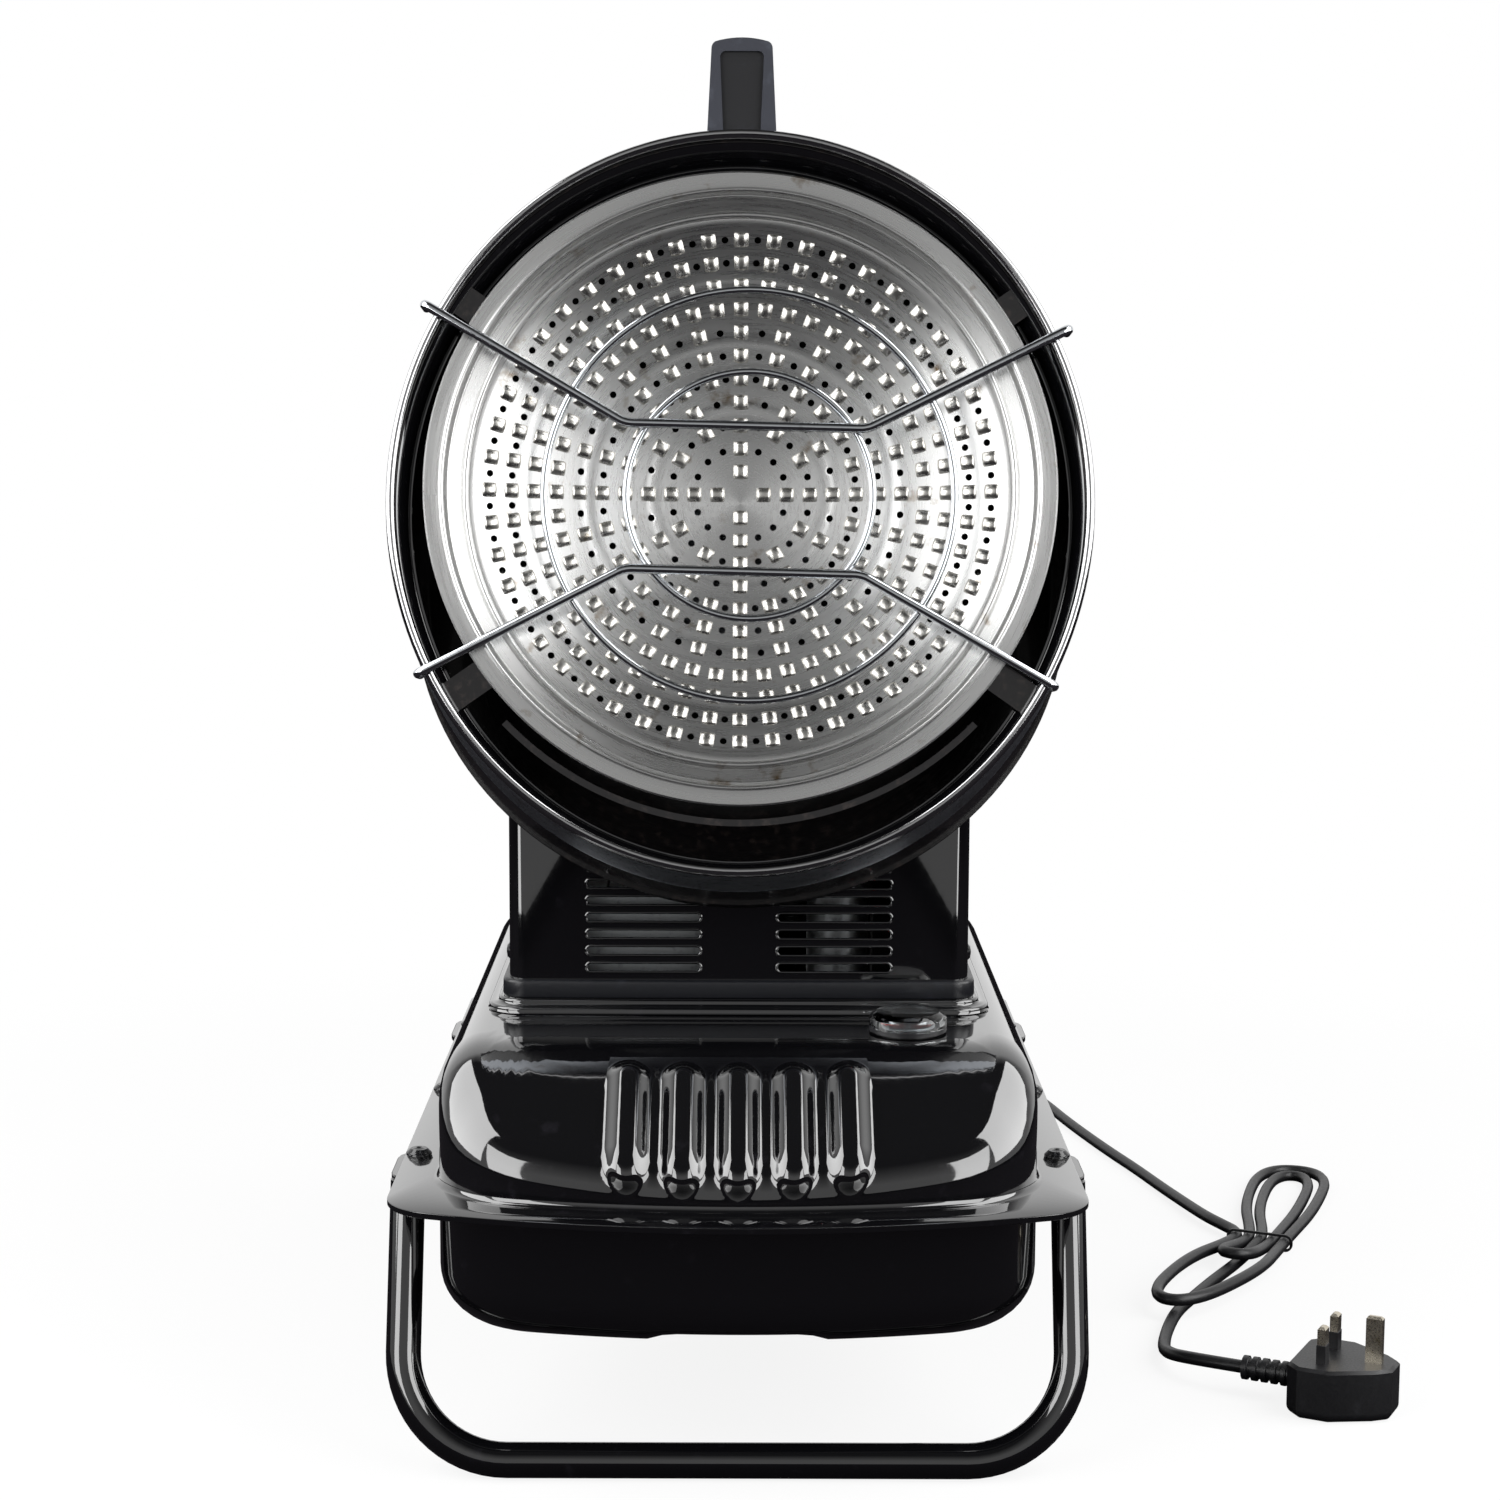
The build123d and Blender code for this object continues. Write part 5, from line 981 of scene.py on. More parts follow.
    def build_pin_sleeves(self) -> bpy.types.Object:
        """Build the black sleeves round the roots of the two flat pins."""
        wide, deep = self.sleeve_half_sizes
        shape = Shape()
        for side in (-1, 1):
            rows = []
            for height, shrink in ((-0.5, 0.0), (self.sleeve_length - 0.4, 0.0), (self.sleeve_length, 0.3)):
                corners = (
                    (-wide + shrink, -deep + shrink),
                    (wide - shrink, -deep + shrink),
                    (wide - shrink, deep - shrink),
                    (-wide + shrink, deep - shrink),
                )
                rows.append(
                    [
                        self.plug_frame()
                        @ millimetres(x, y + side * self.pin_half_spacing, self.plug_height + height)
                        for x, y in corners
                    ]
                )
            shape.loft(rows, caps=True)
        return shape.finish("plug_pin_sleeves")

    def build_gland_relief(self) -> bpy.types.Object:
        """Build the tapered ribbed sleeve that leads the cord out of the gland."""
        x, y, z = self.gland
        axis = Matrix.Translation(millimetres(x, y, z)) @ Matrix.Rotation(math.radians(-90), 4, "X")
        profile = [(0.0, -2.0), (6.4, -2.0)]
        ribs, pitch = 5, 4.4
        for rib in range(ribs):
            low = rib * pitch
            outer = 6.2 - 0.45 * rib
            inner = outer - 1.0
            profile += [(outer, low), (outer, low + 2.2), (inner, low + 2.7), (inner, low + pitch - 0.5)]
        profile += [(4.0, ribs * pitch), (0.0, ribs * pitch)]
        return lofted(turned_rows(profile, axis, 40), "gland_relief")

    def build(self, dresser: Dresser) -> None:
        cord = self.build_cord()
        relief = self.build_plug_relief()
        sleeves = self.build_pin_sleeves()
        gland = self.build_gland_relief()
        for piece in (cord, relief, sleeves, gland):
            dresser.settle(piece, CORD_PVC)
        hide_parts("cord_run", "cord_loops", "cord_tail")
        dresser.dress(CORD_PVC, "plug_body", "cord_tie", "cable_gland")
        dresser.dress(NICKEL_BRASS, "plug_pins")


@dataclass(frozen=True)
class BowedPlan:
    """A plan outline with straight sides, bowed ends and round corners, in millimetres."""

    half_width: float
    half_length: float
    corner: float
    bow: float

    def quarter(self) -> list[tuple[float, float, float, float]]:
        """Return places with their outward directions, from the front's middle to the side's."""
        end_radius = (self.half_width**2 + self.bow**2) / (2 * self.bow)
        end_y = end_radius - self.half_length
        reach = end_radius - self.corner
        lean = math.asin((self.half_width - self.corner) / reach)
        corner_x = self.half_width - self.corner
        corner_y = end_y - reach * math.cos(lean)
        end_steps, corner_steps, side_steps = 14, 12, 12
        places = []
        for i in range(end_steps):
            a = lean * i / end_steps
            x = end_radius * math.sin(a)
            places.append((x, end_y - end_radius * math.cos(a), math.sin(a), -math.cos(a)))
        for i in range(corner_steps):
            a = lean + (math.pi / 2 - lean) * i / corner_steps
            x = corner_x + self.corner * math.sin(a)
            places.append((x, corner_y - self.corner * math.cos(a), math.sin(a), -math.cos(a)))
        for i in range(side_steps + 1):
            places.append((self.half_width, corner_y * (1 - i / side_steps), 1.0, 0.0))
        return places

    def whole(self) -> list[tuple[float, float, float, float]]:
        """Return places with their outward directions all round the outline."""
        quarter = self.quarter()
        back = quarter[::-1]
        right_front = quarter[:-1]
        right_rear = [(x, -y, nx, -ny) for x, y, nx, ny in back[:-1]]
        left_rear = [(-x, -y, -nx, -ny) for x, y, nx, ny in quarter[:-1]]
        left_front = [(-x, y, -nx, ny) for x, y, nx, ny in back[:-1]]
        return right_front + right_rear + left_rear + left_front

    def row(self, inset: float, height: float) -> Row:
        """Return one level row of the outline, moved inwards by an inset."""
        return [millimetres(x - nx * inset, y - ny * inset, height) for x, y, nx, ny in self.whole()]


@dataclass(frozen=True)
class FuelTank:
    """The pressed fuel tank: lower pan, ribbed upper shell and seam screws, in millimetres."""

    wall: float = 1.5
    seam_height: float = 130.0
    pan_bottom: float = 67.0
    pan_edge_radius: float = 25.0
    pan_notch_half_width: float = 37.0
    pan_notch_rise: float = 2.5
    deck_height: float = 192.0
    slope_foot_height: float = 146.0
    slope_run: float = 62.0
    side_shoulder: float = 20.0
    front_shoulder: float = 10.0
    crease: float = 7.0
    crown: float = 4.5
    foot_bend: float = 3.0
    rib_count: int = 5
    rib_pitch: float = 24.6
    rib_half_width: float = 11.2
    rib_core: float = 2.5
    rib_rise: float = 5.4
    rib_foot: float = 1.5
    rib_top_y: float = -170.0
    panel_half_width: float = 66.0
    panel_end_y: float = -162.0
    panel_skin: float = 0.08
    screw_x: float = 149.3
    screw_rows: tuple[float, float, float] = (-134.0, -12.0, 134.0)
    screw_head_radius: float = 6.0
    screw_head_height: float = 3.6
    holes: tuple[tuple[float, float, float], ...] = (
        (-60.0, 189.0, 18.2),
        (78.5, -138.0, 4.2),
        (48.0, -60.0, 5.2),
    )
    drain: tuple[float, float] = (-80.0, 100.0)
    drain_well_radius: float = 13.0
    drain_well: float = 8.0
    drain_well_edge: float = 0.6
    drain_bore_radius: float = 6.2
    plan: BowedPlan = BowedPlan(136.0, 228.0, 50.0, 22.0)
    flange: BowedPlan = BowedPlan(156.0, 250.0, 28.0, 29.0)

    def deck_at(self, x: float, y: float) -> float:
        """Return the deck's height at a place, with its soft crease and the slope's crown."""
        rise = self.deck_height - self.slope_foot_height
        slope = self.slope_foot_height + (y + self.plan.half_length) * rise / self.slope_run
        overlap = max(self.crease - abs(self.deck_height - slope), 0.0) / self.crease
        down = min(max((self.slope_run - self.plan.half_length - y) / self.slope_run, 0.0), 1.0)
        crown = self.crown * (x / self.plan.half_width) ** 2 * down * down * (3 - 2 * down)
        return min(self.deck_height, slope) - overlap * overlap * self.crease / 4 - crown

    def shoulder_row(self, turn: float, skin: float) -> Row:
        """Return the row of the shoulder at one angle of its bend.

        Args:
            turn: the angle, from 0 at the wall to 90 degrees at the deck.
            skin: 0 on the outside, or the wall's thickness on the inside.

        Returns:
            The row's places.
        """
        row = []
        a = math.radians(turn)
        for x, y, nx, ny in self.plan.whole():
            front = min(max((-ny - 0.45) / 0.5, 0.0), 1.0)
            front = front * front * (3 - 2 * front)
            bend = self.side_shoulder + (self.front_shoulder - self.side_shoulder) * front - skin
            inset = skin + bend * (1 - math.cos(a))
            px, py = x - nx * inset, y - ny * inset
            row.append(millimetres(px, py, self.deck_at(px, py) - skin - bend * (1 - math.sin(a))))
        return row

    def deck_rows(self, skin: float) -> list[Row]:
        """Return the deck's rows, from the shoulder to the middle."""
        edge = self.shoulder_row(90, skin)
        rows = []
        steps = 26
        for i in range(1, steps + 1):
            share = 1 - i / steps
            row = []
            for place in edge:
                x, y = place.x * share / MM, place.y * share / MM
                row.append(millimetres(x, y, self.deck_at(x, y) - skin))
            rows.append(row)
        return rows

    def build_upper_shell(self) -> bpy.types.Object:
        """Build the upper shell as one closed skin with its flange."""
        turns = [90 * i / 10 for i in range(11)]
        foot = self.seam_height + self.wall
        rows = list(reversed(self.deck_rows(0.0)))
        rows += [self.shoulder_row(turn, 0.0) for turn in reversed(turns)]
        for turn in (0, 30, 60, 90):
            a = math.radians(turn)
            out = self.foot_bend * (1 - math.cos(a))
            rows.append(self.plan.row(-out, foot + self.foot_bend * (1 - math.sin(a))))
        rows += [
            self.flange.row(0.5, foot),
            self.flange.row(0.0, foot - 0.4),
            self.flange.row(0.0, self.seam_height),
            self.plan.row(self.wall, self.seam_height),
        ]
        rows += [self.shoulder_row(turn, self.wall) for turn in turns]
        rows += self.deck_rows(self.wall)
        shape = Shape()
        shape.loft(rows)
        shell = shape.finish("tank_shell_pressed", 50)
        return cut(shell, self.hole_cutter())

    def hole_cutter(self) -> bpy.types.Object:
        """Build the plugs that open the deck for the filler, the gauge and the pickup."""
        shape = Shape()
        for x, y, radius in self.holes:
            axis = Matrix.Translation(millimetres(x, y, self.deck_height))
            shape.loft(turned_rows([(0, -9), (radius, -9), (radius, 9), (0, 9)], axis, 48))
        return shape.finish("deck_holes")

    def pan_base_at(self, x: float) -> float:
        """Return the height of the pan's bottom at a place along X, with its raised middle."""
        edge = min(max((self.pan_notch_half_width - abs(x)) / 5.0, 0.0), 1.0)
        return self.pan_bottom + self.pan_notch_rise * edge * edge * (3 - 2 * edge)

    def pan_row(self, turn: float, skin: float) -> Row:
        """Return the row of the pan's rolled bottom edge at one angle of its bend."""
        row = []
        a = math.radians(turn)
        bend = self.pan_edge_radius - skin
        for x, y, nx, ny in self.plan.whole():
            inset = skin + bend * (1 - math.cos(a))
            px = x - nx * inset
            base = self.pan_base_at(px) if turn > 45 else self.pan_bottom
            row.append(millimetres(px, y - ny * inset, base + skin + bend * (1 - math.sin(a))))
        return row

    def pan_floor_rows(self, skin: float) -> list[Row]:
        """Return the rows of the pan's flat bottom, from its rolled edge to the middle."""
        edge = self.pan_row(90, skin)
        rows = []
        steps = 12
        for i in range(1, steps + 1):
            share = 1 - i / steps
            row = []
            for place in edge:
                x, y = place.x * share / MM, place.y * share / MM
                row.append(millimetres(x, y, self.pan_base_at(x) + skin))
            rows.append(row)
        return rows

    def build_lower_pan(self) -> bpy.types.Object:
        """Build the lower pan as one closed skin with its flange."""
        turns = [90 * i / 10 for i in range(11)]
        foot = self.seam_height - self.wall
        rows = list(reversed(self.pan_floor_rows(0.0)))
        rows += [self.pan_row(turn, 0.0) for turn in reversed(turns)]
        for turn in (0, 30, 60, 90):
            a = math.radians(turn)
            out = self.foot_bend * (1 - math.cos(a))
            rows.append(self.plan.row(-out, foot - self.foot_bend * (1 - math.sin(a))))
        rows += [
            self.flange.row(0.5, foot),
            self.flange.row(0.0, foot + 0.4),
            self.flange.row(0.0, self.seam_height),
            self.plan.row(self.wall, self.seam_height),
        ]
        rows += [self.pan_row(turn, self.wall) for turn in turns]
        rows += self.pan_floor_rows(self.wall)
        shape = Shape()
        shape.loft(rows)
        pan = shape.finish("tank_pan_pressed", 50)
        hole = Shape()
        axis = Matrix.Translation(millimetres(*self.drain, self.pan_bottom))
        radius = self.drain_well_radius
        hole.loft(turned_rows([(0, -6), (radius, -6), (radius, 6), (0, 6)], axis, 48))
        return cut(pan, hole.finish("drain_hole"))

    def build_drain_well(self) -> bpy.types.Object:
        """Build the pressed well that holds the drain plug."""
        inner, outer = self.drain_well_radius, self.drain_well_radius + self.wall
        high = self.drain_well
        edge, bore = self.drain_well_edge, self.drain_bore_radius
        profile = [(outer, edge), (outer, high + self.wall), (bore, high + self.wall)]
        profile += [(bore, high), (inner, high), (inner, edge)]
        shape = Shape()
        axis = Matrix.Translation(millimetres(*self.drain, self.pan_bottom))
        shape.loft(turned_rows(profile, axis, 48), along=True)
        return shape.finish("drain_well")

    def front_column(self, x: float) -> Row:
        """Return one column of the front panel, from its foot over the shoulder onto the slope."""
        end_radius = (self.plan.half_width**2 + self.plan.bow**2) / (2 * self.plan.bow)
        nx, ny = x / end_radius, -math.sqrt(1 - (x / end_radius) ** 2)
        y = end_radius - self.plan.half_length + end_radius * ny
        bend = self.front_shoulder + self.panel_skin
        column = []
        for i in range(13):
            a = math.radians(90 * i / 12)
            inset = bend * (1 - math.cos(a)) - self.panel_skin
            px, py = x - nx * inset, y - ny * inset
            height = self.deck_at(px, py) + self.panel_skin - bend * (1 - math.sin(a))
            column.append(millimetres(px, py, height))
        run = (self.panel_end_y - column[-1].y / MM) / -ny
        steps = 64
        for i in range(1, steps + 1):
            inset = self.front_shoulder + run * i / steps
            px, py = x - nx * inset, y - ny * inset
            column.append(millimetres(px, py, self.deck_at(px, py) + self.panel_skin))
        return column

    def build_rib_panel(self) -> bpy.types.Object:
        """Build the thin skin on the front of the deck, which knows each place's way along it."""
        steps = 150
        half = self.panel_half_width
        columns = [self.front_column(half * (2 * i / steps - 1)) for i in range(steps + 1)]
        middle = columns[steps // 2]
        ways = [0.0]
        for before, after in zip(middle, middle[1:]):
            ways.append(ways[-1] + (after - before).length)
        places = [tuple(place) for column in columns for place in column]
        count = len(middle)
        faces = []
        for i in range(steps):
            for j in range(count - 1):
                a = i * count + j
                faces.append((a, a + count, a + count + 1, a + 1))
        mesh = bpy.data.meshes.new("deck_ribs")
        mesh.from_pydata(places, [], faces)
        across = mesh.attributes.new("across", "FLOAT", "POINT")
        along = mesh.attributes.new("along", "FLOAT", "POINT")
        for i, place in enumerate(places):
            across.data[i].value = place[0]
            along.data[i].value = ways[i % count]
        mesh.shade_smooth()
        return add_object("deck_ribs", mesh)

    def build_ribs(self, tree: bpy.types.NodeTree) -> bpy.types.Object:
        """Raise the ribs out of the front panel, side by side."""
        panel = self.build_rib_panel()
        slope = math.hypot(self.slope_run, self.deck_height - self.slope_foot_height) / self.slope_run
        arc_run = self.front_shoulder * math.pi / 2
        top = arc_run + (self.rib_top_y + self.plan.half_length - self.front_shoulder) * slope
        maker = panel.modifiers.new("ribs", "NODES")
        maker.node_group = tree
        inputs = {
            "Pitch": self.rib_pitch * MM,
            "Half Count": float(self.rib_count // 2),
            "Half Width": self.rib_half_width * MM,
            "Core": self.rib_core * MM,
            "Rise": self.rib_rise * MM,
            "Foot": self.rib_foot * MM,
            "Top": top * MM,
            "Finish": BLACK_ENAMEL.material(),
        }
        for title, value in inputs.items():
            maker[tree.interface.items_tree[title].identifier] = value
        return apply_modifiers(panel)

    def build_screw_head(self) -> bpy.types.Object:
        """Build one dome head with a shallow round recess."""
        high, wide = self.screw_head_height, self.screw_head_radius
        profile = [(0.0, 0.0), (wide - 0.3, 0.0), (wide, 0.4)]
        for i in range(1, 8):
            a = math.pi / 2 * i / 8
            profile.append((wide * math.cos(a), 0.4 + (high - 0.4) * math.sin(a)))
        profile += [(1.6, high), (1.3, high - 1.4), (0.0, high - 1.6)]
        return lofted(turned_rows(profile, Matrix.Identity(4), 28), "screw_head_unit")

    def build_screw_heads(self, dresser: Dresser) -> bpy.types.Object:
        """Set the dome heads along the flange."""
        top = self.seam_height + self.wall
        places = [millimetres(side * self.screw_x, y, top) for side in (-1, 1) for y in self.screw_rows]
        turns = [Euler((0.0, 0.0, 0.0)) for place in places]
        return dresser.repeat("seam_screw_domes", self.build_screw_head(), places, turns, BLACK_OXIDE)

    def build(self, dresser: Dresser) -> None:
        """Build the tank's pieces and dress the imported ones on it."""
        shell = dresser.settle(self.build_upper_shell(), BLACK_ENAMEL)
        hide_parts("tank_upper_shell")
        pan = dresser.settle(self.build_lower_pan(), BLACK_ENAMEL)
        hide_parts("tank_lower_pan")
        dresser.settle(self.build_drain_well(), BLACK_ENAMEL)
        dresser.settle(self.build_ribs(build_rib_tree()), BLACK_ENAMEL)
        dresser.settle(self.build_screw_heads(dresser), BLACK_OXIDE)
        dresser.dress(BLACK_OXIDE, "seam_screws", "drain_plug")
        dresser.dress(CAST_ZINC, "filler_neck", "fuel_pickup")
        dresser.dress(PALE_FOAM, "filler_strainer", "gauge_float")
        dresser.dress(DARK_ABS, "filler_cap")


@dataclass(frozen=True)
class TubeLegs:
    """The two bent tube legs with their flattened ends under the flange, in millimetres."""

    tube_radius: float = 8.0
    half_width: float = 160.0
    bend_radius: float = 48.0
    lean_degrees: float = 20.0
    bar_y: float = 199.0
    tab_top: float = 128.5
    tab_width: float = 21.0
    tab_thickness: float = 4.0
    tab_length: float = 46.0
    screw_x: float = 149.3
    screw_y: float = 134.0

    def tube(self, end: int) -> Row:
        """Return the middle line of one leg, end being -1 for the front and 1 for the rear."""
        lean = math.radians(self.lean_degrees)
        side_x = self.half_width - self.tube_radius
        rise = (self.tab_top - self.tab_thickness / 2 - self.tube_radius) / math.cos(lean)
        corners = []
        for x, up in ((-side_x, rise), (-side_x, 0.0), (side_x, 0.0), (side_x, rise)):
            y = end * (self.bar_y - up * math.sin(lean))
            corners.append(millimetres(x, y, self.tube_radius + up * math.cos(lean)))
        return rounded_path(corners, [self.bend_radius * MM] * 2, 16)

    def tab(self, side: int, end: int) -> list[Row]:
        """Return the rows of one flattened end, a plate with round ends."""
        top_y = self.bar_y - (self.tab_top - self.tube_radius) * math.tan(math.radians(self.lean_degrees))
        centre_x = side * (self.half_width - self.tab_width / 2)
        centre_y = end * (top_y - self.tab_length / 2 + self.tube_radius)
        half = self.tab_width / 2
        straight = self.tab_length / 2 - half
        rows = []
        base = self.tab_top - self.tab_thickness
        edges = ((1.0, base), (0.0, base + 1.0), (0.0, self.tab_top - 0.4), (0.4, self.tab_top))
        for shrink, height in edges:
            radius = half - shrink
            row = []
            for way in (-1, 1):
                for i in range(9):
                    a = math.pi * i / 8
                    x = centre_x - way * radius * math.cos(a)
                    row.append(millimetres(x, centre_y + way * (straight + radius * math.sin(a)), height))
            rows.append(row)
        return rows

    def screw_room(self, end: int) -> bpy.types.Object:
        """Build the plugs that open the flattened ends for their screws."""
        shape = Shape()
        for side in (-1, 1):
            axis = Matrix.Translation(millimetres(side * self.screw_x, end * self.screw_y, self.tab_top))
            shape.loft(turned_rows([(0, -9), (2.9, -9), (2.9, 9), (0, 9)], axis, 24))
        return shape.finish("tab_holes")

    def build_leg(self, end: int, name: str) -> bpy.types.Object:
        """Build one leg: its tube and its two flattened ends."""
        shape = Shape()
        shape.loft(tube_rows(self.tube(end), self.tube_radius * MM, 32), caps=True)
        leg = shape.finish(name, 50)
        top = Shape()
        far = 2 * self.half_width
        low, high = self.tab_top - self.tab_thickness / 2, self.tab_top + 3 * self.tube_radius
        square = ((-far, -far), (far, -far), (far, far), (-far, far))
        top.loft([[millimetres(x, y, z) for x, y in square] for z in (low, high)], caps=True)
        cut(leg, top.finish("leg_top"))
        tabs = Shape()
        for side in (-1, 1):
            tabs.loft(self.tab(side, end), caps=True)
        plates = cut(tabs.finish("leg_tabs"), self.screw_room(end))
        joined = bmesh.new()
        joined.from_mesh(leg.data)
        joined.from_mesh(plates.data)
        joined.to_mesh(leg.data)
        joined.free()
        bpy.data.objects.remove(plates)
        leg.data.shade_smooth()
        leg.data.set_sharp_from_angle(angle=math.radians(45))
        return leg

    def build(self, dresser: Dresser) -> None:
        """Build both legs."""
        for end, name in ((-1, "front_leg"), (1, "rear_leg")):
            leg = dresser.settle(self.build_leg(end, f"{name}_tube"), BLACK_ENAMEL)
            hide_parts(name)


@dataclass(frozen=True)
class Drum:
    """The tilted drum: casing, ring, liner, emitter plate and wire guard, in millimetres."""

    tilt: float = 26.5
    rear_place: tuple[float, float, float] = (0.0, -60.6, 390.8)
    radius: float = 156.0
    wall: float = 1.2
    liner_radius: float = 151.0
    liner_setback: float = 14.0
    liner_roll: float = 2.6
    liner_bead: float = 0.8
    bead_depth: float = 4.5
    bead_width: float = 4.2
    bead_out: float = 2.9
    band_depth: float = 24.0
    band_thickness: float = 1.5
    sides: int = 160
    emitter_radius: float = 142.7
    emitter_lift: float = 3.4
    emitter_setback: float = 36.2
    emitter_edge_setback: float = 5.0
    emitter_sheet: float = 1.2
    disc_step: float = 2.0
    disc_rows: int = 62
    emitter_dish: float = 21.5
    emitter_dish_radius: float = 115.7
    hole_radius: float = 1.6
    dimple_size: float = 7.2
    dimple_rise: float = 1.3
    row_pitch: float = 10.609
    rows: tuple[tuple[int, int, tuple[float, ...]], ...] = (
        (1, 4, ()),
        (2, 4, (22.5, 45.0, 67.5)),
        (3, 12, (15.0,)),
        (4, 12, (15.0,)),
        (5, 24, (7.5,)),
        (6, 24, (7.5,)),
        (7, 24, (7.5,)),
        (8, 48, ()),
        (9, 48, ()),
        (10, 48, (3.75,)),
        (11, 48, (3.75,)),
    )
    crease_radii: tuple[float, float, float] = (40.0, 69.5, 98.0)
    foot_shares: tuple[float, ...] = (-1.0, -0.84, -0.2, 0.2, 0.84, 1.0)
    foot_heights: tuple[float, ...] = (-0.25, 0.62, 1.0, 1.0, 0.62, -0.25)
    end_shares: tuple[float, ...] = (-1.0, -0.84, -0.55, 0.55, 0.84, 1.0)
    end_heights: tuple[float, ...] = (-0.25, 0.7, 1.0, 1.0, 0.7, -0.25)
    wire_radius: float = 2.2
    ring_wire_radius: float = 1.75
    guard_shift: float = 4.0
    hook_drop: float = 11.0
    hook_bend: float = 3.0
    wire_bend: float = 14.0
    guard_rings: tuple[float, float] = (92.0, 55.3)
    guard_wires: tuple[tuple[tuple[float, float], ...], ...] = (
        ((-141.5, 84.5), (-51.8, 31.9), (56.6, 29.6), (146.5, 74.5)),
        ((-143.8, -80.5), (-51.8, -33.2), (54.4, -35.8), (140.5, -85.2)),
    )

    def axis_frame(self) -> Matrix:
        """Return the frame of the drum's axis at its rear cover, in metres, with Z forwards."""
        return Matrix.Translation(millimetres(*self.rear_place)) @ Matrix.Rotation(
            math.radians(90 - self.tilt), 4, "X"
        )

    def rim_frame(self) -> Matrix:
        """Return the frame of the mouth's plane, in metres, with Z forwards."""
        return Matrix.Translation(millimetres(*RIM_PLACE)) @ Matrix.Rotation(
            math.radians(90 - RIM_TILT), 4, "X"
        )

    def emitter_frame(self) -> Matrix:
        """Return the frame of the emitter plate, which sits a little high in the mouth."""
        return self.rim_frame() @ Matrix.Translation(millimetres(0.0, self.emitter_lift, 0.0))

    def ring_at(self, radius: float, behind: float | None) -> Row:
        """Return a ring on a cylinder round the drum's axis.

        Args:
            radius: the cylinder's radius in millimetres.
            behind: how far the ring lies behind the mouth's plane, or None for the rear cover.

        Returns:
            The ring's places.
        """
        frame = self.axis_frame()
        forward = frame.to_3x3() @ Vector((0, 0, 1))
        rim = self.rim_frame()
        normal = rim.to_3x3() @ Vector((0, 0, 1))
        row = []
        for j in range(self.sides):
            turn = 2 * math.pi * j / self.sides
            place = frame @ millimetres(radius * math.cos(turn), radius * math.sin(turn), 0)
            if behind is not None:
                level = rim.translation - normal * behind * MM
                place += forward * (level - place).dot(normal) / forward.dot(normal)
            row.append(place)
        return row

    def build_casing(self) -> bpy.types.Object:
        """Build the drum's outer cylinder, cut off in front along the mouth's plane."""
        inner = self.radius - self.wall
        rows = [
            self.ring_at(self.radius, None),
            self.ring_at(self.radius, 60.0),
            self.ring_at(self.radius, self.bead_depth),
            self.ring_at(inner, self.bead_depth),
            self.ring_at(inner, 60.0),
            self.ring_at(inner, None),
        ]
        return lofted(rows, "drum_casing_rolled", along=True)

    def build_liner(self) -> bpy.types.Object:
        """Build the glossy liner with its rolled front edge."""
        rows = [
            self.ring_at(self.liner_radius, None),
            self.ring_at(self.liner_radius, self.liner_setback + 2),
        ]
        mouth = self.radius - self.wall - 0.1
        for turn in (0, 30, 60, 90, 120, 150, 180):
            a = math.radians(turn)
            share = (1 - math.cos(a)) / 2
            rows.append(
                self.ring_at(
                    mouth + (self.liner_radius - self.wall - mouth) * share,
                    self.bead_depth + 0.5 + (self.liner_setback - self.bead_depth) * share
                    - self.liner_roll * math.sin(a),
                )
            )
        for turn in (40, 80, 120, 160):
            a = math.radians(turn)
            rows.append(
                self.ring_at(
                    self.liner_radius - self.wall - self.liner_bead + self.liner_bead * math.cos(a),
                    self.liner_setback + 1.4 - self.liner_bead * math.sin(a),
                )
            )
        rows.append(self.ring_at(self.liner_radius - self.wall, self.liner_setback + 5))
        rows.append(self.ring_at(self.liner_radius - self.wall, None))
        return lofted(rows, "drum_liner_rolled", along=True)

    def build_ring_bead(self) -> bpy.types.Object:
        """Build the bright rolled bead round the mouth."""
        middle = self.radius + self.bead_out - self.bead_width / 2
        steps = 14
        rows = []
        for i in range(steps):
            a = 2 * math.pi * i / steps
            out = self.bead_width / 2 * math.cos(a)
            rows.append(self.ring_at(middle + out, self.bead_depth / 2 - self.bead_depth / 2 * math.sin(a)))
        return lofted(rows, "front_ring_bead", along=True)

    def build_ring_band(self) -> bpy.types.Object:
        """Build the satin band behind the bead, with its groove and its rolled rear edge."""
        outer = self.radius + self.band_thickness
        back = self.bead_depth + self.band_depth
        profile = [
            (self.radius + 0.05, self.bead_depth + 0.3),
            (self.radius + 0.5, self.bead_depth + 0.3),
            (self.radius + 0.5, self.bead_depth + 2.2),
            (outer, self.bead_depth + 3.2),
            (outer, back - 1.6),
            (outer + 0.4, back - 1.0),
            (outer + 0.2, back - 0.2),
            (outer - 0.4, back),
            (self.radius + 0.05, back),
        ]
        return lofted(
            [self.ring_at(radius, behind) for radius, behind in profile], "front_ring_band", along=True
        )

    def emitter_height(self, radius: float) -> float:
        """Return the dish's height from the mouth's plane, with its fine creases."""
        height = -self.emitter_setback + self.emitter_dish * (radius / self.emitter_dish_radius) ** 2
        for crease in self.crease_radii:
            height -= 0.35 * math.exp(-(((radius - crease) / 1.2) ** 2))
        return height

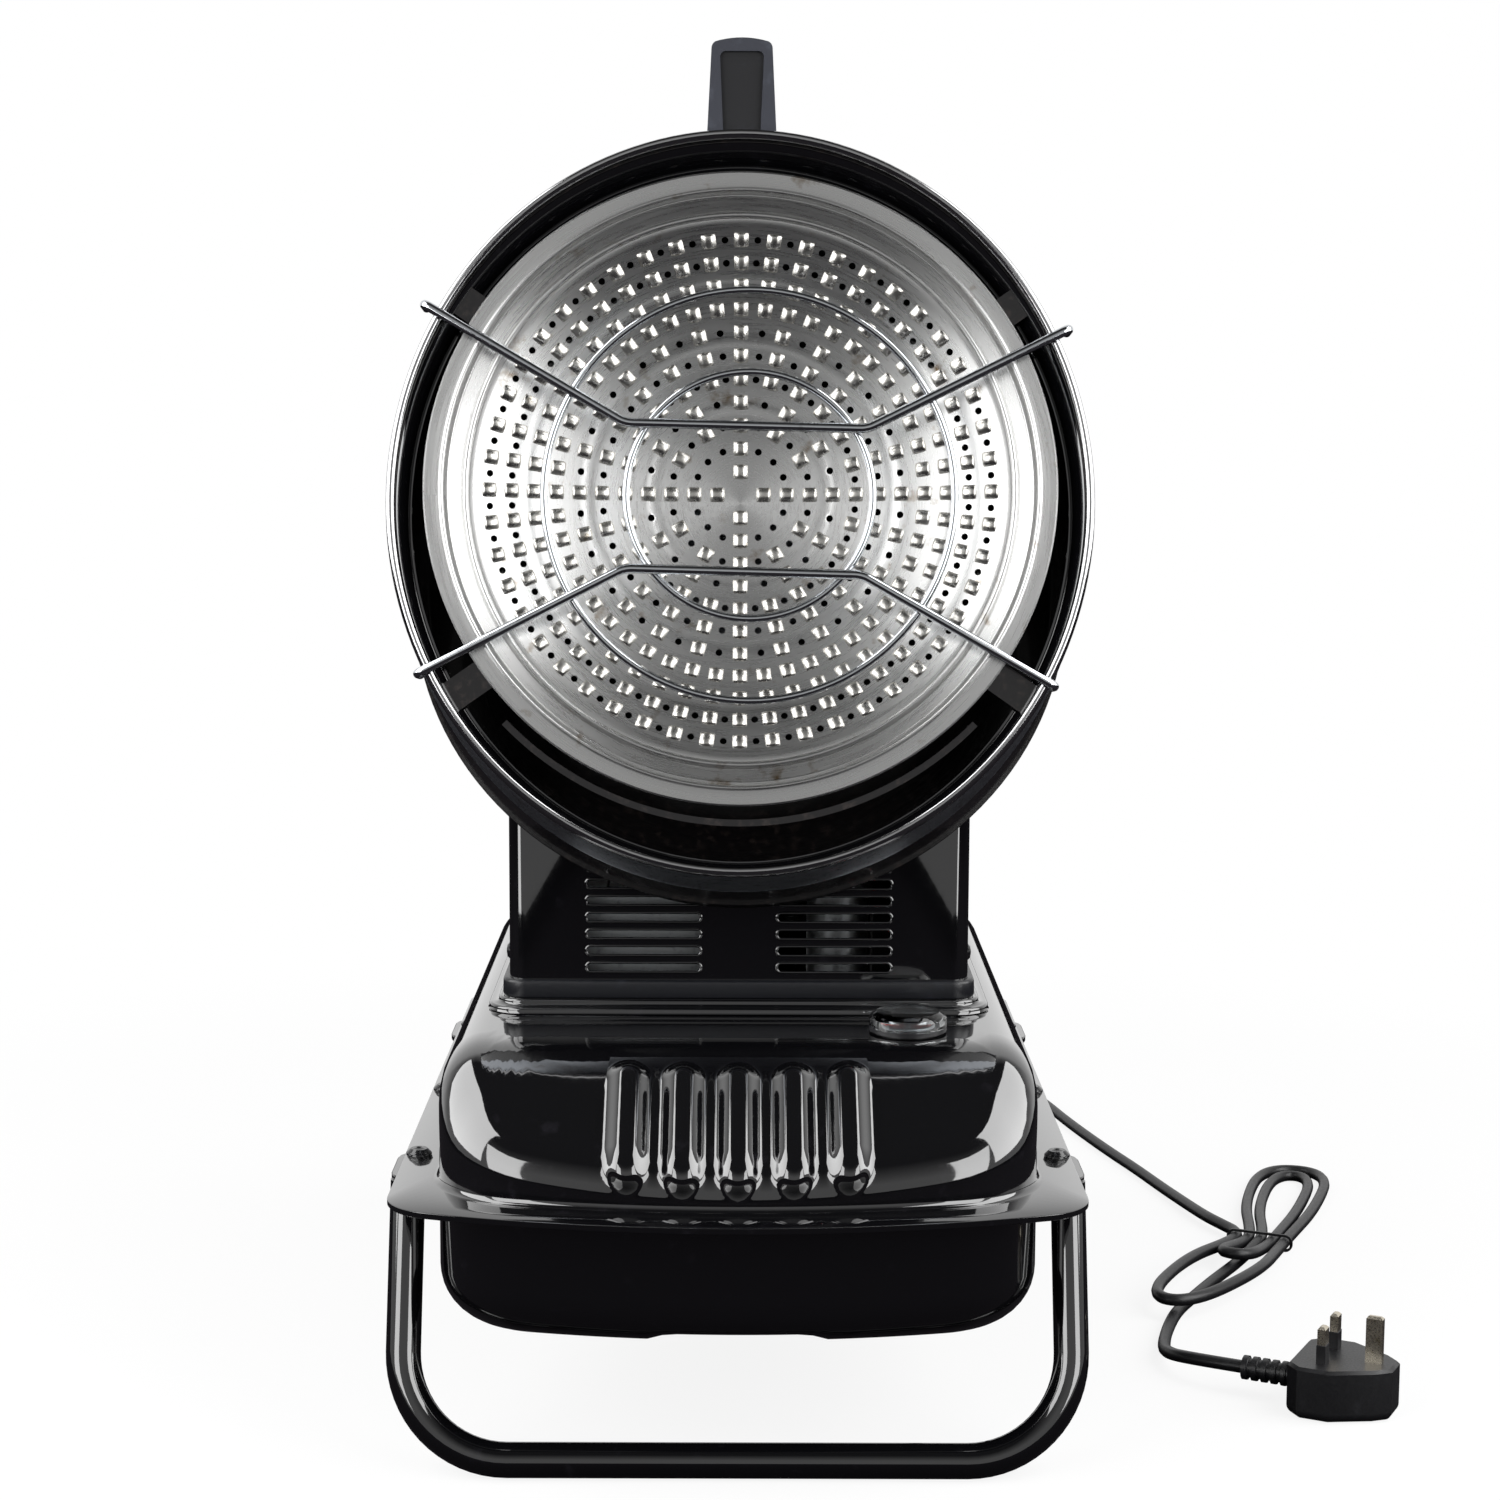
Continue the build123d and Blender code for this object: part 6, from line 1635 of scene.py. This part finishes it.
    def emitter_profile(self, under: float) -> list[tuple[float, float]]:
        """Return the plate's profile from the middle to the edge, on its front or under side."""
        radii = [self.disc_step * i for i in range(self.disc_rows)]
        places = [(radius, self.emitter_height(radius) - under) for radius in radii]
        rim = [(122.6, -12.3)]
        rim += arc((124.2, -12.3), 1.6, 150, 20, 6)
        rim += [(126.2, -12.2), (131.6, -10.4)]
        rim += arc((132.3, -9.6), 0.8, 220, 60, 5)
        rim += [(133.0, -9.0), (133.6, -6.8)]
        rim += arc((134.6, -6.4), 1.1, 160, 60, 5)
        rim += [(136.0, -5.6), (self.emitter_radius - 0.8, -self.emitter_edge_setback)]
        rim += [(self.emitter_radius, -self.emitter_edge_setback - 0.6)]
        return places + [(radius, height - under) for radius, height in rim]

    def build_emitter(self, dresser: Dresser) -> bpy.types.Object:
        """Build the emitter plate: turned rim, dished disc and round holes."""
        front = self.emitter_profile(0.0)
        back = self.emitter_profile(self.emitter_sheet)
        shape = Shape()
        shape.loft(turned_rows([*front, *reversed(back)], self.emitter_frame(), 192))
        plate = shape.finish("emitter_plate_pressed", 40)
        places, turns = self.pattern(True)
        unit = Shape()
        profile = [(0, -4), (self.hole_radius, -4), (self.hole_radius, 4), (0, 4)]
        unit.loft(turned_rows(profile, Matrix.Identity(4), 12))
        cutter = dresser.repeat("emitter_holes", unit.finish("hole_unit"), places, turns, EMITTER_STEEL)
        cut(plate, cutter)
        plate.data.shade_smooth()
        plate.data.set_sharp_from_angle(angle=math.radians(40))
        return plate

    def pattern(self, holes: bool) -> tuple[list[Vector], list[Euler]]:
        """Return the places and turns of the plate's holes or of its dimples."""
        frame = self.emitter_frame()
        places, turns = [], []
        for row, count, hole_angles in self.rows:
            starts = hole_angles if holes else (0.0,)
            radius = row * self.row_pitch * (1 - 0.027 * (row / 11) ** 2)
            lean = math.atan(2 * self.emitter_dish * radius / self.emitter_dish_radius**2)
            for start in starts:
                for i in range(count):
                    angle = math.radians(90 + start + 360 * i / count)
                    local = millimetres(
                        radius * math.cos(angle), radius * math.sin(angle), self.emitter_height(radius)
                    )
                    places.append(frame @ local)
                    turn = frame.to_3x3().to_4x4() @ Matrix.Rotation(angle, 4, "Z")
                    turns.append((turn @ Matrix.Rotation(-lean, 4, "Y")).to_euler())
        return places, turns

    def build_dimple(self) -> bpy.types.Object:
        """Build one pressed dimple: a rounded square with a flat top."""
        half = self.dimple_size / 2
        rows = []
        for u, end in zip(self.end_shares, self.end_heights):
            row = []
            for v, foot in zip(self.foot_shares, self.foot_heights):
                inner = 1 - 0.1 * (u * v) ** 2
                share = end * foot if min(end, foot) > 0 else min(end, foot)
                row.append(millimetres(u * half * inner, v * half * inner, self.dimple_rise * share))
            rows.append(row)
        return lofted(rows, "dimple_unit", 80, around=False)

    def build_dimples(self, dresser: Dresser) -> bpy.types.Object:
        """Set the dimples in their rings on the plate."""
        places, turns = self.pattern(False)
        return dresser.repeat("emitter_dimples", self.build_dimple(), places, turns, DIMPLE_STEEL)

    def build_guard(self) -> bpy.types.Object:
        """Build the guard: two hooked wires with two rings welded behind them."""
        frame = self.rim_frame()
        lift = self.wire_radius + 0.1
        shape = Shape()
        for places in self.guard_wires:
            corners = [(*places[0], lift - self.hook_drop)]
            corners += [(*place, lift) for place in places]
            corners.append((*places[-1], lift - self.hook_drop))
            line = rounded_path(
                [frame @ millimetres(*corner) for corner in corners],
                [r * MM for r in (self.hook_bend, self.wire_bend, self.wire_bend, self.hook_bend)],
                10,
            )
            shape.loft(tube_rows(line, self.wire_radius * MM, 20), caps=True)
        depth = lift - self.wire_radius - self.ring_wire_radius + 0.5
        for ring in self.guard_rings:
            line = []
            for i in range(120):
                a = 2 * math.pi * i / 120
                x = self.guard_shift + ring * math.cos(a)
                line.append(frame @ millimetres(x, ring * math.sin(a), depth))
            shape.loft(tube_rows(line, self.ring_wire_radius * MM, 16, closed=True), along=True)
        return shape.finish("wire_guard_round", 60)

    def build(self, dresser: Dresser) -> None:
        """Build the drum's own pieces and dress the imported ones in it."""
        casing = dresser.settle(self.build_casing(), DRUM_ENAMEL)
        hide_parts("drum_shell")
        liner = dresser.settle(self.build_liner(), BLACK_ENAMEL)
        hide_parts("drum_liner")
        bead = dresser.settle(self.build_ring_bead(), RING_STEEL)
        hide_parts("front_ring")
        dresser.settle(self.build_ring_band(), SATIN_STEEL)
        plate = dresser.settle(self.build_emitter(dresser), EMITTER_STEEL)
        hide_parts("emitter_plate")
        dresser.settle(self.build_dimples(dresser), DIMPLE_STEEL)
        guard = dresser.settle(self.build_guard(), CHROME_WIRE)
        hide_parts("wire_guard")
        dresser.dress(DRUM_ENAMEL, "drum_rear_cover", "combustion_chamber")
        dresser.dress(DRUM_ENAMEL, "emitter_brackets", "emitter_support_band")


@dataclass(frozen=True)
class MachineHousing:
    """The louvred housing with its tray, rear panel and small machines, in millimetres."""

    front_y: float = -95.0
    rear_y: float = 155.0
    corner: float = 8.0
    tray_inner: float = 3.1
    tray_steps: tuple[tuple[float, float], ...] = ((5.4, 198.3), (10.0, 195.2))
    tray_edge_radius: float = 1.4
    tray_foot: float = 192.02
    lip_heights: tuple[float, float] = (207.0, 198.7)
    louvre_rows: int = 12
    louvre_pitch: float = 8.1
    louvre_length: float = 55.0
    louvre_height: float = 4.6
    louvre_first_height: float = 213.0
    louvre_centre_x: float = 45.5
    lip_radius: float = 0.7
    side_x: float = 110.0
    screw_height: float = 217.0
    screw_radius: float = 4.0
    screw_rise: float = 2.4
    screw_ys: tuple[float, float, float] = (-75.0, 30.0, 135.0)

    def plan_row(self, grow: float, height: float) -> Row:
        """Return one level row round the housing, grown on each side, with round corners."""
        corner = self.corner + grow
        x, front, rear = self.side_x + grow, self.front_y - grow, self.rear_y + grow
        row = []
        for cx, cy, start in (
            (x - corner, front + corner, -90),
            (x - corner, rear - corner, 0),
            (corner - x, rear - corner, 90),
            (corner - x, front + corner, 180),
        ):
            for i in range(9):
                a = math.radians(start + 90 * i / 8)
                row.append(millimetres(cx + corner * math.cos(a), cy + corner * math.sin(a), height))
        return row

    def build_tray_edges(self) -> bpy.types.Object:
        """Build the rolled edges of the tray's two steps."""
        radius = self.tray_edge_radius
        profile = [(self.tray_inner, 197.0)]
        for grow, top in self.tray_steps:
            profile += arc((grow - radius, top - radius), radius, 90, 0, 6)
            profile += [(grow, top - 1.9), (grow + 0.5, top - 2.8)]
        profile += [(self.tray_steps[-1][0], self.tray_foot), (self.tray_inner, self.tray_foot)]
        return lofted(
            [self.plan_row(grow, height) for grow, height in profile], "tray_rolled_edges", 60, along=True
        )

    def build_housing_lip(self) -> bpy.types.Object:
        """Build the satin lip that stands round the housing's foot."""
        top, foot = self.lip_heights
        profile = [(0.1, top), (2.2, top), (2.9, top - 0.6), (3.1, 205.6)]
        profile += [(3.3, 199.6), (2.9, foot), (0.1, foot)]
        return lofted(
            [self.plan_row(grow, height) for grow, height in profile], "housing_lip_folded", 60, along=True
        )

    def build_lip(self) -> bpy.types.Object:
        """Build the pressed lip round one louvre slot."""
        half = self.louvre_length / 2
        radius = self.louvre_height / 2
        line = []
        for end in (-1, 1):
            for i in range(9):
                a = math.pi * i / 8
                x = end * (half - radius + radius * math.sin(a))
                line.append(millimetres(x, 0, -end * radius * math.cos(a)))
        return lofted(tube_rows(line, self.lip_radius * MM, 8, closed=True), "lip_unit", 70, along=True)

    def build_lips(self, dresser: Dresser) -> bpy.types.Object:
        """Set the lips on both columns of louvres."""
        places = []
        for side in (-1, 1):
            for row in range(self.louvre_rows):
                height = self.louvre_first_height + row * self.louvre_pitch
                places.append(millimetres(side * self.louvre_centre_x, self.front_y, height))
        turns = [Euler((0.0, 0.0, 0.0)) for place in places]
        return dresser.repeat("louvre_lips", self.build_lip(), places, turns, BLACK_ENAMEL)

    def build_side_screws(self, dresser: Dresser) -> bpy.types.Object:
        """Set the dome heads on the housing's sides."""
        profile = [(0.0, -0.6), (self.screw_radius, -0.6), (self.screw_radius, 0.3)]
        for i in range(1, 7):
            a = math.pi / 2 * i / 7
            profile.append((self.screw_radius * math.cos(a), 0.3 + (self.screw_rise - 0.3) * math.sin(a)))
        profile.append((0.0, self.screw_rise))
        unit = Shape()
        unit.loft(turned_rows(profile, Matrix.Identity(4), 24))
        places, turns = [], []
        for side in (-1, 1):
            for y in self.screw_ys:
                places.append(millimetres(side * self.side_x, y, self.screw_height))
                turns.append(Euler((0.0, side * math.pi / 2, 0.0)))
        head = unit.finish("side_screw_unit")
        return dresser.repeat("housing_screw_domes", head, places, turns, BLACK_OXIDE)

    def build(self, dresser: Dresser) -> None:
        """Build the lips and screws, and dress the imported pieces."""
        dresser.settle(self.build_lips(dresser), BLACK_ENAMEL)
        dresser.settle(self.build_side_screws(dresser), BLACK_OXIDE)
        dresser.settle(self.build_tray_edges(), BLACK_ENAMEL)
        dresser.settle(self.build_housing_lip(), SATIN_ENAMEL)
        dresser.dress(BLACK_ENAMEL, "machine_housing", "rear_panel", "housing_tray")
        dresser.dress(BLACK_OXIDE, "casing_screws")
        dresser.dress(DARK_ABS, "air_intake_grille", "switch_bezel", "power_rocker", "thermostat_knob")
        dresser.dress(DARK_ABS, "display_window", "thermostat", "tip_over_switch", "fan_wheel")
        dresser.dress(LENS_ACRYLIC, "indicator_lamp")
        dresser.dress(SOLDER_RESIST, "control_board")
        dresser.dress(CAST_ZINC, "ignition_transformer", "fan_motor", "air_pump", "fuel_filter")
        dresser.dress(CAST_ZINC, "fan_shroud", "motor_bracket", "motor_shaft", "photocell")
        dresser.dress(SATIN_STEEL, "burner_tube", "flame_diffuser", "ignition_electrodes")
        dresser.dress(TURNED_BRASS, "burner_head", "fuel_line")
        dresser.dress(CORD_PVC, "air_line")


@dataclass(frozen=True)
class FuelGauge:
    """The fuel gauge in the deck, with its clear bevelled lens, in millimetres."""

    place: tuple[float, float, float] = (78.5, -138.0, 195.0)
    dial_radius: float = 12.6
    lens_radius: float = 18.0
    lens_height: float = 7.0
    lens_wall: float = 1.5
    lens_bevel: float = 2.5

    def build_lens(self) -> bpy.types.Object:
        """Build the lens as a turned cup with round edges."""
        radius, high, wall, bevel = self.lens_radius, self.lens_height, self.lens_wall, self.lens_bevel
        profile = [(0.0, high), (radius - bevel - 1.2, high)]
        profile += arc((radius - bevel - 1.2, high - 0.6), 0.6, 90, 50, 3)
        profile += arc((radius - 0.6, high - bevel - 0.6), 0.6, 40, 0, 3)
        profile += [(radius, 0.4), (radius - 0.4, 0.0), (radius - 2 * wall, 0.0)]
        profile += [(radius - 2 * wall, high - 2 * wall), (0.0, high - 2 * wall)]
        return lofted(
            turned_rows(profile, Matrix.Translation(millimetres(*self.place)), 72), "gauge_lens_turned", 30
        )

    def build_dial(self) -> bpy.types.Object:
        """Build the pale stepped dial under the lens."""
        radius = self.dial_radius
        profile = [(0.0, 0.1), (radius, 0.1), (radius, 0.5), (radius - 0.4, 0.9), (radius - 1.4, 0.9)]
        profile += [(radius - 1.8, 0.5), (3.0, 0.5), (2.6, 1.4), (0.0, 1.6)]
        return lofted(
            turned_rows(profile, Matrix.Translation(millimetres(*self.place)), 48), "gauge_dial", 30
        )

    def build(self, dresser: Dresser) -> None:
        """Build the lens and dress the gauge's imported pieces."""
        dresser.settle(self.build_dial(), CAST_ZINC)
        lens = dresser.settle(self.build_lens(), LENS_ACRYLIC)
        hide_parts("gauge_lens")
        dresser.dress(DARK_ABS, "fuel_gauge_body")
        dresser.dress(RED_STYRENE, "gauge_pointer")


def dress_handle(dresser: Dresser) -> None:
    """Dress the carry handle and the panel in its front recess."""
    dresser.dress(HANDLE_NYLON, "handle")
    dresser.dress(DARK_ABS, "handle_front_panel")


@dataclass(frozen=True)
class Softbox:
    """One kind of soft lamp, which stands on both sides, in metres and watts."""

    name: str
    place: tuple[float, float, float]
    aim: tuple[float, float, float]
    size: tuple[float, float]
    power: float


@dataclass(frozen=True)
class Studio:
    """The studio, in metres and watts.

    The floor and the world are white to the camera. Other rays meet a dark floor and a world that is
    dark in front and above and bright behind, which keeps the enamel's reflections black.
    """

    floor_half_size: float = 6.0
    shadow_share: float = 0.14
    fade_from: float = 0.5
    fade_to: float = 1.0
    diffuse_level: float = 0.3
    front_level: float = 0.42
    top_level: float = 0.03
    back_level: float = 0.9
    lamps: tuple[Softbox, ...] = (
        Softbox("high_lamp", (1.15, -0.3, 1.05), (0.0, -0.1, 0.35), (0.9, 1.6), 19.0),
        Softbox("front_lamp", (1.05, -1.25, 0.75), (0.0, -0.15, 0.42), (0.8, 1.2), 12.0),
    )

    def build_floor(self) -> None:
        """Build the floor: white with a soft shadow to the camera, dark to every other ray."""
        half = self.floor_half_size
        mesh = bpy.data.meshes.new("floor")
        corners = [(-half, -half, 0), (half, -half, 0), (half, half, 0), (-half, half, 0)]
        mesh.from_pydata(corners, [], [(0, 1, 2, 3)])
        floor = add_object("floor", mesh)
        made = bpy.data.materials.new("floor_white_paper")
        made.use_nodes = True
        tree = made.node_tree
        tree.nodes.clear()
        rays = add_node(tree, "ShaderNodeLightPath")
        colour = add_node(
            tree,
            "ShaderNodeMix",
            {0: rays.outputs["Is Camera Ray"], 6: linear("#232124"), 7: linear("#f6f6f6")},
            data_type="RGBA",
        )
        paper = add_node(tree, "ShaderNodeBsdfDiffuse", {"Color": colour.outputs[2]})
        place = add_node(tree, "ShaderNodeTexCoord").outputs["Object"]
        distance = add_node(tree, "ShaderNodeVectorMath", {0: place}, operation="LENGTH")
        fade = add_node(
            tree,
            "ShaderNodeMapRange",
            {
                "Value": distance.outputs["Value"],
                "From Min": self.fade_from,
                "From Max": self.fade_to,
                "To Min": 1 - self.shadow_share,
                "To Max": 1.0,
            },
            interpolation_type="SMOOTHSTEP",
        )
        share = add_node(
            tree,
            "ShaderNodeMath",
            {0: fade.outputs[0], 1: rays.outputs["Is Camera Ray"]},
            operation="MULTIPLY",
        )
        white = add_node(tree, "ShaderNodeEmission", {"Strength": 1.0})
        surface = add_node(
            tree, "ShaderNodeMixShader", {0: share.outputs[0], 1: paper.outputs[0], 2: white.outputs[0]}
        )
        add_node(tree, "ShaderNodeOutputMaterial", {"Surface": surface.outputs[0]})
        mesh.materials.append(made)

    def build_world(self) -> None:
        """Build the world: white to the camera, else bright behind and dark in front and above."""
        world = bpy.data.worlds.new("studio")
        world.use_nodes = True
        tree = world.node_tree
        tree.nodes.clear()
        rays = add_node(tree, "ShaderNodeLightPath").outputs
        way = add_node(tree, "ShaderNodeTexCoord").outputs["Generated"]
        parts = add_node(tree, "ShaderNodeSeparateXYZ", {0: way}).outputs
        front = add_node(
            tree,
            "ShaderNodeMapRange",
            {
                "Value": parts[2],
                "From Min": 0.35,
                "From Max": 0.8,
                "To Min": self.front_level,
                "To Max": self.top_level,
            },
        )
        back = add_node(
            tree,
            "ShaderNodeMapRange",
            {"Value": parts[1], "From Min": 0.1, "From Max": 0.5, "To Max": self.back_level},
        )
        mirrored = add_node(
            tree, "ShaderNodeMath", {0: front.outputs[0], 1: back.outputs[0]}, operation="MAXIMUM"
        )
        soft = add_node(
            tree,
            "ShaderNodeMix",
            {0: rays["Is Diffuse Ray"], 2: mirrored.outputs[0], 3: self.diffuse_level},
            data_type="FLOAT",
        )
        level = add_node(
            tree,
            "ShaderNodeMix",
            {0: rays["Is Camera Ray"], 2: soft.outputs[0], 3: 1.0},
            data_type="FLOAT",
        )
        light = add_node(
            tree, "ShaderNodeBackground", {"Color": (1.0, 1.0, 1.0, 1.0), "Strength": level.outputs[0]}
        )
        add_node(tree, "ShaderNodeOutputWorld", {"Surface": light.outputs[0]})
        bpy.context.scene.world = world

    def build_lamp(self, name: str, place: tuple[float, float, float], lamp_kind: Softbox) -> None:
        """Add one soft lamp that looks at its aim."""
        data = bpy.data.lights.new(name, "AREA")
        data.shape = "RECTANGLE"
        data.size, data.size_y = lamp_kind.size
        data.energy = lamp_kind.power
        lamp = add_object(name, data)
        lamp.location = place
        way = Vector(lamp_kind.aim) - Vector(place)
        lamp.rotation_euler = way.to_track_quat("-Z", "Y").to_euler()

    def build(self) -> None:
        """Build the floor, the world and the lamps."""
        self.build_floor()
        self.build_world()
        for side, name in ((-1, "left"), (1, "right")):
            for lamp in self.lamps:
                x, y, z = lamp.place
                self.build_lamp(f"{lamp.name}_{name}", (x * side, y, z), lamp)
        bpy.context.scene.view_settings.view_transform = "Standard"


def main() -> None:
    """Build the camera, the cord, the object's pieces and the studio."""
    logging.basicConfig(level=logging.INFO)
    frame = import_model()
    dresser = Dresser(build_copies_tree(), build_soft_shading_tree(), frame["nodes"])
    Camera().build()
    MainsCord().build(dresser)
    FuelTank().build(dresser)
    TubeLegs().build(dresser)
    Drum().build(dresser)
    MachineHousing().build(dresser)
    FuelGauge().build(dresser)
    dress_handle(dresser)
    Studio().build()


if __name__ == "__main__":
    main()
